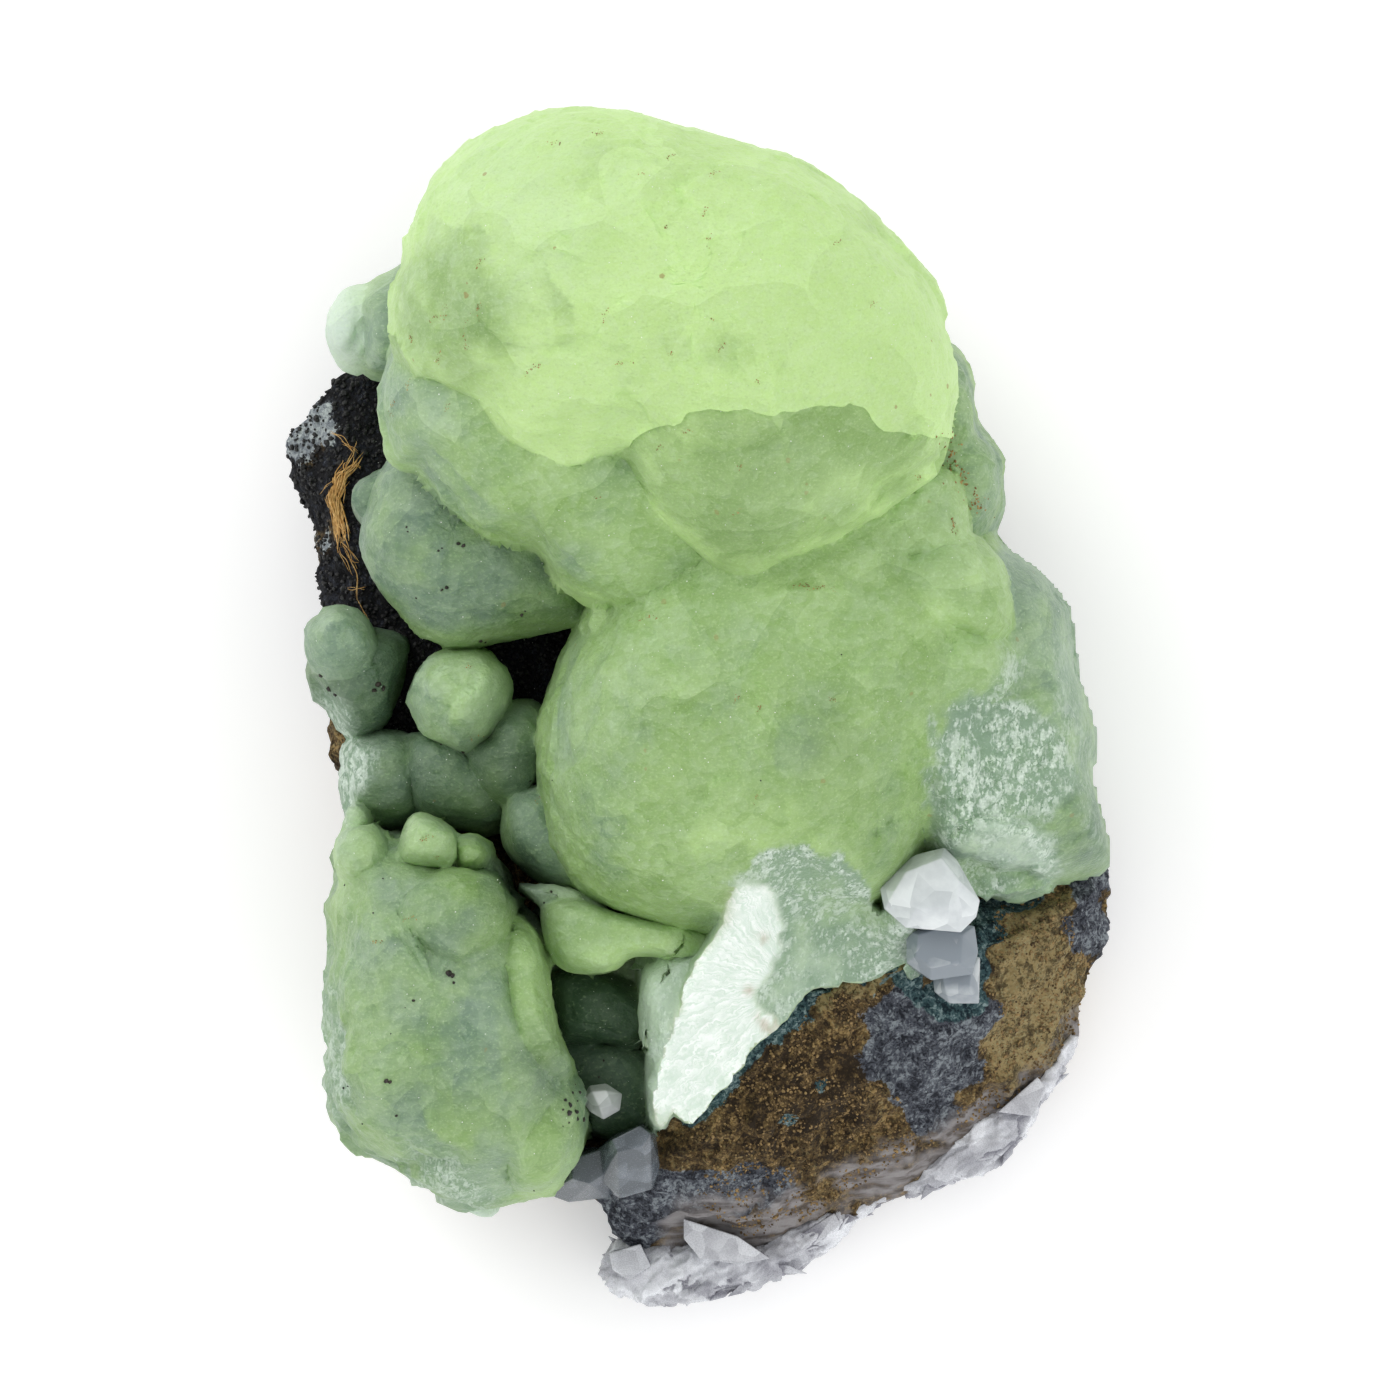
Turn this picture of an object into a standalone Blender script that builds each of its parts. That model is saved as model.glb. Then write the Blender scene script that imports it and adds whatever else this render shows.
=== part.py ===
"""A prehnite specimen lying on its back: a crust of green domes on a piece of dark host rock.

Units are metres and +Z is up. The specimen rests on the rock's flat underside at Z = 0, its domes face up,
+Y is its long way and the origin is the middle of its footprint. Outlines are seen from above, in millimetres.
"""
import math

import bmesh
import bpy
import numpy as np
from mathutils import Vector

LENGTH = 0.1015  # along Y, crown to white edge crust, in metres
MM = LENGTH / 101.5  # every size below is in millimetres at this length

CROWN_HEIGHT = 58.0  # top of the crown dome above the rest plane
HEART_HEIGHT = 46.0  # top of the middle dome
BED_HEIGHT = 21.0  # top of the mass that joins the lobes between them
ROCK_FLOOR = 14.0  # rock surface hidden under the domes
CONTACT_GAP = 0.3  # clear space between two grown-together pieces
FOOT_SHARE = 0.9  # rock's footprint as a share of its widest outline
# Height of the ring between foot and widest outline, as a share of the widest outline's height
FOOT_SWELL = 0.4
ROCK_BROW = 0.3  # how far below its top edge the rock's side turns over, as a share of the side's height
ROCK_UNEVENNESS = 0.9  # how far the broken rock stands in or out of its even form
SHARP_ANGLE = 35.0  # edges that turn by more degrees than this are shown sharp

# Directions are measured about this point of the rock
ROCK_CENTRE = (0.0, -4.0)

# Where the crust broke off at the lower right: the break's outline from above, a point on its slanting ground,
# and how much the ground climbs towards +X and +Y
BREAK_OUTLINE = [
    (-3.8, -36.6), (-5.1, -31.5), (-3.8, -25.1), (-2.4, -21.7), (0.3, -15.6), (3.2, -13.9), (8.5, -12.2),
    (11.4, -13.0), (14.5, -13.6), (17.4, -12.9), (20.8, -11.7), (25.8, -14.2), (27.2, -17.0),
    (25.5, -27.7), (22.1, -30.2), (5.1, -37.0),
]
BREAK_POINT = (-1.4, -35.3, 24.0)
BREAK_CLIMB = (-0.63, 0.786)
BREAK_TOP = 80.0  # above everything that is broken away

# Each lobe: its outline, the heights of its crest, widest level and underside, where the crest stands, its
# fullness (below 1, its flanks are fuller than an ellipsoid's), its climb towards +X and +Y, and its
# (sides, rings)
LOBES = {
    "crown": (
        [(-26.2, 31.4), (-25.1, 37.2), (-23.4, 42.9), (-19.4, 47.3), (-14.0, 49.9), (-8.1, 50.2),
         (-2.2, 49.0), (3.5, 47.4), (9.2, 45.6), (14.0, 42.0), (18.1, 37.6), (20.8, 32.4), (21.5, 26.5),
         (20.4, 20.6), (15.8, 16.8), (11.2, 13.1), (5.8, 10.5), (0.4, 11.6), (-3.9, 15.8), (-8.4, 19.4),
         (-14.1, 19.7), (-19.1, 22.5), (-23.4, 26.5)],
        (CROWN_HEIGHT, 41.0, 8.0), (-0.9, 35.2), 0.85, (0.0, 0.0), (38, 7)),
    "shoulder": (
        [(-26.9, 26.7), (-26.2, 20.8), (-21.7, 17.2), (-16.8, 13.9), (-12.3, 10.7), (-7.2, 7.9),
         (-1.3, 8.7), (3.4, 11.8), (2.4, 17.6), (-0.6, 22.8), (-4.9, 27.0), (-9.8, 30.4), (-15.0, 33.4),
         (-20.7, 35.3), (-25.5, 32.5)],
        (48.0, 38.0, 9.0), (-13.6, 24.2), 0.80, (0.0, 0.0), (24, 5)),
    "west_dome": (
        [(-27.2, 19.3), (-28.7, 13.7), (-26.3, 8.5), (-21.8, 5.0), (-16.1, 5.4), (-10.4, 6.6),
         (-9.6, 11.9), (-12.8, 16.7), (-17.5, 20.2), (-22.8, 22.6)],
        (36.0, 26.0, 9.0), (-20.8, 14.4), 0.75, (0.0, 0.0), (16, 3)),
    "west_back": (
        [(-29.8, 17.0), (-28.6, 19.3), (-26.2, 19.1), (-25.5, 16.5), (-26.0, 13.8), (-28.3, 14.7)],
        (29.0, 22.0, 12.0), (-27.9, 17.4), 0.65, (0.0, 0.0), (10, 3)),
    "bud_west": (
        [(-33.6, 5.5), (-32.0, 8.2), (-28.8, 8.0), (-27.1, 5.1), (-29.0, 2.6), (-32.2, 2.6)],
        (29.5, 24.0, 17.0), (-30.4, 5.7), 0.75, (0.0, 0.0), (10, 3)),
    "bud_west_foot": (
        [(-33.1, 2.1), (-30.6, 5.7), (-26.1, 6.3), (-25.1, 2.5), (-26.8, -1.8), (-30.9, -2.0)],
        (25.5, 17.0, 9.0), (-28.7, 3.1), 0.65, (0.0, 0.0), (10, 3)),
    "bud_mid": (
        [(-24.7, 0.4), (-22.7, 4.2), (-18.4, 4.7), (-16.3, 1.1), (-18.3, -2.9), (-22.2, -3.0)],
        (32.0, 25.0, 14.0), (-20.4, 1.4), 0.75, (0.0, 0.0), (10, 3)),
    "bud_east": (
        [(-20.0, -4.9), (-17.5, -1.9), (-14.4, 0.4), (-12.9, -3.4), (-13.9, -7.5), (-17.6, -8.4)],
        (29.0, 20.0, 12.0), (-16.2, -4.3), 0.70, (0.0, 0.0), (10, 3)),
    "valley_west": (
        [(-30.3, -3.4), (-26.3, -2.0), (-23.3, -5.0), (-23.7, -9.4), (-27.6, -10.7), (-30.4, -7.9)],
        (24.0, 15.0, 8.0), (-26.8, -6.0), 0.55, (0.0, 0.0), (10, 3)),
    "valley_mid": (
        [(-25.1, -3.2), (-20.8, -3.2), (-17.7, -6.7), (-16.9, -10.7), (-21.5, -10.5), (-24.9, -7.9)],
        (26.5, 18.0, 10.0), (-21.1, -6.0), 0.65, (0.0, 0.0), (10, 3)),
    "corner_bud": (
        [(-31.5, 30.6), (-31.0, 33.9), (-28.5, 35.6), (-26.5, 33.3), (-27.2, 30.0), (-29.4, 28.2)],
        (31.0, 25.0, 15.0), (-29.2, 32.3), 0.70, (0.0, 0.0), (10, 3)),
    "corner_stem": (
        [(-28.9, 34.4), (-25.5, 37.2), (-23.2, 35.1), (-23.1, 30.6), (-25.9, 27.8), (-29.1, 29.9)],
        (34.0, 24.0, 12.0), (-25.7, 32.3), 0.60, (0.0, 0.0), (10, 3)),
    "heart": (
        [(-10.9, 6.2), (-13.1, 0.5), (-13.8, -5.5), (-12.5, -11.4), (-9.4, -16.5), (-3.8, -18.8),
         (2.2, -20.0), (8.2, -19.3), (13.9, -17.3), (18.5, -13.4), (21.3, -8.0), (24.0, -2.6), (26.8, 2.8),
         (26.4, 8.7), (23.6, 14.0), (21.6, 19.6), (17.5, 23.9), (11.6, 24.9), (5.8, 23.2), (0.5, 20.3),
         (-3.9, 16.1), (-7.9, 11.5)],
        (HEART_HEIGHT, 26.0, 10.0), (3.4, 2.1), 0.82, (0.0, 0.0), (36, 7)),
    "heart_foot": (
        [(-16.7, -9.8), (-14.3, -6.7), (-12.2, -9.9), (-10.8, -13.9), (-11.7, -15.8), (-15.3, -13.7)],
        (30.0, 22.0, 10.0), (-13.6, -11.1), 0.60, (0.0, 0.0), (10, 3)),
    "fan_lobe": (
        [(0.2, -20.2), (3.3, -15.5), (9.2, -14.3), (13.6, -17.9), (17.6, -17.7), (23.0, -16.0),
         (24.0, -21.5), (21.7, -25.7), (17.4, -22.4), (13.0, -23.8), (7.9, -25.9), (3.8, -30.0),
         (-0.2, -34.5), (-3.3, -31.6), (-2.3, -25.7)],
        (42.0, 21.0, 12.0), (10.2, -19.2), 0.22, (0.0, 0.0), (24, 5)),
    "east_crest": (
        [(17.0, 18.9), (21.8, 19.1), (22.7, 14.0), (18.7, 11.2), (13.4, 11.7), (13.0, 15.4)],
        (43.0, 33.0, 12.0), (17.4, 15.7), 0.80, (0.0, 0.0), (10, 3)),
    "east_dome": (
        [(17.4, 13.4), (23.2, 14.6), (26.5, 9.7), (24.8, 5.5), (19.0, 5.3), (15.2, 9.6)],
        (42.0, 31.0, 12.0), (20.0, 9.7), 0.80, (0.0, 0.0), (10, 3)),
    "east_low": (
        [(19.1, 5.5), (23.6, 6.7), (27.6, 4.3), (26.1, -0.0), (21.6, -1.4), (17.7, 1.2)],
        (39.5, 28.0, 12.0), (20.8, 3.1), 0.80, (0.0, 0.0), (10, 3)),
    "wall_top": (
        [(20.7, 30.6), (23.1, 25.4), (25.5, 19.7), (24.3, 13.7), (18.8, 13.6), (16.2, 19.2), (17.1, 25.4)],
        (37.0, 22.0, 8.0), (21.7, 20.8), 0.50, (-0.25, 0.0), (12, 3)),
    "wall": (
        [(24.2, 16.7), (28.5, 13.2), (32.2, 8.9), (32.5, 2.8), (34.1, -3.1), (34.4, -9.1), (34.3, -14.6),
         (28.4, -16.2), (22.5, -16.0), (18.1, -12.0), (17.1, -6.0), (17.4, 0.1), (18.6, 6.0), (20.8, 11.7)],
        (35.5, 16.0, 7.0), (25.5, 0.4), 0.42, (-0.35, 0.0), (24, 5)),
    "tongue": (
        [(-13.5, -17.3), (-8.3, -17.3), (-2.6, -18.6), (-0.2, -21.4), (-6.1, -21.7), (-11.5, -22.5)],
        (32.0, 28.0, 19.0), (-7.2, -19.6), 0.50, (0.05, 0.0), (10, 3)),
    "tongue_rim": (
        [(-15.6, -15.3), (-12.5, -15.4), (-9.4, -16.3), (-7.3, -18.1), (-10.3, -18.4), (-13.2, -17.3)],
        (29.5, 27.0, 19.0), (-11.9, -16.6), 0.50, (0.0, 0.0), (10, 3)),
    "green_slab": (
        [(-4.8, -21.7), (0.2, -19.2), (0.7, -24.1), (-0.9, -29.7), (-1.7, -35.4), (-4.1, -38.9),
         (-4.8, -33.2), (-4.9, -27.4)],
        (30.5, 20.0, 9.0), (-2.4, -28.5), 0.45, (0.0, 0.35), (12, 3)),
    "cavity_dome": (
        [(-13.4, -23.2), (-9.0, -22.4), (-4.7, -24.4), (-4.2, -28.7), (-8.5, -29.1), (-12.7, -27.9)],
        (24.5, 17.0, 9.0), (-8.7, -25.8), 0.65, (0.0, 0.0), (10, 3)),
    "cavity_floor": (
        [(-12.9, -28.5), (-7.6, -27.7), (-3.4, -30.3), (-3.1, -35.7), (-7.9, -37.1), (-11.7, -33.7)],
        (21.6, 15.0, 9.0), (-8.1, -32.3), 0.55, (0.0, 0.0), (10, 3)),
    "block": (
        [(-31.1, -12.4), (-31.4, -18.2), (-31.5, -24.0), (-31.6, -29.9), (-30.9, -35.8), (-26.5, -39.5),
         (-21.2, -42.1), (-15.4, -42.0), (-10.7, -38.8), (-10.4, -33.1), (-12.3, -27.5), (-13.4, -21.7),
         (-16.1, -16.5), (-20.2, -12.6), (-25.9, -11.4)],
        (37.0, 20.0, 7.0), (-22.5, -23.8), 0.52, (0.0, 0.0), (24, 5)),
    "block_lobe": (
        [(-24.5, -19.3), (-24.0, -14.9), (-19.4, -13.7), (-15.7, -16.2), (-17.1, -20.7), (-21.2, -22.6)],
        (39.2, 33.0, 14.0), (-21.2, -17.9), 0.85, (0.0, 0.0), (10, 3)),
    "block_bud": (
        [(-31.0, -12.5), (-29.5, -10.4), (-26.8, -10.6), (-25.8, -13.2), (-27.4, -15.3), (-30.1, -15.1)],
        (35.0, 27.0, 14.0), (-28.6, -12.5), 0.60, (0.0, 0.0), (10, 3)),
    "block_bud_small": (
        [(-30.0, -9.1), (-29.1, -8.3), (-28.2, -9.1), (-28.0, -10.3), (-28.9, -11.0), (-30.0, -10.4)],
        (31.0, 27.0, 16.0), (-29.0, -9.6), 0.60, (0.0, 0.0), (10, 3)),
    "block_crest": (
        [(-25.8, -12.4), (-24.8, -9.7), (-22.2, -9.7), (-20.2, -11.7), (-21.1, -14.2), (-24.0, -14.1)],
        (37.0, 29.0, 14.0), (-23.0, -11.5), 0.58, (0.0, 0.0), (10, 3)),
    "block_crest_east": (
        [(-21.2, -11.7), (-19.6, -11.0), (-18.0, -11.9), (-18.0, -13.5), (-19.6, -14.3), (-21.0, -13.5)],
        (34.5, 28.0, 14.0), (-19.5, -12.6), 0.60, (0.0, 0.0), (10, 3)),
    "block_back": (
        [(-16.0, -17.6), (-13.1, -22.3), (-11.9, -28.1), (-12.4, -33.0), (-16.0, -29.0), (-17.2, -23.2)],
        (36.0, 25.0, 10.0), (-14.6, -25.1), 0.60, (0.0, 0.0), (10, 3)),
    "block_low": (
        [(-16.7, -33.6), (-12.8, -30.5), (-9.5, -33.7), (-10.4, -38.6), (-14.1, -41.9), (-16.9, -38.7)],
        (33.0, 22.0, 8.0), (-13.6, -35.7), 0.60, (0.0, 0.0), (10, 3)),
    "block_chip": (
        [(-21.5, -41.9), (-19.7, -41.3), (-17.7, -41.2), (-16.7, -42.5), (-18.1, -43.6), (-20.0, -43.1)],
        (17.0, 12.0, 8.0), (-19.0, -42.5), 0.50, (0.0, 0.0), (10, 3)),
    "bed": (
        [(18.5, 29.0), (12.2, 36.8), (4.1, 42.3), (-5.8, 43.2), (-15.4, 40.8), (-21.3, 32.9),
         (-20.9, 23.4), (-13.7, 16.6), (-7.9, 8.8), (-8.1, -1.2), (-10.0, -10.9), (-10.3, -20.6),
         (-18.9, -23.3), (-22.5, -32.2), (-15.4, -37.0), (-5.6, -35.8), (2.3, -29.8), (8.2, -21.9),
         (17.3, -18.0), (27.0, -15.6), (31.2, -7.9), (29.9, 2.0), (26.7, 11.3), (21.1, 19.5)],
        (BED_HEIGHT, 15.0, 7.0), (0.0, 0.0), 0.60, (0.0, 0.0), (44, 7)),
}

# The rock, one row for each direction: widest outline (x, y), its height, then the share of the way out and
# the height where the side turns into the top, and the height of the top nearer the middle
ROCK_ROWS = [
    ((35.2, -15.0), 8.0, 0.94, 15.0, 14.0),
    ((30.0, -3.0), 9.0, 0.80, 13.0, 14.0),
    ((28.0, 8.0), 9.0, 0.80, 13.0, 14.0),
    ((21.5, 20.0), 9.0, 0.80, 13.0, 14.0),
    ((16.5, 32.0), 9.0, 0.80, 13.0, 14.0),
    ((7.0, 41.0), 9.0, 0.80, 13.0, 14.0),
    ((-6.0, 44.0), 9.0, 0.80, 13.0, 14.0),
    ((-16.0, 41.5), 9.0, 0.80, 13.0, 14.0),
    ((-24.0, 33.0), 11.0, 0.80, 16.0, 15.0),
    ((-31.6, 27.4), 15.0, 0.86, 19.0, 18.0),
    ((-35.2, 20.6), 14.0, 0.86, 19.5, 19.5),
    ((-33.2, 15.0), 13.5, 0.88, 19.0, 19.5),
    ((-32.6, 9.0), 13.0, 0.88, 18.5, 19.5),
    ((-32.2, 1.0), 12.0, 0.86, 17.5, 19.0),
    ((-31.0, -8.0), 11.0, 0.82, 14.0, 16.0),
    ((-29.5, -18.0), 10.0, 0.82, 13.0, ROCK_FLOOR),
    ((-28.4, -29.0), 10.0, 0.82, 13.0, ROCK_FLOOR),
    ((-25.6, -37.4), 10.0, 0.82, 13.0, ROCK_FLOOR),
    ((-17.0, -40.4), 10.0, 0.82, 13.0, ROCK_FLOOR),
    ((-9.6, -43.0), 9.0, 0.80, 14.0, ROCK_FLOOR),
    ((-6.6, -46.2), 8.0, 0.76, 18.0, ROCK_FLOOR),
    ((0.6, -47.4), 7.0, 0.68, 21.5, 15.0),
    ((7.4, -46.6), 6.5, 0.58, 23.5, 16.0),
    ((14.0, -43.8), 6.0, 0.54, 24.0, 17.0),
    ((20.6, -41.2), 6.0, 0.55, 24.0, 17.0),
    ((26.6, -36.8), 6.0, 0.58, 24.0, 17.0),
    ((31.4, -30.8), 6.0, 0.66, 22.5, 16.0),
    ((34.2, -23.0), 7.0, 0.80, 19.5, 15.0),
]
ROCK_SIDES = 48  # sides of the rock's outline
ROCK_SEED = 5
ROCK_INNER = 0.4  # share of the way out where the inner height is read

# Small crystals, each of convex blocks given by their layers of corners from above with a height. The faces
# above CRYSTAL_TILT_FROM lean by CRYSTAL_TILT towards +X and +Y
CRYSTAL_TILT = (0.05, -0.09)
CRYSTAL_TILT_FROM = 22.0
CRYSTALS = {
    "white_crystal": [
        [([(17.4, -14.2), (20.4, -13.0), (21.9, -14.9), (21.7, -16.9), (18.3, -17.3), (16.4, -15.9)], 33.6),
         ([(15.2, -15.4), (16.0, -14.1), (18.3, -12.7), (20.7, -12.1), (21.9, -13.2), (23.7, -16.6),
           (22.1, -19.3), (17.4, -18.9), (15.6, -17.3)], 31.6),
         ([(15.6, -17.1), (17.0, -13.7), (21.3, -13.2), (23.3, -17.0), (21.3, -19.0), (17.4, -18.8)], 22.5)],
        [([(18.5, -19.5), (20.4, -19.0), (22.3, -19.5), (22.1, -21.9), (19.6, -22.2), (18.3, -21.3)], 29.8),
         ([(17.5, -19.2), (20.4, -18.3), (23.3, -18.8), (23.6, -21.0), (23.1, -22.9), (19.6, -23.4),
           (17.5, -21.9)], 28.2),
         ([(17.7, -19.6), (23.3, -19.2), (23.1, -22.7), (18.0, -22.6)], 20.0)],
        [([(20.4, -21.9), (22.1, -21.3), (23.1, -22.4), (22.8, -24.3), (20.8, -24.1)], 27.6),
         ([(19.6, -21.7), (21.7, -20.7), (23.8, -21.5), (23.7, -25.4), (21.3, -25.4), (19.9, -24.4)], 25.8),
         ([(19.9, -21.7), (23.6, -21.9), (23.5, -25.1), (20.4, -24.9)], 19.0)],
    ],
    "pocket_crystal": [
        [([(-9.2, -32.9), (-8.0, -32.8), (-7.5, -34.0), (-8.5, -34.3)], 25.4),
         ([(-10.1, -33.6), (-9.4, -32.4), (-8.0, -32.2), (-6.6, -33.1), (-6.8, -34.5), (-8.2, -35.3),
           (-9.4, -34.6)], 23.6),
         ([(-9.7, -33.8), (-8.5, -32.8), (-7.0, -33.6), (-8.3, -34.8)], 20.3)],
    ],
    "lilac_crystal": [
        [([(-7.5, -37.0), (-5.1, -35.8), (-4.2, -36.5), (-4.9, -37.5), (-7.0, -38.0)], 25.0),
         ([(-8.8, -37.9), (-7.5, -36.7), (-4.8, -35.7), (-3.8, -36.5), (-3.4, -39.2), (-4.1, -41.3),
           (-6.8, -42.1), (-8.5, -40.4)], 19.5),
         ([(-8.5, -38.0), (-3.8, -37.4), (-3.8, -41.3), (-7.6, -41.8)], 11.5)],
        [([(-10.9, -38.7), (-8.5, -37.9), (-7.5, -39.6), (-9.4, -40.8), (-10.9, -40.4)], 20.5),
         ([(-13.1, -41.8), (-12.2, -39.2), (-9.8, -37.7), (-7.6, -37.9), (-6.6, -40.4), (-7.8, -42.1),
           (-11.2, -42.5)], 16.0),
         ([(-12.2, -41.4), (-11.1, -38.7), (-7.5, -38.5), (-7.5, -41.8)], 11.2)],
    ],
}

# The white crust along the rock's lower edge, one row for each place along it: middle (x, y, z), half width
# and half thickness
CRUST_ROWS = [
    (-8.0, -46.9, 5.0, 1.0, 1.4), (-6.6, -47.7, 5.0, 2.6, 2.8), (-3.8, -48.2, 5.2, 3.1, 3.4),
    (0.0, -48.6, 5.2, 2.6, 3.6), (3.8, -48.2, 5.0, 1.9, 3.4), (7.2, -46.9, 4.8, 1.7, 3.2),
    (10.4, -44.8, 4.8, 1.3, 3.0), (13.6, -42.8, 5.0, 1.2, 3.0), (17.0, -41.3, 5.2, 1.5, 3.2),
    (20.0, -39.9, 5.4, 2.3, 3.4), (23.0, -38.2, 5.6, 2.9, 3.4), (25.9, -36.0, 5.8, 2.5, 3.2),
    (28.6, -33.4, 6.2, 1.6, 3.0), (30.6, -30.9, 6.6, 1.1, 2.6), (32.1, -28.5, 7.0, 0.5, 1.4),
]
CRUST_SIDES = 10
CRUST_UNEVENNESS = 0.18  # share of its half width that a corner of the crust stands in or out
CRUST_SEED = 7

# Name: linear base colour, roughness, metallic
FINISHES = {
    "prehnite": ((0.44, 0.66, 0.33), 0.32, 0.0),
    "matrix_rock": ((0.10, 0.075, 0.05), 0.85, 0.0),
    "white_crystal": ((0.72, 0.78, 0.76), 0.15, 0.0),
    "pocket_crystal": ((0.74, 0.78, 0.76), 0.2, 0.0),
    "lilac_crystal": ((0.50, 0.52, 0.58), 0.2, 0.0),
    "edge_crust": ((0.66, 0.67, 0.74), 0.35, 0.0),
}


def clear_scene():
    for item in list(bpy.data.objects):
        bpy.data.objects.remove(item)


def smooth_loop(points, count):
    """The closed smooth curve through the points, read at count even steps."""
    knots = np.array(points, float)
    total = len(knots)
    steps = np.arange(count) * total / count
    index = steps.astype(int)
    t = (steps - index)[:, None]
    before, here = knots[(index - 1) % total], knots[index % total]
    after, beyond = knots[(index + 1) % total], knots[(index + 2) % total]
    return 0.5 * (
        2 * here
        + (after - before) * t
        + (2 * before - 5 * here + 4 * after - beyond) * t**2
        + (3 * here - before - 3 * after + beyond) * t**3
    )


def closed_rings(bottom, rings, top):
    """A closed mesh from rings of equal length, bottom to top, closed by a point at each end."""
    shape = bmesh.new()
    loops = [[shape.verts.new(Vector(point) * MM) for point in ring] for ring in rings]
    low = shape.verts.new(Vector(bottom) * MM)
    high = shape.verts.new(Vector(top) * MM)
    sides = len(loops[0])
    for i in range(sides):
        j = (i + 1) % sides
        shape.faces.new((low, loops[0][j], loops[0][i]))
        shape.faces.new((high, loops[-1][i], loops[-1][j]))
        for lower, upper in zip(loops, loops[1:]):
            shape.faces.new((lower[i], lower[j], upper[j], upper[i]))
    bmesh.ops.recalc_face_normals(shape, faces=shape.faces)
    return shape


def dome(outline, heights, crest_place, fullness, climb, detail):
    """A pebble-like lobe: widest at its outline, rounded to a crest above and to a flatter belly below."""
    crest, widest, underside = heights
    sides, rings = detail
    edge = smooth_loop(outline, sides)
    middle = edge.mean(axis=0)
    belly_rings = max(2, rings // 2)
    angles = [-math.pi / 2 * k / belly_rings for k in range(belly_rings - 1, 0, -1)]
    angles += [math.pi / 2 * k / rings for k in range(rings)]
    loops = []
    for angle in angles:
        lift = math.sin(angle)
        height = widest + lift * (crest - widest if lift > 0 else widest - underside)
        lean = max(lift, 0.0) ** 2
        plan = middle + lean * (np.array(crest_place) - middle)
        plan = plan + (edge - middle) * math.cos(angle) ** fullness
        loops.append(np.column_stack([plan, height + (plan - middle) @ np.array(climb)]))
    top = crest + (np.array(crest_place) - middle) @ np.array(climb)
    return closed_rings((*middle, underside), loops, (*crest_place, top))


def break_form():
    """The space that the crust broke away from: upright sides on its outline over its slanting ground."""
    x, y, z = BREAK_POINT
    plan = np.array(BREAK_OUTLINE)
    ground = z + (plan - (x, y)) @ np.array(BREAK_CLIMB)
    shape = bmesh.new()
    low = [shape.verts.new(Vector(point) * MM) for point in np.column_stack([plan, ground])]
    high = [shape.verts.new(Vector((*point, BREAK_TOP)) * MM) for point in BREAK_OUTLINE]
    shape.faces.new(low)
    shape.faces.new(high)
    for i in range(len(low)):
        j = (i + 1) % len(low)
        shape.faces.new((low[i], low[j], high[j], high[i]))
    bmesh.ops.recalc_face_normals(shape, faces=shape.faces)
    return shape


def rock_form():
    """The rock: a flat foot, a side that swells to its widest outline, then turns over onto an uneven top."""
    rows = np.array([[*plan, *rest] for plan, *rest in ROCK_ROWS])
    rows = smooth_loop(rows, ROCK_SIDES)
    centre = np.array(ROCK_CENTRE)
    plan, widest, shelf, shelf_height, inner_height = rows[:, :2], *rows[:, 2:].T
    reach = plan - centre
    middle_height = float(inner_height.mean())
    foot = np.full(ROCK_SIDES, FOOT_SHARE)
    inner = np.full(ROCK_SIDES, ROCK_INNER)
    profile = [
        (foot, 0 * widest),
        ((foot + 1) / 2, FOOT_SWELL * widest),
        (1 + 0 * foot, widest),
        ((1 + shelf) / 2, shelf_height - ROCK_BROW * (shelf_height - widest)),
        (shelf, shelf_height),
        ((shelf + inner) / 2, (shelf_height + inner_height) / 2),
        (inner, inner_height),
        (inner / 2, (inner_height + middle_height) / 2),
    ]
    uneven = np.random.default_rng(ROCK_SEED)
    breadth = np.linalg.norm(reach, axis=1)
    rings = []
    for level, (share, height) in enumerate(profile):
        out, up = ROCK_UNEVENNESS * uneven.uniform(-1, 1, (2, ROCK_SIDES))
        plan = centre + reach * (share - np.abs(out) / breadth)[:, None]
        rings.append(np.column_stack([plan, height + up * (level > 0)]))
    return closed_rings((*ROCK_CENTRE, 0.0), rings, (*ROCK_CENTRE, middle_height))


def crystal_form(layers):
    """The convex block with these layers of corners."""
    corners = np.array([(*plan, height) for outline, height in layers for plan in outline])
    away = corners[:, :2] - corners[:, :2].mean(axis=0)
    corners[:, 2] += (away @ np.array(CRYSTAL_TILT)) * (corners[:, 2] > CRYSTAL_TILT_FROM)
    shape = bmesh.new()
    verts = [shape.verts.new(Vector(corner) * MM) for corner in corners]
    result = bmesh.ops.convex_hull(shape, input=verts)
    spare = [item for item in result["geom_interior"] if isinstance(item, bmesh.types.BMVert)]
    bmesh.ops.delete(shape, geom=spare, context="VERTS")
    bmesh.ops.recalc_face_normals(shape, faces=shape.faces)
    return shape


def crust_form():
    """The edge crust: flattened uneven rings carried along the rock's lower edge."""
    rows = np.array(CRUST_ROWS)
    way = np.gradient(rows[:, :3], axis=0)
    out = np.cross(way, (0.0, 0.0, 1.0))
    out /= np.linalg.norm(out, axis=1, keepdims=True)
    turns = np.arange(CRUST_SIDES) * 2 * math.pi / CRUST_SIDES
    uneven = np.random.default_rng(CRUST_SEED)
    loops = []
    for row, side in zip(rows, out):
        reach = 1 + CRUST_UNEVENNESS * uneven.uniform(-1, 1, CRUST_SIDES)
        across = row[3] * reach * np.cos(turns)
        height = row[2] + row[4] * reach * np.sin(turns)
        loops.append(np.column_stack([row[:2] + across[:, None] * side[:2], height]))
    return closed_rings(rows[0, :3] - way[0] / 2, loops, rows[-1, :3] + way[-1] / 2)


def swell(shape, amount):
    """Moves every face outwards by the amount, in millimetres."""
    bmesh.ops.recalc_face_normals(shape, faces=shape.faces)
    moves = [(vert, vert.normal * vert.calc_shell_factor()) for vert in shape.verts]
    for vert, way in moves:
        vert.co += way * amount * MM
    return shape


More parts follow.
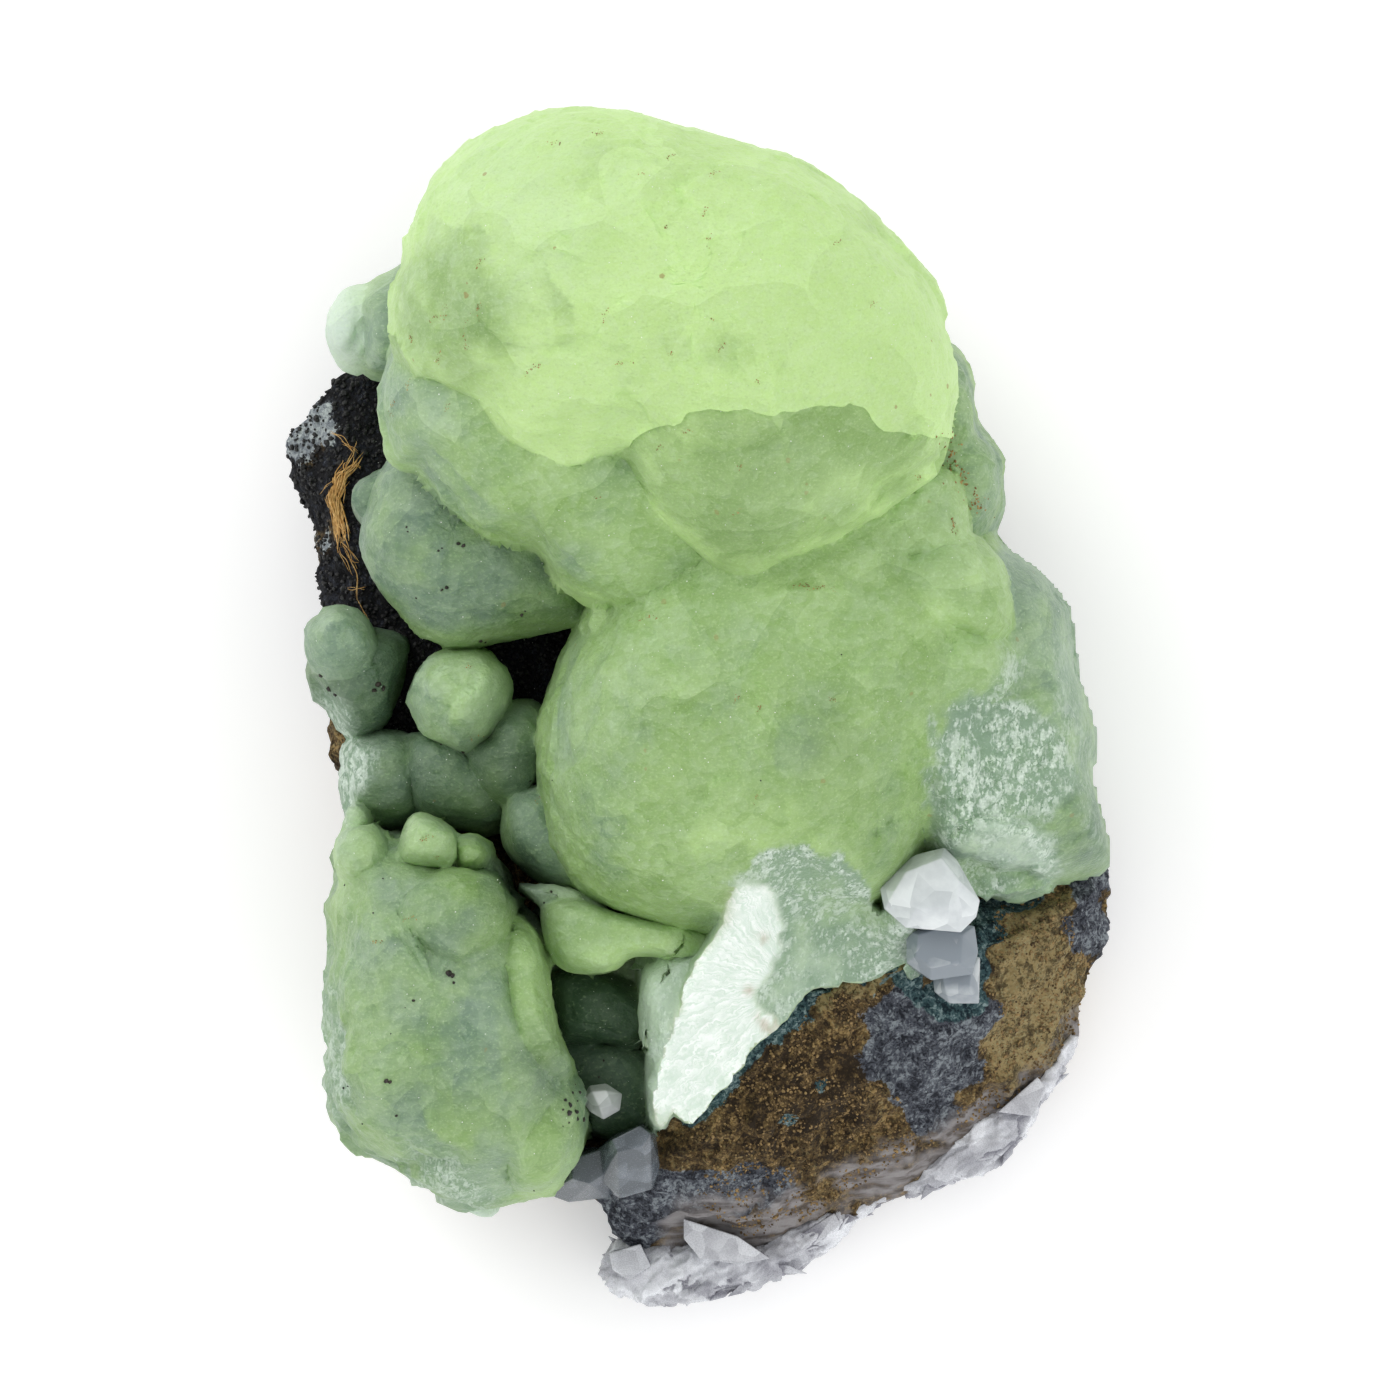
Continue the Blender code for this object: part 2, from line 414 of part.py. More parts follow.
def finish(name):
    """The node's own material."""
    colour, roughness, metallic = FINISHES[name]
    material = bpy.data.materials.new(name)
    material.use_nodes = True
    shader = material.node_tree.nodes["Principled BSDF"]
    shader.inputs["Base Color"].default_value = (*colour, 1.0)
    shader.inputs["Roughness"].default_value = roughness
    shader.inputs["Metallic"].default_value = metallic
    return material


def add_object(name, shape, collection):
    mesh = bpy.data.meshes.new(name)
    bmesh.ops.triangulate(shape, faces=shape.faces)
    shape.to_mesh(mesh)
    shape.free()
    item = bpy.data.objects.new(name, mesh)
    collection.objects.link(item)
    return item


def add_piece(name, shape, collection):
    """A shown piece with its own material."""
    item = add_object(name, shape, collection)
    item.data.materials.append(finish(name))
    return item


def add_guide(name, shape, collection):
    """A shape that another piece is joined to or cut by. It isn't shown."""
    item = add_object(name, shape, collection)
    item.hide_render = True
    item.display_type = "WIRE"
    return item


def add_boolean(item, operation, collection):
    modifier = item.modifiers.new(operation.lower(), "BOOLEAN")
    modifier.operation = operation
    modifier.solver = "EXACT"
    modifier.operand_type = "COLLECTION"
    modifier.collection = collection


def keep_outer_shell(item):
    """Applies the joins and cuts, and fills any hollow sealed between lobes by keeping the outer shell."""
    evaluated = item.evaluated_get(bpy.context.evaluated_depsgraph_get())
    mesh = bpy.data.meshes.new_from_object(evaluated)
    shape = bmesh.new()
    shape.from_mesh(mesh)
    waiting = set(shape.verts)
    shells = []
    while waiting:
        front = [waiting.pop()]
        shell = []
        while front:
            vert = front.pop()
            shell.append(vert)
            for edge in vert.link_edges:
                other = edge.other_vert(vert)
                if other in waiting:
                    waiting.discard(other)
                    front.append(other)
        shells.append(shell)
    shells.sort(key=len)
    inner = [vert for shell in shells[:-1] for vert in shell]
    bmesh.ops.delete(shape, geom=inner, context="VERTS")
    shape.to_mesh(mesh)
    shape.free()
    item.modifiers.clear()
    item.data = mesh


def group(name):
    collection = bpy.data.collections.new(name)
    bpy.context.scene.collection.children.link(collection)
    return collection


def build():
    clear_scene()
    pieces = group("pieces")
    lobes, around_prehnite, around_rock = map(group, ("lobes", "around_prehnite", "around_rock"))

    crystals = []
    for name, blocks in CRYSTALS.items():
        first, *others = blocks
        crystal = add_piece(name, crystal_form(first), pieces)
        crystals.append(crystal)
        joined = group(name + "_blocks")
        for index, block in enumerate(blocks):
            seat = add_guide(f"{name}_seat_{index}", swell(crystal_form(block), CONTACT_GAP), around_rock)
            around_prehnite.objects.link(seat)
        for index, block in enumerate(others):
            add_guide(f"{name}_block_{index}", crystal_form(block), joined)
        if others:
            add_boolean(crystal, "UNION", joined)

    edge_crust = add_piece("edge_crust", crust_form(), pieces)
    add_guide("crust_seat", swell(crust_form(), CONTACT_GAP), around_rock)

    rock = add_piece("matrix_rock", rock_form(), pieces)
    add_boolean(rock, "DIFFERENCE", around_rock)
    add_guide("rock_seat", swell(rock_form(), CONTACT_GAP), around_prehnite)
    add_guide("break_space", break_form(), around_prehnite)

    prehnite = add_piece("prehnite", dome(*LOBES["crown"]), pieces)
    for name in LOBES:
        if name != "crown":
            add_guide(name, dome(*LOBES[name]), lobes)
    add_boolean(prehnite, "UNION", lobes)
    add_boolean(prehnite, "DIFFERENCE", around_prehnite)

    for item in (*crystals, edge_crust, rock, prehnite):
        keep_outer_shell(item)
    for item in list(bpy.data.objects):
        if item.hide_render:
            bpy.data.objects.remove(item)
    for item in pieces.objects:
        item.data.shade_smooth()
        item.data.set_sharp_from_angle(angle=math.radians(SHARP_ANGLE))


build()
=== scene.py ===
import math

import bmesh
import bpy
import numpy as np
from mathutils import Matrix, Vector
from mathutils.bvhtree import BVHTree


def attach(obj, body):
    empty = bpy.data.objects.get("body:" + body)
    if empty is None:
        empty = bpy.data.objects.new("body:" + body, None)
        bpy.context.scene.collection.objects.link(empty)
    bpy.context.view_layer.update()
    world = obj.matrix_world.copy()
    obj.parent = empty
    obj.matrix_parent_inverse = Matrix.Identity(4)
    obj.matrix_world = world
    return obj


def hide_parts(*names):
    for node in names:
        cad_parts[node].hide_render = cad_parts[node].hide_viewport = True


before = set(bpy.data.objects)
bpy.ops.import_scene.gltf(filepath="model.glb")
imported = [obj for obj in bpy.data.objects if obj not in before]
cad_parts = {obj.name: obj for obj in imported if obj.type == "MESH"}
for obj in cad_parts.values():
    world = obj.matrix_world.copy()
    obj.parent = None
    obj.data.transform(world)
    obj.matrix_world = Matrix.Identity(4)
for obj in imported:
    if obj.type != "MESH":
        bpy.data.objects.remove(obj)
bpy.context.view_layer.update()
mm = 0.001
fine = 1.0
print("stage: frame loaded")


# numbers and curves

# a scrambled number from 0 to 1 for each whole-number cell: the cell's steps times large primes, folded and mixed
def cellNumber(cells, seed):
    cells = cells.astype(np.int64)
    mixed = cells[..., 0] * 73856093 ^ cells[..., 1] * 19349663 ^ cells[..., 2] * 83492791 ^ (seed * 2654435761)
    mixed = (mixed ^ (mixed >> 13)) * 1274126177
    mixed = mixed ^ (mixed >> 16)
    return (mixed & 0xFFFFFF) / float(0xFFFFFF)


# soft noise from -1 to 1: numbers on the corners of a lattice, blended by the smooth step t*t*(3-2t) each way
def softNoise(points, size, seed=0):
    scaled = points / size
    low = np.floor(scaled)
    t = scaled - low
    t = t * t * (3 - 2 * t)
    total = 0
    for dx in (0, 1):
        for dy in (0, 1):
            for dz in (0, 1):
                corner = cellNumber(low + (dx, dy, dz), seed)
                weight = (np.abs(1 - dx - t[..., 0]) * np.abs(1 - dy - t[..., 1]) * np.abs(1 - dz - t[..., 2]))
                total = total + corner * weight
    return 2 * total - 1


# layers of soft noise, each at about half the size and strength of the last
def layeredNoise(points, size, layers=4, seed=0):
    total = 0
    for layer in range(layers):
        total = total + softNoise(points, size / 2.03**layer, seed + 17 * layer) * 0.5**layer
    return total


# distances to the nearest and the next nearest of points scattered one to a cell, in cell sizes, with a number from
# 0 to 1 for the nearest
def cellDistance(points, size, seed=0):
    scaled = points / size
    low = np.floor(scaled)
    near = np.full(scaled.shape[:-1], 9.0)
    after = near.copy()
    number = np.zeros(near.shape)
    for dx in (-1, 0, 1):
        for dy in (-1, 0, 1):
            for dz in (-1, 0, 1):
                cell = low + (dx, dy, dz)
                spot = cell + np.stack([cellNumber(cell, seed + k) for k in (1, 2, 3)], axis=-1)
                away = np.linalg.norm(spot - scaled, axis=-1)
                after = np.minimum(after, np.maximum(near, away))
                number = np.where(away < near, cellNumber(cell, seed + 4), number)
                near = np.minimum(near, away)
    return near, after, number


# a skin of flat tilted facets: each point takes the number of its nearest cell and a height that rises along that
# cell's own random direction
def facets(points, size, seed=0):
    scaled = points / size
    low = np.floor(scaled)
    near = np.full(scaled.shape[:-1], 9.0)
    tilt, number = np.zeros(near.shape), np.zeros(near.shape)
    for dx in (-1, 0, 1):
        for dy in (-1, 0, 1):
            for dz in (-1, 0, 1):
                cell = low + (dx, dy, dz)
                off = scaled - cell - np.stack([cellNumber(cell, seed + k) for k in (1, 2, 3)], axis=-1)
                away = (off * off).sum(axis=-1)
                closer = away < near
                way = np.stack([cellNumber(cell, seed + k) - 0.5 for k in (5, 6, 7)], axis=-1)
                tilt = np.where(closer, (off * way).sum(axis=-1), tilt)
                number = np.where(closer, cellNumber(cell, seed + 4), number)
                near = np.minimum(near, away)
    return tilt + 0.5 * (number - 0.5), number


def smoothStep(value, low, high):
    t = np.clip((value - low) / (high - low), 0, 1)
    return t * t * (3 - 2 * t)


# the closed smooth curve through the points (each stretch a cubic set by its four nearest points), read at steps
# of equal length
def smoothLoop(points, count):
    knots = np.array(points, float)
    total = len(knots)
    dense = 24
    steps = np.arange(total * dense) / dense
    index = steps.astype(int)
    t = (steps - index)[:, None]
    before, here = knots[(index - 1) % total], knots[index % total]
    after, beyond = knots[(index + 1) % total], knots[(index + 2) % total]
    curve = 0.5 * (
        2 * here
        + (after - before) * t
        + (2 * before - 5 * here + 4 * after - beyond) * t**2
        + (3 * here - before - 3 * after + beyond) * t**3
    )
    closed = np.vstack([curve, curve[:1]])
    walked = np.concatenate([[0], np.cumsum(np.linalg.norm(np.diff(closed[:, :2], axis=0), axis=1))])
    wanted = np.arange(count) * walked[-1] / count
    return np.stack([np.interp(wanted, walked, closed[:, k]) for k in range(knots.shape[1])], axis=1)


# how far each plan point lies from a chain of points, in the chain's units
def distanceToPath(plan, path):
    path = np.array(path, float)
    best = np.full(plan.shape[:-1], 1e9)
    for start, end in zip(path[:-1], path[1:]):
        way = end - start
        t = np.clip(((plan - start) @ way) / (way @ way), 0, 1)
        best = np.minimum(best, np.linalg.norm(plan - start - t[..., None] * way, axis=-1))
    return best


# which plan points lie inside a closed outline: an odd number of its edges is crossed on the way to the right
def insideLoop(plan, loop):
    loop = np.array(loop, float)
    x, y = plan[..., 0], plan[..., 1]
    odd = np.zeros(x.shape, bool)
    for (x1, y1), (x2, y2) in zip(loop, np.roll(loop, -1, axis=0)):
        crosses = (y1 > y) != (y2 > y)
        odd ^= crosses & (x < (x2 - x1) * (y - y1) / (y2 - y1 + 1e-12) + x1)
    return odd


# a mask from 0 to 1 that is soft over the given width across a closed outline
def softInside(plan, loop, width):
    away = distanceToPath(plan, list(loop) + [loop[0]])
    signed = np.where(insideLoop(plan, loop), away, -away)
    return smoothStep(signed, -width / 2, width / 2)


# meshes

def makePiece(name, verts, faces, masks=None, materials=(), index=0):
    mesh = bpy.data.meshes.new(name)
    mesh.from_pydata(np.asarray(verts) * mm, [], faces)
    for material in materials:
        mesh.materials.append(material)
    mesh.polygons.foreach_set("material_index", np.full(len(mesh.polygons), index, np.int32))
    for mask, values in (masks or {}).items():
        layer = mesh.attributes.new(mask, "FLOAT", "POINT")
        layer.data.foreach_set("value", np.asarray(values, np.float32))
    mesh.shade_smooth()
    mesh.update()
    piece = bpy.data.objects.new(name, mesh)
    bpy.context.scene.collection.objects.link(piece)
    return piece


# faces of a closed grid of rings, bottom to top, whose last two points are the bottom and the top pole
def ringFaces(rings, sides):
    low = (np.arange(rings - 1)[:, None] * sides + np.arange(sides)).ravel()
    turn = (np.arange(rings - 1)[:, None] * sides + (np.arange(sides) + 1) % sides).ravel()
    quads = np.stack([low, turn, turn + sides, low + sides], axis=1)
    side = np.arange(sides)
    following = (side + 1) % sides
    bottom, top = rings * sides, rings * sides + 1
    last = (rings - 1) * sides
    caps = np.concatenate([
        np.stack([np.full(sides, bottom), following, side], axis=1),
        np.stack([np.full(sides, top), last + side, last + following], axis=1),
    ])
    return quads.tolist() + caps.tolist()


# outward directions on a closed grid of rings: the cross product of the step round and the step up
def ringNormals(grid):
    around = np.roll(grid, -1, axis=1) - np.roll(grid, 1, axis=1)
    up = np.gradient(grid, axis=0)
    normal = np.cross(around, up)
    return normal / np.maximum(np.linalg.norm(normal, axis=2, keepdims=True), 1e-9)


# one mesh from several closed ones, joined or cut in turn
def combined(name, first, others, operation="UNION"):
    for other in others:
        step = first.modifiers.new(operation.lower(), "BOOLEAN")
        step.operation = operation
        step.solver = "MANIFOLD"
        step.object = other
    seen = first.evaluated_get(bpy.context.evaluated_depsgraph_get())
    mesh = bpy.data.meshes.new_from_object(seen)
    mesh.name = name
    piece = bpy.data.objects.new(name, mesh)
    bpy.context.scene.collection.objects.link(piece)
    for used in [first, *others]:
        bpy.data.objects.remove(used)
    return piece


def pointsOf(piece):
    flat = np.zeros(len(piece.data.vertices) * 3, np.float32)
    piece.data.vertices.foreach_get("co", flat)
    return flat.reshape(-1, 3).astype(float) / mm


# shader parts

def addNode(tree, kind, inputs=None, **settings):
    node = tree.nodes.new(kind)
    for key, value in settings.items():
        setattr(node, key, value)
    for key, value in (inputs or {}).items():
        if isinstance(value, bpy.types.NodeSocket):
            tree.links.new(value, node.inputs[key])
        else:
            node.inputs[key].default_value = value
    return node


def mixColours(tree, share, first, second, blend="MIX"):
    node = addNode(tree, "ShaderNodeMix", data_type="RGBA", blend_type=blend)
    for socket, value in ((node.inputs[0], share), (node.inputs[6], first), (node.inputs[7], second)):
        if isinstance(value, bpy.types.NodeSocket):
            tree.links.new(value, socket)
        else:
            socket.default_value = value if isinstance(value, float) else (*value, 1.0)
    return node.outputs[2]


def calculate(tree, operation, first, second=0.0, third=0.0, clamp=False):
    node = addNode(tree, "ShaderNodeMath", {0: first, 1: second, 2: third}, operation=operation)
    node.use_clamp = clamp
    return node.outputs[0]


def maskOf(tree, name):
    return addNode(tree, "ShaderNodeAttribute", attribute_name=name).outputs["Fac"]


def ramp(tree, value, low, high, bottom=0.0, top=1.0):
    inputs = {"Value": value, "From Min": low, "From Max": high, "To Min": bottom, "To Max": top}
    node = addNode(tree, "ShaderNodeMapRange", inputs, interpolation_type="SMOOTHSTEP")
    return node.outputs[0]


def newGroup(name, takes, gives):
    tree = bpy.data.node_groups.new(name, "ShaderNodeTree")
    for label, kind, value in takes:
        socket = tree.interface.new_socket(label, in_out="INPUT", socket_type=kind)
        if value is not None:
            socket.default_value = value
    for label, kind in gives:
        tree.interface.new_socket(label, in_out="OUTPUT", socket_type=kind)
    return tree, tree.nodes.new("NodeGroupInput"), tree.nodes.new("NodeGroupOutput")


def useGroup(tree, group, inputs=None):
    node = addNode(tree, "ShaderNodeGroup", node_tree=group)
    for key, value in (inputs or {}).items():
        if isinstance(value, bpy.types.NodeSocket):
            tree.links.new(value, node.inputs[key])
        else:
            node.inputs[key].default_value = value
    return node


def newMaterial(name):
    material = bpy.data.materials.new(name)
    material.use_nodes = True
    tree = material.node_tree
    return material, tree, tree.nodes["Principled BSDF"]


number, colour, vector = "NodeSocketFloat", "NodeSocketColor", "NodeSocketVector"


# frost: cloudy patches with fine sparkling grain, as on a sugary mineral surface
def frostGroup():
    tree, takes, gives = newGroup(
        "frost", [("Place", vector, None), ("Patch Size", number, 1.0), ("Grain Size", number, 1.0)],
        [("Cloud", number), ("Grain", number), ("Facets", number)])
    scaled = addNode(tree, "ShaderNodeVectorMath", {0: takes.outputs["Place"]}, operation="SCALE")
    scaled.inputs["Scale"].default_value = 1000.0
    patches = addNode(tree, "ShaderNodeTexNoise", {"Vector": scaled.outputs[0], "Detail": 4.0})
    tree.links.new(calculate(tree, "DIVIDE", 0.28, takes.outputs["Patch Size"]), patches.inputs["Scale"])
    grain = addNode(tree, "ShaderNodeTexNoise", {"Vector": scaled.outputs[0], "Detail": 3.0})
    tree.links.new(calculate(tree, "DIVIDE", 4.5, takes.outputs["Grain Size"]), grain.inputs["Scale"])
    facets = addNode(tree, "ShaderNodeTexVoronoi", {"Vector": scaled.outputs[0]}, feature="SMOOTH_F1")
    facets.inputs["Smoothness"].default_value = 0.35
    tree.links.new(calculate(tree, "DIVIDE", 0.9, takes.outputs["Grain Size"]), facets.inputs["Scale"])
    tree.links.new(patches.outputs["Fac"], gives.inputs["Cloud"])
    tree.links.new(grain.outputs["Fac"], gives.inputs["Grain"])
    tree.links.new(facets.outputs["Distance"], gives.inputs["Facets"])
    return tree


# specks: a few dark or rusty dots of uneven size on a grid bent by noise, thinned out by each cell's own random number
def specksGroup():
    tree, takes, gives = newGroup(
        "specks", [("Place", vector, None), ("Spacing", number, 2.0), ("Share", number, 0.5)],
        [("Mask", number)])
    scaled = addNode(tree, "ShaderNodeVectorMath", {0: takes.outputs["Place"]}, operation="SCALE")
    scaled.inputs["Scale"].default_value = 1000.0
    bend = addNode(tree, "ShaderNodeTexNoise", {"Vector": scaled.outputs[0], "Scale": 2.2, "Detail": 1.0})
    bent = addNode(tree, "ShaderNodeMix", {0: 0.35}, data_type="RGBA", blend_type="ADD")
    tree.links.new(scaled.outputs[0], bent.inputs[6])
    tree.links.new(bend.outputs["Color"], bent.inputs[7])
    dots = addNode(tree, "ShaderNodeTexVoronoi", {"Vector": bent.outputs[2]})
    tree.links.new(calculate(tree, "DIVIDE", 1.0, takes.outputs["Spacing"]), dots.inputs["Scale"])
    lot = addNode(tree, "ShaderNodeSeparateColor", {0: dots.outputs["Color"]})
    wide = ramp(tree, lot.outputs[1], 0.0, 1.0, 0.05, 0.19)
    near = calculate(tree, "SUBTRACT", wide, dots.outputs["Distance"])
    dot = ramp(tree, near, 0.0, 0.05)
    chosen = calculate(tree, "LESS_THAN", lot.outputs[0], takes.outputs["Share"])
    tree.links.new(calculate(tree, "MULTIPLY", dot, chosen), gives.inputs["Mask"])
    return tree


# plates: flat tilted facets with crisp edges, each cell rising along its own random direction and mostly to the
# south east, so that they overlap like shingles, and a tone for each
def platesGroup():
    tree, takes, gives = newGroup(
        "plates", [("Place", vector, None), ("Size", number, 2.0), ("Bend", number, 0.5)],
        [("Height", number), ("Tone", number)])
    scaled = addNode(tree, "ShaderNodeVectorMath", {0: takes.outputs["Place"]}, operation="SCALE")
    tree.links.new(calculate(tree, "DIVIDE", 1000.0, takes.outputs["Size"]), scaled.inputs["Scale"])
    wobble = addNode(tree, "ShaderNodeTexNoise", {"Vector": scaled.outputs[0], "Scale": 0.9, "Detail": 1.0})
    push = addNode(tree, "ShaderNodeVectorMath", {0: wobble.outputs["Color"]}, operation="SCALE")
    tree.links.new(takes.outputs["Bend"], push.inputs["Scale"])
    bent = addNode(tree, "ShaderNodeVectorMath", {0: scaled.outputs[0], 1: push.outputs[0]}, operation="ADD")
    cells = addNode(tree, "ShaderNodeTexVoronoi", {"Vector": bent.outputs[0], "Scale": 1.0})
    off = addNode(tree, "ShaderNodeVectorMath", {0: bent.outputs[0], 1: cells.outputs["Position"]},
                  operation="SUBTRACT")
    way = addNode(tree, "ShaderNodeVectorMath", {0: cells.outputs["Color"], 1: (0.30, 0.90, 0.45)},
                  operation="SUBTRACT")
    tilt = addNode(tree, "ShaderNodeVectorMath", {0: off.outputs[0], 1: way.outputs[0]}, operation="DOT_PRODUCT")
    lot = addNode(tree, "ShaderNodeSeparateColor", {0: cells.outputs["Color"]})
    height = calculate(tree, "MULTIPLY_ADD", tilt.outputs["Value"], 1.4,
                       calculate(tree, "MULTIPLY", lot.outputs[0], 0.5))
    tree.links.new(height, gives.inputs["Height"])
    tree.links.new(lot.outputs[1], gives.inputs["Tone"])
    return tree


frost = frostGroup()
specks = specksGroup()
plates = platesGroup()


# materials

prehniteLook = dict(
    deep=(0.150, 0.245, 0.170), green=(0.245, 0.400, 0.120), yellow=(0.510, 0.735, 0.275),
    milk=(0.600, 0.720, 0.620), shade=(0.026, 0.062, 0.030), rust=(0.300, 0.190, 0.060),
    pale=(0.640, 0.820, 0.480), bruise=(0.215, 0.325, 0.220), powder=(0.760, 0.850, 0.770),
    fibre=(0.930, 0.975, 0.940), fibreDeep=(0.660, 0.780, 0.680), fanCentre=(7.7, -23.8), roughness=0.46, subsurface=0.45, depth=0.0012, bump=0.14)


def prehniteMaterial(look):
    material, tree, shader = newMaterial("waxyPrehnite")
    place = addNode(tree, "ShaderNodeTexCoord").outputs["Object"]
    clouds = useGroup(tree, frost, {"Place": place, "Patch Size": 1.8, "Grain Size": 1.0})
    small = useGroup(tree, frost, {"Place": place, "Patch Size": 0.24, "Grain Size": 2.2})
    slanted = addNode(tree, "ShaderNodeMapping", {"Vector": place, "Rotation": (0.0, 0.0, math.radians(-28)),
                                                  "Scale": (0.8, 1.25, 1.0)})
    strokes = useGroup(tree, frost, {"Place": slanted.outputs[0], "Patch Size": 0.5, "Grain Size": 1.5})
    broadest = useGroup(tree, plates, {"Place": place, "Size": 8.0, "Bend": 1.3})
    wide = useGroup(tree, plates, {"Place": place, "Size": 3.2, "Bend": 1.1})
    fish = useGroup(tree, plates, {"Place": slanted.outputs[0], "Size": 1.0, "Bend": 0.8})
    lots = calculate(tree, "ADD", ramp(tree, wide.outputs["Tone"], 0.0, 1.0, -0.03, 0.03),
                     ramp(tree, clouds.outputs["Cloud"], 0.3, 0.7, -0.13, 0.13))
    warmth = calculate(tree, "ADD", maskOf(tree, "yellow"), lots)
    lower = mixColours(tree, ramp(tree, warmth, 0.0, 0.5), look["deep"], look["green"])
    body = mixColours(tree, ramp(tree, warmth, 0.5, 1.0), lower, look["yellow"])
    haze = ramp(tree, small.outputs["Cloud"], 0.40, 0.75, -0.02, 0.07)
    haze = calculate(tree, "ADD", haze, ramp(tree, fish.outputs["Height"], -0.3, 0.9, -0.03, 0.04))
    body = mixColours(tree, calculate(tree, "ADD", maskOf(tree, "milk"), haze, clamp=True), body, look["milk"])
    body = mixColours(tree, maskOf(tree, "shade"), body, look["shade"])
    # painted light and shade on the plates: the raised side of each broad, wide and fish plate is mixed towards pale,
    # and the low side of the broadest plates towards the shade colour; unshaded keeps this painted light and the sugary
    # grain out of the painted shade
    lit = calculate(tree, "ADD", ramp(tree, broadest.outputs["Height"], -0.5, 1.1, 0.00, 0.14),
                    ramp(tree, wide.outputs["Height"], -0.5, 1.1, 0.00, 0.13))
    lit = calculate(tree, "ADD", lit, ramp(tree, fish.outputs["Height"], -0.4, 1.0, -0.03, 0.05))
    unshaded = calculate(tree, "MULTIPLY_ADD", maskOf(tree, "shade"), -0.85, 1.0)
    body = mixColours(tree, calculate(tree, "MULTIPLY", lit, unshaded, clamp=True), body, look["pale"])
    body = mixColours(tree, ramp(tree, broadest.outputs["Height"], 0.5, -0.5, 0.0, 0.08), body, look["shade"])
    sugar = calculate(tree, "MULTIPLY", ramp(tree, clouds.outputs["Grain"], 0.54, 0.72, 0.0, 0.20), unshaded)
    grit = mixColours(tree, sugar, body, look["pale"])
    grit = mixColours(tree, ramp(tree, clouds.outputs["Grain"], 0.46, 0.30, 0.0, 0.07), grit, look["shade"])
    grit = mixColours(tree, ramp(tree, strokes.outputs["Grain"], 0.56, 0.74, 0.0, 0.14), grit, look["pale"])
    grit = mixColours(tree, ramp(tree, strokes.outputs["Grain"], 0.42, 0.26, 0.0, 0.09), grit, look["shade"])
    dots = useGroup(tree, specks, {"Place": place, "Spacing": 1.5, "Share": 0.08})
    rusty = calculate(tree, "MULTIPLY", dots.outputs["Mask"], maskOf(tree, "rust"), clamp=True)
    body = mixColours(tree, calculate(tree, "MULTIPLY", rusty, 0.6), grit, look["rust"])
    leaning = addNode(tree, "ShaderNodeMapping", {"Vector": place, "Rotation": (0.0, 0.0, math.radians(-22)),
                                                  "Scale": (1.5, 0.75, 1.0)})
    chips = useGroup(tree, plates, {"Place": leaning.outputs[0], "Size": 0.62, "Bend": 0.9})
    dust = useGroup(tree, plates, {"Place": leaning.outputs[0], "Size": 0.26, "Bend": 0.7})
    drift = calculate(tree, "ADD", ramp(tree, small.outputs["Cloud"], 0.34, 0.66, -0.26, 0.20),
                      ramp(tree, clouds.outputs["Cloud"], 0.36, 0.64, -0.18, 0.18))
    drift = calculate(tree, "ADD", drift, ramp(tree, chips.outputs["Height"], -0.3, 0.9, -0.10, 0.12))
    white = ramp(tree, calculate(tree, "ADD", chips.outputs["Tone"], drift), 0.50, 1.10, 0.0, 0.50)
    powder = ramp(tree, calculate(tree, "ADD", dust.outputs["Tone"], drift), 0.56, 1.10, 0.0, 0.55)
    body = mixColours(tree, calculate(tree, "MULTIPLY", maskOf(tree, "crush"), 0.85), body, look["bruise"])
    pits = ramp(tree, calculate(tree, "SUBTRACT", dust.outputs["Tone"], drift), 0.24, 0.10, 0.0, 0.38)
    body = mixColours(tree, calculate(tree, "MULTIPLY", maskOf(tree, "crush"), pits), body, look["deep"])
    flecks = calculate(tree, "ADD", calculate(tree, "MAXIMUM", white, powder),
                       ramp(tree, calculate(tree, "MULTIPLY_ADD", drift, 0.3, clouds.outputs["Grain"]), 0.48, 0.72, 0.0, 0.26))
    whitened = calculate(tree, "MULTIPLY", maskOf(tree, "crush"), flecks, clamp=True)
    body = mixColours(tree, whitened, body, look["powder"])
    out = addNode(tree, "ShaderNodeVectorMath", {0: place, 1: (*np.array(look["fanCentre"]) * mm, 0.0)},
                  operation="SUBTRACT")
    apart = addNode(tree, "ShaderNodeSeparateXYZ", {0: out.outputs[0]})
    turn = calculate(tree, "ARCTAN2", apart.outputs[1], apart.outputs[0])
    far = calculate(tree, "POWER", calculate(tree, "ADD", calculate(tree, "POWER", apart.outputs[0], 2.0),
                                             calculate(tree, "POWER", apart.outputs[1], 2.0)), 0.5)
    turn = calculate(tree, "MULTIPLY_ADD", small.outputs["Cloud"], 0.22, turn)
    ray = addNode(tree, "ShaderNodeCombineXYZ", {0: calculate(tree, "MULTIPLY", turn, 34.0),
                                                 1: calculate(tree, "MULTIPLY", far, 420.0)})
    streaks = addNode(tree, "ShaderNodeTexNoise", {"Vector": ray.outputs[0], "Scale": 1.0, "Detail": 4.0})
    fibrous = mixColours(tree, ramp(tree, streaks.outputs["Fac"], 0.34, 0.66), look["fibreDeep"], look["fibre"])
    fibrous = mixColours(tree, ramp(tree, small.outputs["Cloud"], 0.56, 0.40, 0.0, 0.35), fibrous, look["fibreDeep"])
    fibrous = mixColours(tree, maskOf(tree, "rust"), fibrous, look["rust"])
    body = mixColours(tree, maskOf(tree, "fan"), body, fibrous)
    tree.links.new(body, shader.inputs["Base Color"])
    rough = ramp(tree, clouds.outputs["Grain"], 0.3, 0.7, look["roughness"] - 0.08, look["roughness"] + 0.12)
    tree.links.new(rough, shader.inputs["Roughness"])
    height = calculate(tree, "MULTIPLY_ADD", strokes.outputs["Grain"], 1.2, small.outputs["Grain"])
    height = calculate(tree, "MULTIPLY_ADD", maskOf(tree, "crush"), small.outputs["Grain"], height)
    bump = addNode(tree, "ShaderNodeBump", {"Height": height, "Strength": 0.8, "Distance": look["bump"] * mm})
    tree.links.new(bump.outputs[0], shader.inputs["Normal"])
    shader.subsurface_method = "BURLEY"
    shader.inputs["Subsurface Weight"].default_value = look["subsurface"]
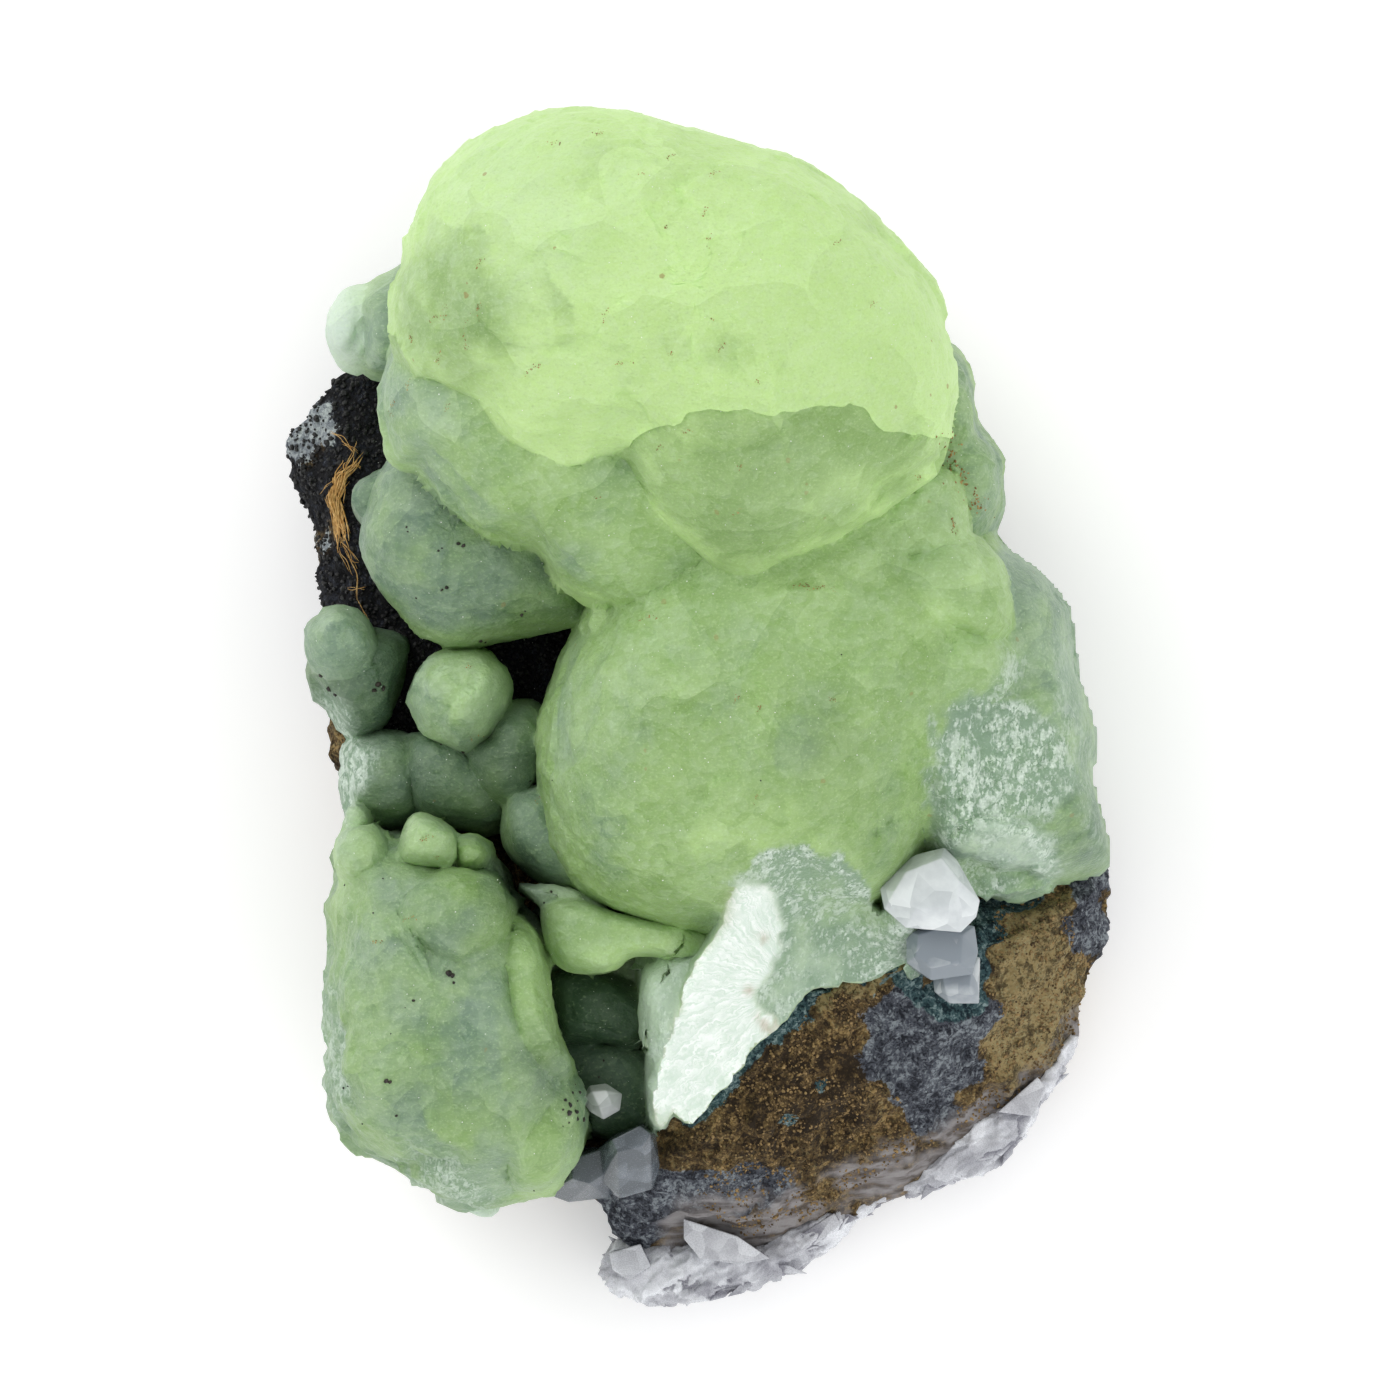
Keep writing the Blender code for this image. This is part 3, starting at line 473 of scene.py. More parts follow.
    shader.inputs["Subsurface Radius"].default_value = (0.75, 1.0, 0.55)
    shader.inputs["Subsurface Scale"].default_value = look["depth"]
    shader.inputs["Specular IOR Level"].default_value = 0.34
    return material


rockLook = dict(
    umber=(0.030, 0.019, 0.009), brown=(0.120, 0.076, 0.030), ochre=(0.400, 0.270, 0.105), olive=(0.150, 0.130, 0.060),
    straw=(0.400, 0.360, 0.190),
    slate=(0.018, 0.021, 0.030), grey=(0.095, 0.105, 0.130), pale=(0.330, 0.370, 0.400), coal=(0.006, 0.006, 0.007),
    tealDeep=(0.008, 0.026, 0.036), teal=(0.060, 0.125, 0.135), tealPale=(0.330, 0.440, 0.440),
    veil=(0.420, 0.400, 0.405), veilDeep=(0.190, 0.168, 0.160), quartz=(0.620, 0.680, 0.670), roughness=0.88)


# the rock's colour comes in grains: every grain of about half a millimetre, and every crumb in it, has a lot of its
# own that is looked up between the dark, middle and light tone of its ground
def rockMaterial(look):
    material, tree, shader = newMaterial("hostRock")
    place = addNode(tree, "ShaderNodeTexCoord").outputs["Object"]
    broad = useGroup(tree, frost, {"Place": place, "Patch Size": 1.0, "Grain Size": 1.1})
    coarse = useGroup(tree, frost, {"Place": place, "Patch Size": 0.30, "Grain Size": 0.42})
    grains = useGroup(tree, plates, {"Place": place, "Size": 0.36, "Bend": 1.1})
    crumbs = useGroup(tree, plates, {"Place": place, "Size": 0.17, "Bend": 0.9})
    lot = calculate(tree, "MULTIPLY_ADD", grains.outputs["Tone"], 0.5,
                    calculate(tree, "MULTIPLY", crumbs.outputs["Tone"], 0.5))
    lot = calculate(tree, "MULTIPLY_ADD", ramp(tree, coarse.outputs["Cloud"], 0.32, 0.68, -1.0, 1.0), 0.22, lot)

    def tones(shift, dark, middle, light):
        value = calculate(tree, "ADD", lot, shift)
        lower = mixColours(tree, ramp(tree, value, 0.05, 0.55), dark, middle)
        return mixColours(tree, ramp(tree, value, 0.48, 1.05), lower, light)

    def grainy(name):
        edge = calculate(tree, "MULTIPLY_ADD", calculate(tree, "SUBTRACT", lot, 0.5), 0.55, maskOf(tree, name))
        return ramp(tree, edge, 0.38, 0.60)

    warmer = calculate(tree, "MULTIPLY_ADD", maskOf(tree, "ochre"), 0.38,
                       ramp(tree, broad.outputs["Cloud"], 0.34, 0.66, -0.16, 0.14))
    earth = tones(warmer, look["umber"], look["brown"], look["ochre"])
    greener = calculate(tree, "ADD", ramp(tree, broad.outputs["Grain"], 0.50, 0.66, 0.0, 0.55),
                        calculate(tree, "MULTIPLY", maskOf(tree, "ochre"), 0.35), clamp=True)
    earth = mixColours(tree, greener, earth,
                       tones(warmer, look["umber"], look["olive"], look["straw"]))
    stone = tones(ramp(tree, broad.outputs["Cloud"], 0.36, 0.64, -0.14, 0.12), look["slate"], look["grey"], look["pale"])
    body = mixColours(tree, grainy("grey"), earth, stone)
    streaks = addNode(tree, "ShaderNodeTexNoise", {"Scale": 1.0, "Detail": 4.0})
    along = addNode(tree, "ShaderNodeMapping", {"Vector": place, "Rotation": (0.0, 0.0, math.radians(-30)),
                                                "Scale": (160.0, 1300.0, 900.0)})
    tree.links.new(along.outputs[0], streaks.inputs["Vector"])
    silky = mixColours(tree, ramp(tree, streaks.outputs["Fac"], 0.36, 0.60), look["veilDeep"], look["veil"])
    veil = calculate(tree, "MULTIPLY", maskOf(tree, "veil"), ramp(tree, streaks.outputs["Fac"], 0.25, 0.50, 0.45, 0.96))
    body = mixColours(tree, veil, body, silky)
    body = mixColours(tree, grainy("teal"), body, tones(-0.06, look["tealDeep"], look["teal"], look["tealPale"]))
    body = mixColours(tree, maskOf(tree, "black"), body, tones(-0.30, look["coal"], look["slate"], look["grey"]))
    body = mixColours(tree, grainy("milk"), body, tones(0.1, look["grey"], look["pale"], look["quartz"]))
    tree.links.new(body, shader.inputs["Base Color"])
    shader.inputs["Roughness"].default_value = look["roughness"]
    shader.inputs["Specular IOR Level"].default_value = 0.3
    height = calculate(tree, "ADD", calculate(tree, "MULTIPLY", grains.outputs["Height"], 0.6),
                       calculate(tree, "MULTIPLY", coarse.outputs["Grain"], 1.0))
    bump = addNode(tree, "ShaderNodeBump", {"Height": height, "Strength": 1.0, "Distance": 0.30 * mm})
    tree.links.new(bump.outputs[0], shader.inputs["Normal"])
    return material


# clear and milky crystal: plain transmission with a little cloud in its colour and skin
def crystalMaterial(name, tint, transmission, roughness, milky):
    material, tree, shader = newMaterial(name)
    place = addNode(tree, "ShaderNodeTexCoord").outputs["Object"]
    clouds = useGroup(tree, frost, {"Place": place, "Patch Size": 0.25, "Grain Size": 0.5})
    cracks = useGroup(tree, plates, {"Place": place, "Size": 2.2, "Bend": 0.12})
    cloudy = calculate(tree, "ADD", maskOf(tree, "milk"), ramp(tree, clouds.outputs["Cloud"], 0.35, 0.65, -0.05, 0.05))
    cloudy = calculate(tree, "ADD", cloudy, ramp(tree, cracks.outputs["Height"], -0.4, 1.0, -0.24, 0.16), clamp=True)
    body = mixColours(tree, cloudy, tint, milky)
    tree.links.new(body, shader.inputs["Base Color"])
    tree.links.new(ramp(tree, clouds.outputs["Grain"], 0.3, 0.7, roughness * 0.6, roughness * 1.5), shader.inputs["Roughness"])
    bump = addNode(tree, "ShaderNodeBump", {"Height": clouds.outputs["Grain"], "Strength": 0.3, "Distance": 0.06 * mm})
    tree.links.new(bump.outputs[0], shader.inputs["Normal"])
    shader.inputs["Transmission Weight"].default_value = transmission
    shader.inputs["IOR"].default_value = 1.5
    shader.subsurface_method = "BURLEY"
    shader.inputs["Subsurface Weight"].default_value = 0.3
    shader.inputs["Subsurface Radius"].default_value = (1.0, 1.0, 1.0)
    shader.inputs["Subsurface Scale"].default_value = 0.0012
    return material


waxyPrehnite = prehniteMaterial(prehniteLook)
hostRock = rockMaterial(rockLook)
crustSkins = (waxyPrehnite,)
crustMasks = ("yellow", "milk", "shade", "rust", "crush", "fan")
print("stage: materials made")


# the prehnite crust
# each lobe: its outline from above (mm), heights of crest, widest level and underside, climb towards +X and +Y,
# fullness (small is boxy), where its crest stands, then its tone: yellow from 0 (blue-green) to 1, milk and shade

lobes = {
    "crown": dict(
        outline=[(-26.2, 31.4), (-26.1, 34.4), (-25.1, 37.1), (-24.7, 39.7), (-23.6, 42.5),
        (-22.1, 44.6), (-20.4, 46.5), (-17.9, 48.3), (-15.3, 49.5), (-12.3, 50.3),
        (-10.2, 50.4), (-7.7, 50.1), (-4.7, 49.7), (-1.7, 48.8), (3.4, 47.4), (8.5, 45.9),
        (11.1, 44.4), (13.6, 42.5), (16.2, 39.5), (18.3, 37.4), (20.0, 35.1), (20.9, 31.8),
        (21.5, 28.9), (21.5, 26.1), (21.1, 23.3), (20.4, 20.6), (18.4, 18.7), (16.3, 17.2),
        (14.6, 15.6), (11.4, 13.2), (8.0, 11.7), (5.8, 10.5), (3.8, 9.9), (1.9, 10.5),
        (-0.2, 12.1), (-2.7, 14.3), (-4.7, 16.7), (-6.0, 18.1), (-7.3, 19.3), (-9.4, 19.3),
        (-11.5, 18.7), (-14.3, 19.8), (-17.0, 20.5), (-18.9, 22.3), (-20.2, 24.4),
        (-22.1, 25.7), (-24.2, 27.1), (-25.8, 28.9)],
        heights=(58.0, 41.0, 8.0), full=0.85, crest=(-0.9, 35.2), yellow=0.56, milk=0.0, shade=0.04, glow=0.24),
    "shoulder": dict(
        outline=[(-26.9, 26.7), (-26.5, 22.5), (-26.0, 20.5), (-23.8, 19.8), (-22.8, 18.6),
        (-21.5, 16.9), (-19.7, 15.6), (-18.1, 14.2), (-16.0, 13.8), (-14.0, 13.2),
        (-13.0, 12.1), (-12.2, 10.5), (-10.9, 9.3), (-9.2, 8.4), (-6.8, 7.9), (-4.2, 7.9),
        (-1.5, 8.6), (1.0, 9.4), (3.0, 10.6), (3.4, 14.0), (1.7, 19.1), (-1.7, 24.2),
        (-6.8, 28.4), (-13.6, 32.7), (-19.6, 35.2), (-24.2, 34.4), (-26.1, 30.6)],
        heights=(48.0, 38.0, 9.0), full=0.80, crest=(-13.6, 24.2), yellow=0.36, milk=0.03, shade=0.0, glow=0.30),
    "westDome": dict(
        outline=[(-27.2, 19.3), (-28.1, 17.4), (-28.7, 14.8), (-28.5, 12.3), (-27.2, 9.7),
        (-25.8, 7.9), (-24.2, 6.3), (-22.1, 5.1), (-20.2, 4.6), (-17.0, 5.2), (-13.6, 5.8),
        (-11.5, 6.3), (-9.4, 7.4), (-9.4, 11.4), (-11.9, 15.7), (-17.0, 19.9), (-22.1, 22.5),
        (-25.5, 21.6)],
        heights=(36.0, 26.0, 9.0), full=0.75, crest=(-20.8, 14.4), yellow=0.10, milk=0.02, shade=0.26, glow=0.40),
    "westBack": dict(
        outline=[(-29.8, 17.0), (-29.5, 18.4), (-28.4, 19.4), (-26.8, 19.7), (-25.5, 17.4),
        (-26.2, 13.6), (-28.9, 15.3)],
        heights=(29.0, 22.0, 12.0), full=0.65, crest=(-27.9, 17.4), yellow=0.02, milk=0.02, shade=0.39, glow=0.05),
    "budWest": dict(
        outline=[(-33.6, 5.5), (-33.3, 7.0), (-32.1, 8.1), (-30.3, 8.5), (-28.7, 7.9), (-27.6, 6.5),
        (-27.1, 4.8), (-27.9, 3.4), (-29.6, 2.3), (-31.5, 2.3), (-33.0, 3.4)],
        heights=(29.5, 24.0, 17.0), full=0.75, crest=(-30.4, 5.7), yellow=0.10, milk=0.12, shade=0.13, glow=0.10,
        radial=(-30.2, 4.2)),
    "budWestFoot": dict(
        outline=[(-33.1, 2.1), (-32.3, 4.6), (-28.9, 6.3), (-25.9, 6.2), (-24.6, 5.1), (-25.0, 2.9),
        (-25.7, 0.4), (-26.5, -1.5), (-28.4, -2.8), (-30.2, -2.6), (-31.9, -0.5)],
        heights=(25.5, 17.0, 9.0), full=0.65, crest=(-28.7, 3.1), yellow=0.10, milk=0.0, shade=0.62, glow=0.15),
    "budMid": dict(
        outline=[(-24.7, 0.4), (-24.5, 1.9), (-23.5, 3.5), (-22.0, 4.5), (-20.0, 4.8), (-17.9, 4.5),
        (-16.9, 3.4), (-16.3, 1.6), (-16.6, -0.0), (-17.5, -1.9), (-18.9, -3.4),
        (-20.0, -3.9), (-21.6, -3.2), (-23.0, -2.6), (-24.1, -1.5)],
        heights=(32.0, 25.0, 14.0), full=0.75, crest=(-20.4, 1.4), yellow=0.26, milk=0.10, shade=0.0, glow=0.10,
        radial=(-20.7, -0.1)),
    "budEast": dict(
        outline=[(-20.0, -4.9), (-19.6, -3.4), (-17.9, -2.6), (-17.0, -0.6), (-15.3, 0.4),
        (-13.6, -0.1), (-12.9, -3.0), (-13.2, -6.0), (-14.3, -7.9), (-16.0, -8.9),
        (-17.4, -8.5), (-18.9, -7.3)],
        heights=(29.0, 20.0, 12.0), full=0.70, crest=(-16.2, -4.3), yellow=0.22, milk=0.0, shade=0.48, glow=0.30,
        radial=(-16.2, -3.4)),
    "valleyWest": dict(
        outline=[(-30.3, -3.4), (-28.9, -2.6), (-26.8, -2.0), (-24.7, -2.6), (-23.4, -4.7),
        (-23.3, -8.1), (-24.3, -10.2), (-26.8, -10.7), (-29.4, -10.2), (-30.4, -7.7)],
        heights=(24.0, 15.0, 8.0), full=0.55, crest=(-26.8, -6.0), yellow=0.08, milk=0.05, shade=0.32, glow=0.05),
    "valleyMid": dict(
        outline=[(-25.1, -3.2), (-23.0, -2.6), (-20.4, -3.4), (-18.5, -5.6), (-16.8, -8.1),
        (-16.3, -10.2), (-17.9, -11.0), (-20.0, -10.7), (-23.0, -10.2), (-24.8, -8.5)],
        heights=(26.5, 18.0, 10.0), full=0.65, crest=(-21.1, -6.0), yellow=0.06, milk=0.0, shade=0.44, glow=0.30),
    "cornerBud": dict(
        outline=[(-31.5, 30.6), (-31.3, 32.9), (-30.4, 34.9), (-28.9, 35.6), (-27.4, 35.2),
        (-26.5, 32.9), (-27.2, 30.0), (-28.2, 28.2), (-30.2, 28.6)],
        heights=(31.0, 25.0, 15.0), full=0.7, crest=(-29.2, 32.3), yellow=0.55, milk=0.75, shade=0.0, glow=0.05),
    "cornerStem": dict(
        outline=[(-28.9, 34.4), (-27.9, 35.7), (-26.2, 36.8), (-23.8, 37.6), (-23.0, 32.7),
        (-23.8, 28.4), (-26.9, 27.8), (-28.6, 28.4), (-29.2, 31.0)],
        heights=(34.0, 24.0, 12.0), full=0.6, crest=(-25.7, 32.3), yellow=0.26, milk=0.06, shade=0.04, glow=0.05),
    "heart": dict(
        outline=[(-10.9, 6.2), (-11.9, 4.2), (-12.9, 1.2), (-13.5, -1.3), (-13.8, -6.0),
        (-13.3, -9.0), (-12.5, -11.5), (-11.6, -13.6), (-10.4, -15.6), (-8.3, -17.1),
        (-4.2, -18.7), (0.0, -19.7), (5.1, -20.0), (10.2, -18.7), (14.5, -17.0),
        (17.4, -14.9), (19.1, -12.4), (20.8, -9.0), (22.5, -5.6), (24.2, -2.2), (25.9, 0.4),
        (27.0, 3.4), (27.0, 5.9), (26.4, 8.9), (25.3, 11.6), (24.0, 13.6), (22.6, 15.0),
        (22.1, 17.4), (21.2, 20.4), (18.7, 23.3), (12.8, 25.0), (6.0, 23.3), (0.0, 19.9),
        (-5.1, 14.8), (-8.5, 10.6)],
        heights=(46.0, 26.0, 10.0), full=0.82, crest=(3.4, 2.1), yellow=0.47, milk=0.02, shade=0.06, glow=0.14,
        glowWay=(-0.3, -1.0)),
    "heartFoot": dict(
        outline=[(-16.7, -9.8), (-16.0, -7.7), (-13.6, -6.8), (-11.9, -10.7), (-10.9, -13.6),
        (-9.8, -15.9), (-11.7, -15.8), (-14.3, -14.6), (-16.2, -12.5)],
        heights=(30.0, 22.0, 10.0), full=0.6, crest=(-13.6, -11.1), yellow=0.20, milk=0.0, shade=0.26, glow=0.05),
    "fanLobe": dict(
        outline=[(0.2, -20.2), (0.7, -17.0), (1.9, -15.3), (3.7, -13.9), (6.0, -13.0), (8.5, -12.2),
        (11.9, -13.0), (15.3, -14.2), (17.9, -13.9), (20.4, -14.2), (21.7, -15.8),
        (22.1, -19.2), (21.6, -23.2), (20.0, -23.8), (18.3, -23.4), (17.4, -22.7),
        (17.4, -21.9), (13.8, -23.8), (9.4, -24.1), (8.5, -25.4), (7.7, -26.2), (6.8, -27.9),
        (5.1, -28.8), (3.4, -30.5), (1.7, -32.6), (0.0, -34.3), (-1.4, -35.5), (-2.7, -33.4),
        (-3.3, -31.5), (-2.8, -29.4), (-2.5, -26.8), (-2.0, -24.7), (-0.9, -22.4)],
        heights=(42.0, 21.0, 12.0), full=0.22, plates=0.3, crest=(10.2, -19.2), yellow=0.36, milk=0.45, shade=0.0, glow=0.0,
        ragged=0.35),
    "eastCrest": dict(
        outline=[(17.0, 18.9), (20.0, 20.0), (21.8, 19.1), (22.8, 15.3), (21.7, 12.3), (17.0, 11.0),
        (12.8, 11.9), (11.6, 13.3), (13.4, 15.9), (15.3, 17.6)],
        heights=(40.4, 34.0, 12.0), full=0.55, crest=(17.4, 15.7), yellow=0.54, milk=0.08, shade=0.0, glow=0.0),
    "eastDome": dict(
        outline=[(17.4, 13.4), (20.2, 14.4), (22.6, 14.8), (24.3, 13.6), (25.7, 11.7), (26.7, 8.9),
        (27.0, 6.5), (25.7, 5.4), (22.3, 6.0), (19.6, 5.2), (17.9, 6.1), (17.3, 7.9),
        (15.8, 9.2), (14.1, 10.6), (15.3, 12.3)],
        heights=(40.6, 32.0, 12.0), full=0.55, crest=(20.0, 9.7), yellow=0.54, milk=0.08, shade=0.0, glow=0.10),
    "eastLow": dict(
        outline=[(19.1, 5.5), (22.1, 6.8), (25.5, 6.2), (27.5, 4.5), (27.4, 1.7), (25.7, -0.3),
        (22.5, -1.5), (19.6, -0.6), (17.4, 2.1)],
        heights=(39.5, 30.0, 12.0), full=0.60, crest=(20.8, 3.1), yellow=0.50, milk=0.08, shade=0.0, glow=0.0),
    "wallTop": dict(
        outline=[(20.7, 30.6), (21.8, 30.1), (22.4, 29.3), (23.0, 27.2), (23.2, 24.2), (24.2, 22.7),
        (25.2, 21.1), (25.6, 18.7), (25.6, 16.4), (24.2, 13.6), (21.2, 12.3), (17.0, 15.7),
        (16.2, 22.5), (18.3, 27.6)],
        heights=(37.0, 22.0, 8.0), climb=(-0.25, 0.0), full=0.5, crest=(21.7, 20.8), yellow=0.24, milk=0.08,
        shade=0.04, glow=0.0),
    "wall": dict(
        outline=[(23.4, 15.7), (24.8, 15.3), (25.8, 14.0), (27.4, 12.6), (29.2, 11.4), (30.8, 9.6),
        (31.8, 7.9), (32.3, 4.6), (32.6, 2.1), (33.2, 0.4), (34.1, -3.4), (33.7, -6.0),
        (34.1, -8.1), (34.8, -10.7), (35.2, -12.9), (34.7, -14.4), (30.8, -15.6),
        (25.5, -16.6), (20.4, -14.9), (17.4, -9.8), (17.4, 0.4), (19.6, 8.9), (22.1, 14.0)],
        heights=(35.5, 16.0, 7.0), climb=(-0.35, 0.0), full=0.42, crest=(25.5, 0.4), yellow=0.16, milk=0.12,
        shade=0.06, slabs=0.7, glow=0.0, spare=4.0),
    "tongue": dict(
        outline=[(-13.5, -17.3), (-12.8, -16.5), (-10.2, -16.4), (-8.3, -17.3), (-4.2, -18.3),
        (0.2, -19.2), (0.3, -21.3), (-4.2, -21.5), (-5.8, -21.5), (-7.2, -22.6),
        (-9.4, -23.0), (-11.2, -22.7), (-12.6, -21.5), (-13.3, -19.8)],
        heights=(32.0, 28.0, 19.0), climb=(0.05, 0.0), full=0.5, crest=(-7.2, -19.6), yellow=0.60, milk=0.10,
        shade=0.0, glow=0.15),
    "tongueRim": dict(
        outline=[(-15.6, -15.3), (-13.2, -15.3), (-10.2, -16.0), (-7.2, -17.6), (-8.5, -18.7),
        (-11.9, -17.9), (-14.0, -16.8)],
        heights=(29.5, 27.0, 19.0), full=0.5, crest=(-11.9, -16.6), yellow=0.40, milk=0.45, shade=0.05, glow=0.0),
    "greenSlab": dict(
        outline=[(-4.8, -21.7), (-2.6, -20.0), (0.4, -19.2), (1.5, -20.9), (0.4, -25.1),
        (-1.0, -30.2), (-1.7, -33.2), (-2.7, -35.7), (-3.7, -36.8), (-4.5, -35.1),
        (-4.8, -29.4), (-5.1, -25.1)],
        heights=(30.5, 20.0, 9.0), climb=(0.0, 0.35), full=0.45, crest=(-2.4, -28.5), yellow=0.42, milk=0.85,
        shade=0.0, glow=0.0),
    "cavityDome": dict(
        outline=[(-13.4, -23.2), (-11.1, -22.2), (-8.1, -22.6), (-5.5, -23.8), (-3.8, -25.4),
        (-3.8, -27.8), (-5.3, -29.7), (-7.7, -29.1), (-10.6, -29.1), (-12.6, -28.3)],
        heights=(24.5, 17.0, 9.0), full=0.65, crest=(-8.7, -25.8), yellow=0.12, milk=0.0, shade=0.97, glow=0.0),
    "cavityFloor": dict(
        outline=[(-12.9, -28.5), (-8.5, -27.7), (-4.2, -28.7), (-3.2, -31.9), (-3.1, -35.7),
        (-4.7, -37.0), (-8.5, -37.0), (-11.1, -34.9), (-12.3, -31.7)],
        heights=(21.6, 15.0, 9.0), full=0.55, crest=(-8.1, -32.3), yellow=0.02, milk=0.06, shade=0.7, glow=0.0),
    "block": dict(
        outline=[(-31.1, -12.4), (-30.8, -14.5), (-31.5, -17.0), (-31.2, -19.2), (-31.1, -21.7),
        (-31.5, -23.8), (-31.6, -28.5), (-31.3, -34.5), (-30.5, -36.3), (-28.9, -38.3),
        (-25.5, -40.0), (-23.8, -40.8), (-21.7, -41.9), (-19.6, -42.4), (-17.0, -42.4),
        (-14.5, -41.7), (-12.8, -41.1), (-10.2, -37.9), (-10.0, -34.5), (-11.1, -31.2),
        (-11.9, -28.9), (-12.8, -25.1), (-13.6, -20.9), (-14.5, -18.8), (-16.0, -16.6),
        (-17.2, -14.2), (-19.6, -12.8), (-23.0, -11.9), (-26.4, -11.3), (-29.3, -10.8)],
        heights=(37.0, 20.0, 7.0), full=0.52, plates=1.6, crest=(-22.5, -23.8), yellow=0.24, milk=0.09, shade=0.15, slabs=1.3, glow=0.08),
    "blockLobe": dict(
        outline=[(-24.5, -19.3), (-25.2, -17.1), (-24.0, -14.9), (-21.2, -13.9), (-18.2, -13.8),
        (-16.5, -14.9), (-15.6, -16.8), (-15.9, -18.9), (-17.0, -20.6), (-18.3, -21.9),
        (-20.0, -22.7), (-22.1, -22.2), (-23.5, -21.0)],
        heights=(39.2, 33.0, 14.0), full=0.85, crest=(-21.2, -17.9), yellow=0.24, milk=0.04, shade=0.12, slabs=0.8, glow=0.32,
        glowWay=(1.0, -0.5)),
    "blockBud": dict(
        outline=[(-31.0, -12.5), (-30.6, -11.2), (-29.3, -10.3), (-27.5, -10.2), (-26.3, -11.3),
        (-25.8, -13.4), (-27.0, -15.1), (-29.2, -15.6), (-30.6, -14.4)],
        heights=(35.0, 27.0, 14.0), full=0.6, crest=(-28.6, -12.5), yellow=0.32, milk=0.16, shade=0.0, glow=0.05),
    "blockBudSmall": dict(
        outline=[(-30.0, -9.1), (-29.2, -8.3), (-28.2, -9.1), (-27.9, -10.2), (-28.7, -11.0),
        (-29.9, -10.5)],
        heights=(31.0, 27.0, 16.0), full=0.6, crest=(-29.0, -9.6), yellow=0.38, milk=0.30, shade=0.0, glow=0.05),
    "blockCrest": dict(
        outline=[(-25.8, -12.4), (-25.1, -10.2), (-24.0, -9.1), (-22.1, -9.8), (-20.5, -11.1),
        (-20.1, -13.0), (-21.1, -14.2), (-23.6, -14.2), (-25.5, -13.6)],
        heights=(37.0, 29.0, 14.0), full=0.58, crest=(-23.0, -11.5), yellow=0.44, milk=0.16, shade=0.0, glow=0.05,
        rust=1.0),
    "blockCrestEast": dict(
        outline=[(-21.2, -11.7), (-19.6, -11.0), (-18.1, -11.8), (-17.7, -12.9), (-18.7, -14.0),
        (-20.6, -14.2)],
        heights=(34.5, 28.0, 14.0), full=0.6, crest=(-19.5, -12.6), yellow=0.44, milk=0.03, shade=0.04, glow=0.05),
    "blockBack": dict(
        outline=[(-16.0, -17.6), (-14.4, -18.7), (-13.4, -20.9), (-12.6, -25.1), (-11.7, -28.9),
        (-10.8, -31.2), (-11.9, -32.9), (-14.5, -32.3), (-16.0, -28.9), (-17.0, -24.3),
        (-17.3, -20.4)],
        heights=(36.0, 25.0, 10.0), full=0.60, crest=(-14.6, -25.1), yellow=0.46, milk=0.03, shade=0.08, slabs=0.8, glow=0.25,
        glowWay=(1.0, 0.0)),
    "blockLow": dict(
        outline=[(-16.7, -33.6), (-14.8, -31.7), (-11.9, -30.4), (-9.9, -32.6), (-9.4, -35.3),
        (-10.0, -38.0), (-12.6, -41.2), (-14.5, -41.9), (-16.2, -41.3), (-17.0, -37.9)],
        heights=(33.0, 22.0, 8.0), full=0.60, crest=(-13.6, -35.7), yellow=0.34, milk=0.02, shade=0.08, slabs=1, glow=0.12),
    "blockChip": dict(
        outline=[(-21.5, -41.9), (-19.6, -41.3), (-17.1, -41.3), (-16.7, -42.8), (-17.8, -43.6),
        (-19.9, -43.1)],
        heights=(17.0, 12.0, 8.0), full=0.5, crest=(-19.0, -42.5), yellow=0.30, milk=0.90, shade=0.0, glow=0.0),
    "bed": dict(
        outline=[(18.5, 29.0), (5.0, 42.0), (-14.0, 41.5), (-22.0, 31.0), (-20.0, 22.0), (-9.0, 12.0), (-8.0, 0.0),
                 (-10.0, -10.0), (-9.0, -16.0), (-12.0, -23.0), (-20.0, -24.0), (-22.0, -35.0), (-12.0, -37.0),
                 (-4.0, -35.0), (4.0, -28.0), (8.0, -22.0), (20.0, -17.0), (30.4, -13.8), (30.6, -3.0), (28.0, 9.0),
                 (21.6, 18.0)],
        heights=(21.0, 15.0, 7.0), full=0.6, crest=(0.0, 0.0), yellow=0.2, milk=0.1, shade=0.5, glow=0.0),
}
# the outer skin of the crown, broken off along a ragged edge, and how far it stands above the dome below
crownSkin = dict(
    rise=0.26, yellow=1.0, milk=0.03,
    edge=[(24.0, 22.0), (20.5, 22.5), (17.4, 22.5), (15.3, 22.8), (15.1, 23.8), (14.0, 24.9), (12.8, 25.1),
          (8.5, 24.8), (3.4, 24.3), (1.7, 24.6), (-0.9, 24.2), (-1.7, 23.5), (-3.4, 23.0), (-5.1, 22.5),
          (-6.1, 21.6), (-7.2, 21.0), (-9.4, 20.8), (-10.2, 20.4), (-11.6, 19.8), (-13.6, 20.8), (-17.0, 21.7),
          (-18.0, 23.2), (-19.1, 25.0), (-20.4, 26.1), (-22.1, 27.2), (-23.8, 28.3), (-25.9, 31.0), (-28.0, 32.6)],
    around=[(-30.0, 54.0), (26.0, 54.0), (26.0, 30.0)])


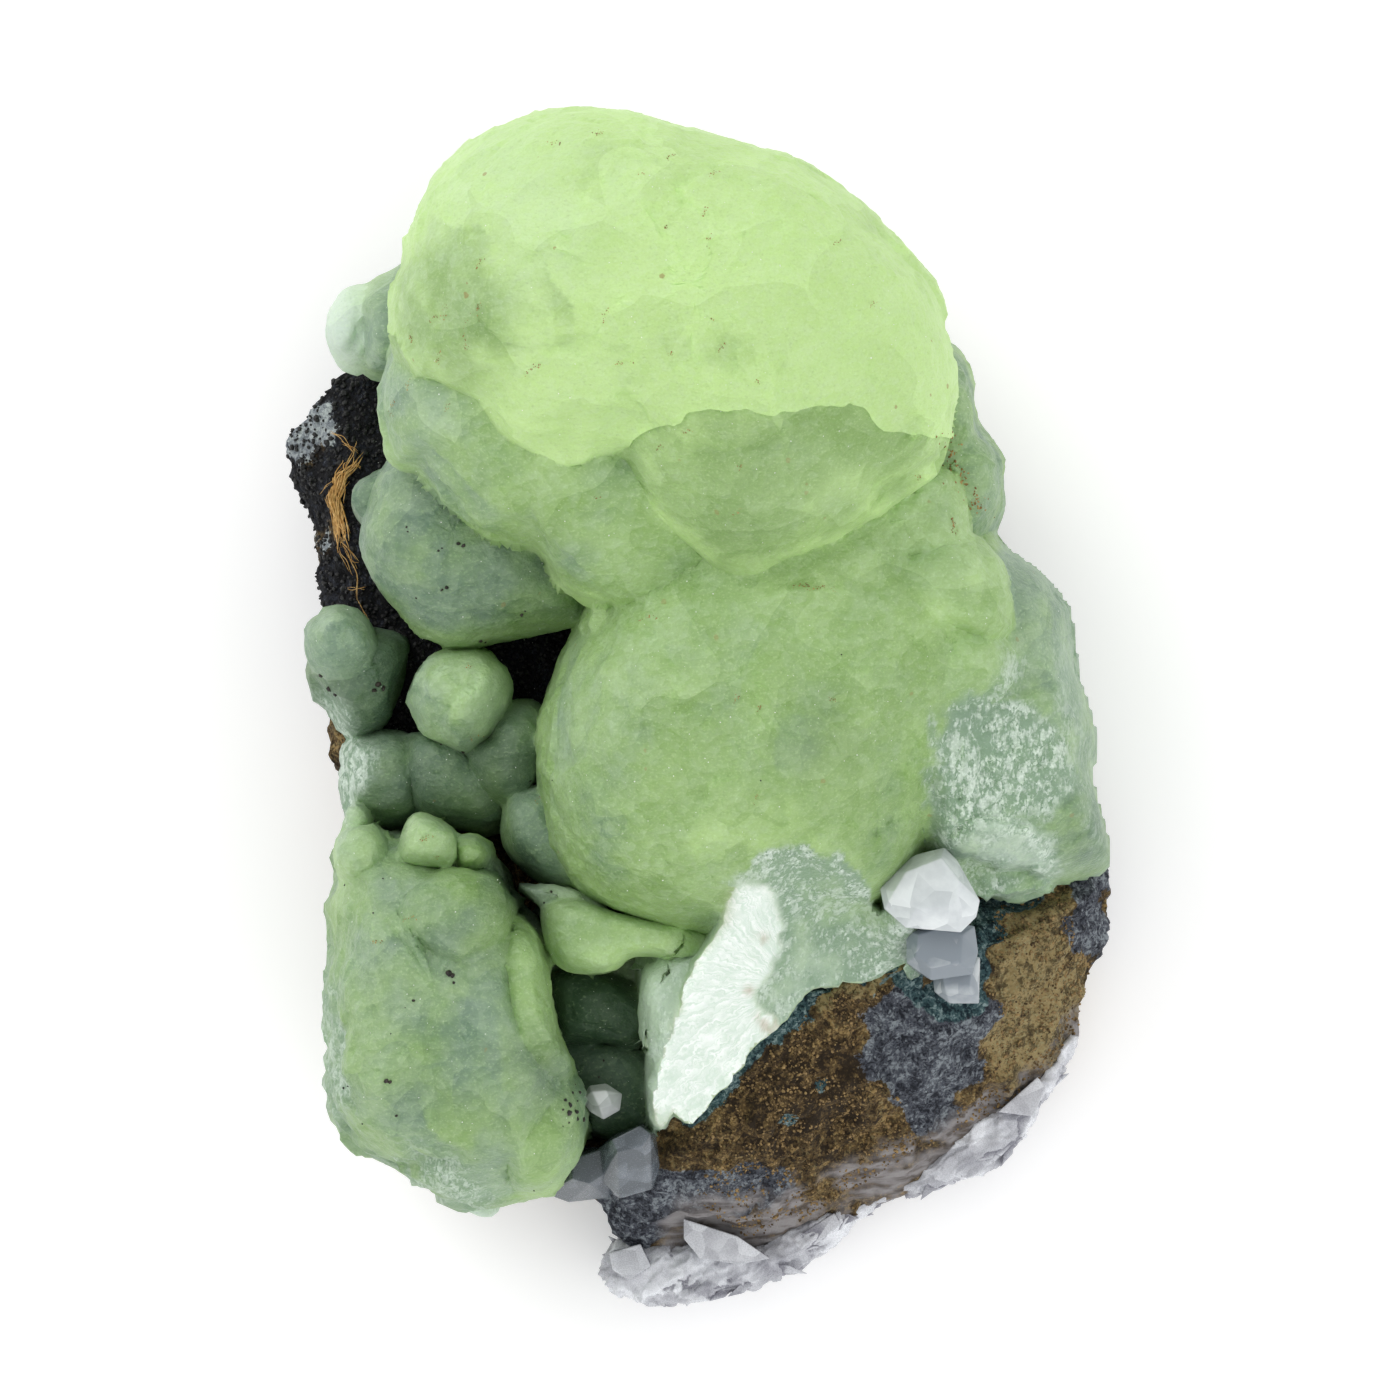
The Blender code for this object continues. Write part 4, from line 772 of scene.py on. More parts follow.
# a lobe: rings of its outline drawn in towards the crest by cos(angle)^full, lifted by sin(angle), from the
# underside at -90 degrees to the crest at 90
def lobeGrid(shape, step):
    crest, widest, underside = shape["heights"]
    around = np.array(shape["outline"], float)
    following = np.roll(around, -1, axis=0)
    if (around[:, 0] * following[:, 1] - following[:, 0] * around[:, 1]).sum() < 0:
        around = around[::-1]
    length = np.linalg.norm(following - np.array(shape["outline"]), axis=1).sum()
    sides = int(length / step)
    edge = smoothLoop(around, sides)
    if "ragged" in shape:
        place = np.column_stack([edge, np.zeros(sides)])
        push = np.stack([layeredNoise(place, 1.4, 3, seed) for seed in (17, 18)], axis=1)
        edge = edge + shape["ragged"] * push
    middle = edge.mean(axis=0)
    away = edge - middle
    reach = np.linalg.norm(away, axis=1).mean()
    above = max(8, int(1.2 * (reach + crest - widest) / step))
    below = max(5, int(0.4 * (reach + widest - underside) / step / 1.6))
    angles = np.concatenate([
        -np.linspace(1, 0, below, endpoint=False)[1:] * math.pi / 2,
        np.linspace(0, 1, above, endpoint=False) * math.pi / 2])
    ring = np.cos(angles)[:, None, None] ** shape["full"]
    lift = np.sin(angles)
    height = np.where(lift > 0, widest + (crest - widest) * lift, widest + (widest - underside) * lift)
    lean = np.clip(lift, 0, 1)[:, None] ** 2
    centre = middle * (1 - lean) + np.array(shape["crest"]) * lean
    plan = centre[:, None, :] + (edge - middle)[None] * ring
    climb = np.array(shape.get("climb", (0.0, 0.0)))
    grid = np.concatenate([plan, (height[:, None] + (plan - middle) @ climb)[..., None]], axis=2)
    top = np.array([*shape["crest"], crest + (np.array(shape["crest"]) - middle) @ climb])
    return grid, np.array([*middle, underside]), top, lift


relief = dict(
    slab=7.5,
    step=0.59, swell=6.0, swellDepth=0.20, plate=7.5, plateDepth=0.75, scale=2.6, scaleDepth=0.34, crumb=1.2,
    crumbDepth=0.13, scaleTone=0.13, ripple=0.8, rippleDepth=0.03, frost=0.8, frostDepth=0.05)

# edges where one skin of the crust ends over the next: the edge, a point on its upper side, how far the upper skin
# stands up and how far that fades inwards, then how much yellower and milkier the upper side is at the edge
ledges = [
    dict(edge=[(-24.7, 40.2), (-22.8, 41.0), (-20.7, 40.4), (-18.5, 40.1), (-15.9, 38.6),
        (-14.2, 38.4), (-13.1, 37.5), (-12.5, 35.3), (-10.7, 34.0), (-10.2, 31.8),
        (-11.1, 29.3)], upper=(-5.1, 39.5), lift=0.20, reach=4.5, yellow=0.15, milk=0.0),
    dict(edge=[(-18.9, 34.4), (-17.7, 32.5), (-18.3, 30.6), (-19.6, 28.3)], upper=(-14.5, 31.0), lift=0.12, reach=2.5,
         yellow=0.06, milk=0.0),
    dict(edge=[(-5.1, 22.1), (-5.4, 20.4), (-5.0, 18.2), (-3.8, 16.1), (-1.7, 14.0), (0.4, 12.3),
        (1.4, 11.1)],
         upper=(5.1, 17.4), lift=0.30, reach=3.0, yellow=0.10, milk=0.0),
    dict(edge=[(-26.2, 28.3), (-24.7, 27.4), (-22.8, 26.6), (-20.8, 24.2), (-18.7, 22.0),
        (-15.3, 19.9), (-11.9, 18.9), (-8.5, 18.6)],
         upper=(-23.8, 21.6), lift=0.10, reach=3.0, yellow=-0.07, milk=0.02),
    dict(edge=[(-25.7, 23.8), (-23.0, 22.5), (-20.8, 19.9), (-18.7, 17.4), (-15.3, 16.1),
        (-11.9, 14.0)], upper=(-17.0, 19.9),
         lift=0.12, reach=2.5, yellow=0.07, milk=0.0),
    dict(edge=[(-10.7, 5.5), (-11.7, 2.1), (-12.5, -2.2), (-12.8, -7.3), (-12.2, -11.5),
        (-10.5, -15.3)], upper=(-5.1, -3.0),
         lift=0.20, reach=3.0, yellow=-0.05, milk=0.04),
    dict(edge=[(-6.0, -11.1), (-3.8, -12.6), (-1.0, -13.4), (1.9, -13.0), (4.1, -11.0)], upper=(-0.9, -6.4), lift=0.16,
         reach=3.0, yellow=0.07, milk=0.0),
    dict(edge=[(-10.9, -14.2), (-7.7, -16.4), (-4.2, -17.3), (0.0, -16.8), (2.0, -15.3)], upper=(-4.2, -12.4), lift=0.16,
         reach=2.0, yellow=0.05, milk=0.0),
    dict(edge=[(6.1, -7.3), (6.3, -3.4), (6.5, -1.1), (8.5, -0.8), (12.9, -2.2), (15.3, -3.0)], upper=(5.1, 1.2),
         lift=0.12, reach=5.0, yellow=0.06, milk=0.02),
    dict(edge=[(2.6, 5.5), (3.0, 8.0), (7.7, 9.6), (12.8, 9.7), (16.2, 8.5), (17.7, 6.2)], upper=(11.1, 3.8),
         lift=0.22, reach=3.5, yellow=0.02, milk=0.05),
    dict(edge=[(3.0, 4.2), (3.6, 1.2), (2.6, -0.9)], upper=(0.0, 1.2), lift=0.10, reach=3.0, yellow=-0.03, milk=0.04),
    dict(edge=[(11.7, 13.3), (14.5, 13.5), (17.4, 13.3), (17.3, 12.3)], upper=(14.5, 10.6), lift=0.18, reach=3.0,
         yellow=0.03, milk=0.04),
    dict(edge=[(17.4, 13.6), (20.2, 14.4), (22.5, 14.7), (24.1, 13.6), (25.5, 11.8), (26.5, 8.9)], upper=(20.8, 10.6),
         lift=0.25, reach=3.0, yellow=0.06, milk=0.03),
    dict(edge=[(17.4, 19.1), (20.0, 19.9), (21.7, 19.3), (22.5, 15.7)], upper=(19.6, 17.0), lift=0.20, reach=3.0,
         yellow=0.05, milk=0.03),
    dict(edge=[(21.4, 6.2), (23.4, 6.0), (25.5, 5.5), (27.0, 4.2)], upper=(23.8, 3.8), lift=0.18, reach=2.5,
         yellow=0.03, milk=0.06),
    dict(edge=[(21.2, 21.2), (22.3, 21.5), (24.2, 20.6), (25.6, 19.3)], upper=(24.2, 22.5), lift=0.25, reach=2.0,
         yellow=0.0, milk=-0.04),
    dict(edge=[(22.3, 17.0), (24.1, 16.7), (25.3, 16.4)], upper=(23.8, 18.2), lift=0.25, reach=2.0, yellow=0.03,
         milk=0.02),
    dict(edge=[(26.5, 12.6), (28.1, 13.0), (29.9, 12.1), (31.6, 10.6)], upper=(28.9, 9.7), lift=0.2, reach=3.0,
         yellow=0.02, milk=0.03),
    dict(edge=[(27.0, 6.2), (29.3, 6.7), (30.9, 5.5), (31.5, 3.6), (30.8, 1.7)], upper=(28.9, 3.8), lift=0.22,
         reach=2.5, yellow=0.04, milk=0.02),
    dict(edge=[(32.6, 6.3), (31.8, 3.1), (31.1, 0.4), (30.4, -1.7)], upper=(28.9, 1.2), lift=0.30, reach=2.5,
         yellow=0.06, milk=0.08),
    dict(edge=[(31.3, -2.2), (32.0, -5.6), (30.8, -8.1), (29.9, -12.4)], upper=(28.1, -7.3), lift=0.35, reach=3.0,
         yellow=0.0, milk=0.12),
    dict(edge=[(22.1, -12.0), (22.6, -10.5), (24.2, -9.8), (27.2, -9.8), (29.3, -10.8),
        (30.4, -12.8)], upper=(25.9, -12.4),
         lift=0.30, reach=2.5, yellow=0.0, milk=0.22),
    dict(edge=[(-28.7, -17.0), (-25.5, -20.0), (-24.0, -21.5), (-25.3, -23.8), (-25.7, -26.0)], upper=(-29.8, -24.3), lift=0.18,
         reach=3.0, yellow=-0.04, milk=0.06),
    dict(edge=[(-25.7, -28.7), (-25.2, -27.0), (-23.0, -26.4), (-19.6, -27.0), (-17.2, -28.5),
        (-16.0, -30.4)], upper=(-21.2, -24.3),
         lift=0.20, reach=3.0, yellow=0.04, milk=0.06),
    dict(edge=[(-25.5, -26.4), (-25.8, -28.9), (-26.5, -31.5), (-27.0, -34.0), (-28.9, -35.3)], upper=(-28.9, -29.4), lift=0.22,
         reach=3.0, yellow=0.02, milk=0.08),
    dict(edge=[(-22.1, -23.8), (-19.6, -25.1), (-17.0, -25.5), (-15.3, -27.7)], upper=(-17.0, -22.6), lift=0.16, reach=3.0,
         yellow=0.06, milk=0.03),
    dict(edge=[(-17.3, -26.0), (-16.9, -29.4), (-16.5, -32.4), (-15.3, -32.9)], upper=(-15.3, -29.4), lift=0.16, reach=2.5,
         yellow=0.14, milk=0.0),
    dict(edge=[(-23.5, -34.3), (-23.0, -36.2), (-21.2, -37.5), (-18.7, -38.0)], upper=(-19.6, -35.3), lift=0.16, reach=3.0,
         yellow=0.10, milk=0.0),
    dict(edge=[(-16.6, -32.3), (-17.9, -34.9), (-19.4, -36.6), (-20.1, -38.7), (-19.6, -41.4)], upper=(-22.1, -36.2), lift=0.20,
         reach=3.0, yellow=0.08, milk=0.0),
    dict(edge=[(-17.0, -33.8), (-15.6, -35.8), (-14.5, -37.2), (-14.4, -39.2), (-15.0, -41.8)], upper=(-17.9, -38.7), lift=0.28,
         reach=3.0, yellow=-0.03, milk=0.10),
    dict(edge=[(-14.8, -32.4), (-13.9, -31.2), (-12.9, -30.0), (-11.9, -28.5)], upper=(-15.3, -29.4), lift=0.25, reach=2.5,
         yellow=0.12, milk=0.02),
    dict(edge=[(-13.2, -34.6), (-11.9, -36.6), (-12.2, -39.1), (-11.9, -40.8)], upper=(-14.0, -37.9), lift=0.22, reach=2.0,
         yellow=0.05, milk=0.03),
    dict(edge=[(-30.6, -18.7), (-27.9, -21.3), (-26.5, -22.4)], upper=(-26.4, -19.2), lift=0.15, reach=2.5, yellow=0.03, milk=0.03),
    dict(edge=[(-30.8, -25.1), (-30.4, -28.5), (-29.8, -31.5), (-30.2, -34.5)], upper=(-27.2, -28.5), lift=0.20, reach=2.5,
         yellow=0.04, milk=-0.08),
    dict(edge=[(-25.5, -37.9), (-22.1, -38.7), (-20.0, -40.0), (-18.7, -41.4)], upper=(-20.4, -35.3), lift=0.20, reach=2.5,
         yellow=0.06, milk=-0.08),
]
# ground where the crust is crushed white: its outline and how strong it is
crushed = [
    ([(20.2, -0.6), (22.1, 1.2), (25.5, 0.4), (28.1, -0.6), (30.3, -1.5), (31.1, -3.9),
        (30.8, -7.3), (29.8, -9.1), (26.4, -9.5), (23.4, -10.2), (21.2, -13.4),
        (19.7, -12.4), (19.9, -8.1), (19.4, -5.1)], 1.0),
    ([(25.5, 3.8), (27.0, 5.1), (27.7, 3.4), (26.5, 0.4), (25.2, -0.1)], 0.8),
    ([(30.4, 5.5), (32.5, 4.6), (33.2, -1.3), (34.2, -3.4), (33.8, -8.1), (35.0, -12.4),
        (33.6, -12.4), (31.5, -7.3), (30.6, -1.3)], 0.35),
    ([(23.4, -13.2), (25.5, -13.4), (29.8, -13.9), (30.6, -15.3), (27.2, -15.9),
        (24.2, -15.8), (23.0, -14.9)], 0.9),
    ([(22.6, -10.8), (24.2, -10.0), (27.2, -10.0), (29.2, -11.0), (30.3, -13.0),
        (28.1, -12.4), (25.5, -11.7)], 0.7),
    ([(-3.8, -23.8), (-1.7, -21.7), (0.0, -20.9), (-0.9, -24.3), (-2.0, -26.0),
        (-2.7, -29.4), (-3.8, -31.9), (-4.4, -28.5)], 0.6),
    ([(-33.0, 1.2), (-31.5, 1.2), (-30.2, -2.2), (-28.2, -3.4), (-28.7, -7.3),
        (-30.2, -10.3), (-31.3, -8.1), (-32.1, -2.2)], 0.9),
    ([(-32.1, -21.7), (-30.8, -24.3), (-30.3, -28.5), (-29.6, -31.9), (-30.2, -35.3),
        (-31.8, -34.5), (-32.3, -27.7)], 0.6),
    ([(-25.5, -37.5), (-22.1, -38.4), (-19.2, -39.7), (-17.3, -41.8), (-17.0, -44.0),
        (-21.2, -42.1), (-24.2, -40.4)], 0.7),
    ([(-31.9, 25.5), (-34.9, 24.9), (-35.4, 22.5), (-34.0, 20.6), (-32.3, 23.2)], 0.9),
]
# soft patches of tone, painted as round brush marks from above: place, reach, then yellow, milk and shade
patches = [
    ((-21.2, 31.8), 6.0, -0.36, 0.0, 0.06), ((-23.0, 36.9), 4.0, -0.06, 0.0, 0.0), ((-17.0, 42.9), 5.0, 0.03, 0.08, 0.0),
    ((-11.9, 38.6), 4.0, 0.02, 0.06, 0.0), ((-24.7, 23.3), 4.0, -0.08, 0.02, 0.0),
    ((-11.9, -3.0), 5.0, -0.16, 0.06, 0.0), ((-9.4, -9.8), 5.0, -0.14, 0.04, 0.0), ((10.2, -3.9), 3.8, -0.04, 0.0, 0.26),
    ((0.0, -8.1), 6.0, 0.06, 0.0, 0.0), ((15.3, -12.4), 4.0, 0.02, 0.0, 0.12), ((19.6, 0.4), 4.0, -0.02, 0.02, 0.0),
    ((-8.5, 8.5), 3.5, 0.12, 0.0, 0.0), ((3.8, 11.0), 3.0, 0.10, 0.0, 0.0), ((-14.0, 12.3), 4.0, 0.04, 0.0, 0.18),
    ((-14.5, 7.2), 3.0, 0.12, 0.0, 0.12), ((-5.1, -19.2), 4.0, 0.06, 0.0, 0.0), ((-11.9, -33.6), 4.0, -0.05, 0.0, 0.14),
    ((-11.5, -31.1), 3.0, 0.0, 0.0, 0.20), ((-22.1, -7.3), 4.0, 0.0, 0.0, 0.20), ((-4.2, -35.3), 3.0, 0.0, 0.0, 0.35),
    ((-16.0, -14.1), 2.5, 0.0, 0.0, 0.6), ((-14.9, -16.6), 2.2, 0.0, 0.0, 0.5), ((-6.8, -35.5), 2.4, 0.0, 0.0, 0.5),
    ((-23.0, 22.5), 3.0, 0.10, 0.12, 0.0), ((5.1, 19.1), 5.0, -0.08, 0.0, 0.10), ((3.8, 13.6), 3.5, -0.06, 0.0, 0.14),
    ((-19.6, 5.3), 2.6, 0.16, 0.10, 0.0), ((-17.9, 0.4), 2.6, 0.14, 0.22, 0.0), ((-16.6, -4.7), 2.6, -0.05, 0.0, 0.30),
    ((-27.6, -6.0), 3.0, 0.0, 0.0, 0.12), ((-29.9, 31.8), 3.0, 0.05, 0.30, 0.0), ((15.3, 11.0), 3.5, 0.08, 0.08, 0.0),
    ((29.3, 9.7), 5.0, -0.12, 0.0, 0.08), ((-19.6, -19.3), 3.0, 0.0, 0.0, 0.18), ((-14.0, -29.4), 3.0, -0.04, 0.0, 0.28),
    ((0.0, -3.9), 6.0, -0.04, 0.0, 0.06), ((22.1, 12.3), 4.0, 0.03, 0.04, 0.0), ((33.2, -10.7), 3.5, 0.0, -0.1, 0.30),
]


# signed distance to an edge, above zero on its upper side, and how near the point is to the edge's ends
def ledgeReach(plan, ledge):
    path = np.array(ledge["edge"], float)
    count = len(path) - 1

    def measure(spots):
        best = np.full(spots.shape[:-1], 1e9)
        side = np.zeros(best.shape)
        along = np.zeros(best.shape)
        for k in range(count):
            way = path[k + 1] - path[k]
            off = spots - path[k]
            t = np.clip((off @ way) / (way @ way), 0, 1)
            away = np.linalg.norm(off - t[..., None] * way, axis=-1)
            closer = away < best
            best = np.where(closer, away, best)
            side = np.where(closer, np.sign(way[0] * off[..., 1] - way[1] * off[..., 0]), side)
            along = np.where(closer, (k + t) / count, along)
        return best, side, along

    distance, side, along = measure(plan)
    upper = measure(np.array([ledge["upper"]], float))[1][0]
    taper = smoothStep(along, 0.0, 0.18) * smoothStep(1 - along, 0.0, 0.18)
    return distance * side * upper, taper


# everything that shapes or tints the skin at points seen from above: height, yellow, milk, shade, and rough ground
def skinMarks(points):
    plan = points[..., :2]
    bent = plan + 0.35 * np.stack([layeredNoise(points, 2.2, 3, s) for s in (12, 13)], axis=-1)
    frayed = plan + 1.2 * np.stack([layeredNoise(points, 1.6, 3, s) for s in (49, 50)], axis=-1)
    height = np.zeros(plan.shape[:-1])
    yellow, milk, shade, rough = height.copy(), height.copy(), height.copy(), height.copy()
    for ledge in ledges:
        low = np.array(ledge["edge"]).min(axis=0) - 3 * ledge["reach"]
        high = np.array(ledge["edge"]).max(axis=0) + 3 * ledge["reach"]
        inside = np.all((plan > low) & (plan < high), axis=-1)
        if not inside.any():
            continue
        signed, taper = ledgeReach(bent[inside], ledge)
        fade = np.exp(-np.abs(signed) / ledge["reach"]) * taper
        over = smoothStep(signed, -0.16, 0.16)
        height[inside] += ledge["lift"] * fade * over
        yellow[inside] += ledge["yellow"] * fade * (2 * over - 1)
        milk[inside] += ledge["milk"] * fade * (2 * over - 1)
    for outline, strength in crushed:
        outline = np.array(outline)
        inside = np.all((plan > outline.min(axis=0) - 2) & (plan < outline.max(axis=0) + 2), axis=-1)
        if inside.any():
            rough[inside] = np.maximum(rough[inside], strength * softInside(frayed[inside], outline, 1.8))
    for spot, reach, moreYellow, moreMilk, moreShade in patches:
        near = np.exp(-(np.linalg.norm(bent - spot, axis=-1) / reach) ** 2)
        yellow += moreYellow * near
        milk += moreMilk * near
        shade += moreShade * near
    return height, yellow, milk, shade, rough


# how far the skin stands out of the even lobe: broad swelling, flat tilted plates and scales, growth lines round
# the flanks and frost, with the crushed ground in sharp small blocks
def skinRelief(points, lift, marks, shape):
    height, rough = marks[0], marks[4]
    broad = layeredNoise(points, relief["swell"], 2, 3) * relief["swellDepth"]
    warped = points + 0.9 * np.stack([layeredNoise(points, 3.0, 2, s) for s in (14, 15, 16)], axis=-1)
    strength = shape.get("plates", 1.0)
    plates = facets(warped, relief["plate"], 11)[0] * relief["plateDepth"] * strength
    scales = facets(warped, relief["scale"], 19)[0] * relief["scaleDepth"] * min(strength, 1.3)
    crumbs = facets(points, relief["crumb"], 23)[0] * relief["crumbDepth"]
    flank = smoothStep(0.95 - lift, 0.0, 0.5)[:, None]
    rings = np.sin(2 * math.pi * (points[..., 2] + 0.5 * softNoise(points, 4.0, 5)) / relief["ripple"])
    frosted = layeredNoise(points * (1.6, 0.6, 1.0), relief["frost"], 3, 25) * relief["frostDepth"]
    blocks, between, blockNumber = cellDistance(points * (1.0, 0.8, 1.0), 1.3, 27)
    broken = rough * (0.75 * (blockNumber - 0.5) + 0.45 * (0.5 - blocks) + 0.12 * layeredNoise(points, 0.8, 2, 28))
    fibres = 0.06 * radialStriae(points, shape) if "radial" in shape else 0
    rings = rings * relief["rippleDepth"] * flank
    slabs = facets(warped, relief["slab"], 29)[0] * shape["slabs"] if "slabs" in shape else 0
    return height + broad + plates + slabs + scales + crumbs + rings + frosted + broken + fibres


# streaks that run out from a point: soft noise read at the direction and, much stretched, at the distance
def radialStriae(points, shape):
    out = points[..., :2] - shape["radial"]
    turn = np.arctan2(out[..., 1], out[..., 0])
    far = np.linalg.norm(out, axis=-1)
    place = np.stack([np.cos(turn) * 9, np.sin(turn) * 9, far * 0.5], axis=-1)
    return softNoise(place, 1.0, 46) + 0.5 * softNoise(place * (2.2, 2.2, 1.0), 1.0, 47)




# the tones of the skin: yellow, milk, shade and rust, with painted light on top: a rim made yellower on the flanks that
# face the lobe's glow way (south by default), as if lit through, plates and scales of slightly different tone, and a
# painted sheen of milk on slopes that face the upper left, towards the key light
def crustMask(points, normal, lift, marks, shape):
    height, moreYellow, moreMilk, moreShade, rough = marks
    plan = points[..., :2]
    flank = np.clip(1 - lift, 0, 1)[:, None] * np.ones(points.shape[1])
    way = plan - shape["outlineMiddle"]
    glowWay = np.array(shape.get("glowWay", (0.2, -1.0)))
    toGlow = (way @ glowWay) / (np.linalg.norm(way, axis=-1) + 1e-6) / np.linalg.norm(glowWay)
    # glow: painted light, yellow added on the flanks that face the glow way, as if light shone through the rim
    glow = shape.get("glow", 0.22) * smoothStep(flank, 0.25, 0.95) * smoothStep(toGlow, -0.1, 0.8)
    warped = points + 0.9 * np.stack([layeredNoise(points, 3.0, 2, s) for s in (14, 15, 16)], axis=-1)
    mottle = relief["scaleTone"] * ((facets(warped, relief["plate"], 11)[1] - 0.5)
                                    + 0.6 * (facets(warped, relief["scale"], 19)[1] - 0.5))
    mottle = mottle + 0.06 * layeredNoise(points, 5.0, 3, 29)
    blotch = np.clip(0.42 + 0.75 * layeredNoise(points, 1.6, 3, 26), 0, 1)
    # painted sheen: milk added on slopes that face the upper left, towards the key light
    bloom = smoothStep(normal @ np.array((-0.62, 0.48, 0.62)), 0.55, 1.0) * shape.get("bloom", 0.10)
    bloom = bloom * (0.6 + 0.8 * layeredNoise(points, 1.8, 3, 30))
    if "radial" in shape:
        moreMilk = moreMilk + 0.07 * radialStriae(points, shape)
    yellow = shape["yellow"] + glow + moreYellow + mottle - 0.08 * rough
    milk = shape["milk"] + moreMilk + 0.30 * rough * blotch + bloom
    shade = shape["shade"] + moreShade + 0.10 * rough * (1 - blotch)
    rust = shape.get("rust", 0.6) * np.ones(flank.shape)
    return {"yellow": yellow, "milk": milk, "shade": np.clip(shade, 0, 0.95), "rust": rust, "crush": rough,
            "fan": 0 * rough}


def closedMasks(masks):
    return {name: np.concatenate([values.ravel(), values[0, :1], values[-1, :1]]) for name, values in masks.items()}


# which lobes grew into one another: their number is the same before the point, and each lobe has its own after it
def kindOf(name):
    family = next((k for k, members in enumerate(families) if name in members), len(families))
    return family * 100 + list(lobes).index(name) + 1


def lobePiece(name, shape, grow=0.0, kind=0):
    grid, bottom, top, lift = lobeGrid(shape, relief["step"] * fine)
    outline = np.array(shape["outline"])
    shape = dict(shape, outlineMiddle=outline.mean(axis=0))
    normal = ringNormals(grid)
    upright = smoothStep(lift, 0.93, 0.995)[:, None, None]
    normal = normal * (1 - upright) + np.array((0.0, 0.0, 1.0)) * upright
    marks = skinMarks(grid)
    masks = crustMask(grid, normal, lift, marks, shape)
    masks["kind"] = np.full(grid.shape[:2], float(kind))
    grid = grid + normal * (skinRelief(grid, lift, marks, shape) + grow)[..., None]
    bottom = grid[0].mean(axis=0)
    top = grid[-1].mean(axis=0)
    verts = np.concatenate([grid.reshape(-1, 3), [bottom, top]])
    return makePiece(name, verts, ringFaces(*grid.shape[:2]), closedMasks(masks), crustSkins)


# an upright prism on a closed outline, for trimming the crown's skin
def prismPiece(name, outline, low, high):
    outline = np.array(outline)
    turned = np.roll(outline, -1, axis=0)
    if (outline[:, 0] * turned[:, 1] - turned[:, 0] * outline[:, 1]).sum() < 0:
        outline = outline[::-1]
    count = len(outline)
    verts = np.concatenate([
        np.column_stack([outline, np.full(count, low)]), np.column_stack([outline, np.full(count, high)])])
    side = np.arange(count)
    following = (side + 1) % count
    faces = np.stack([side, following, following + count, side + count], axis=1).tolist()
    faces += [side[::-1].tolist(), (side + count).tolist()]
    masks = {"yellow": np.full(2 * count, 0.95), "milk": np.full(2 * count, 0.12), "shade": np.zeros(2 * count),
             "rust": np.zeros(2 * count), "crush": np.zeros(2 * count), "fan": np.zeros(2 * count),
             "kind": np.full(2 * count, 99.0)}
    return makePiece(name, verts, faces, masks, crustSkins)


# the ragged chain: points every 0.25 mm along it, pushed about by noise
def raggedEdge(points, depth=0.42):
    points = np.array(points)
    lengths = np.linalg.norm(np.diff(points, axis=0), axis=1)
    walked = np.concatenate([[0], np.cumsum(lengths)])
    wanted = np.arange(0, walked[-1], 0.25)
    chain = np.stack([np.interp(wanted, walked, points[:, k]) for k in (0, 1)], axis=1)
    place = np.column_stack([chain, np.zeros(len(chain))])
    push = np.stack([layeredNoise(place, 2.0, 3, seed) for seed in (21, 22)], axis=1)
    return chain + depth * push


# the even top of a lobe above plan points: the share of the way from its middle out to its outline gives the angle,
# whose sine lifts it from the widest level to the crest. The middle moves to the crest with the lift, so both are
# found in turns
def lobeHeight(plan, shape):
    crest, widest, _ = shape["heights"]
    edge = smoothLoop(shape["outline"], 720)
    middle = edge.mean(axis=0)
    away = edge - middle
    turn = np.arctan2(away[:, 1], away[:, 0])
    order = np.argsort(turn)
    reach = np.linalg.norm(away, axis=1)[order]
    turn = turn[order]
    lift = np.full(plan.shape[:-1], 0.5)
    for _ in range(14):
        centre = middle + (np.array(shape["crest"]) - middle) * lift[..., None] ** 2
        out = plan - centre
        edgeReach = np.interp(np.arctan2(out[..., 1], out[..., 0]), turn, reach, period=2 * math.pi)
        share = np.clip(np.linalg.norm(out, axis=-1) / edgeReach, 0, 1)
        lift = 0.5 * lift + 0.5 * np.sin(np.arccos(share ** (1 / shape["full"])))
    height = widest + (crest - widest) * lift + (plan - middle) @ np.array(shape.get("climb", (0.0, 0.0)))
    return np.where(share < 0.999, height, 0.0)


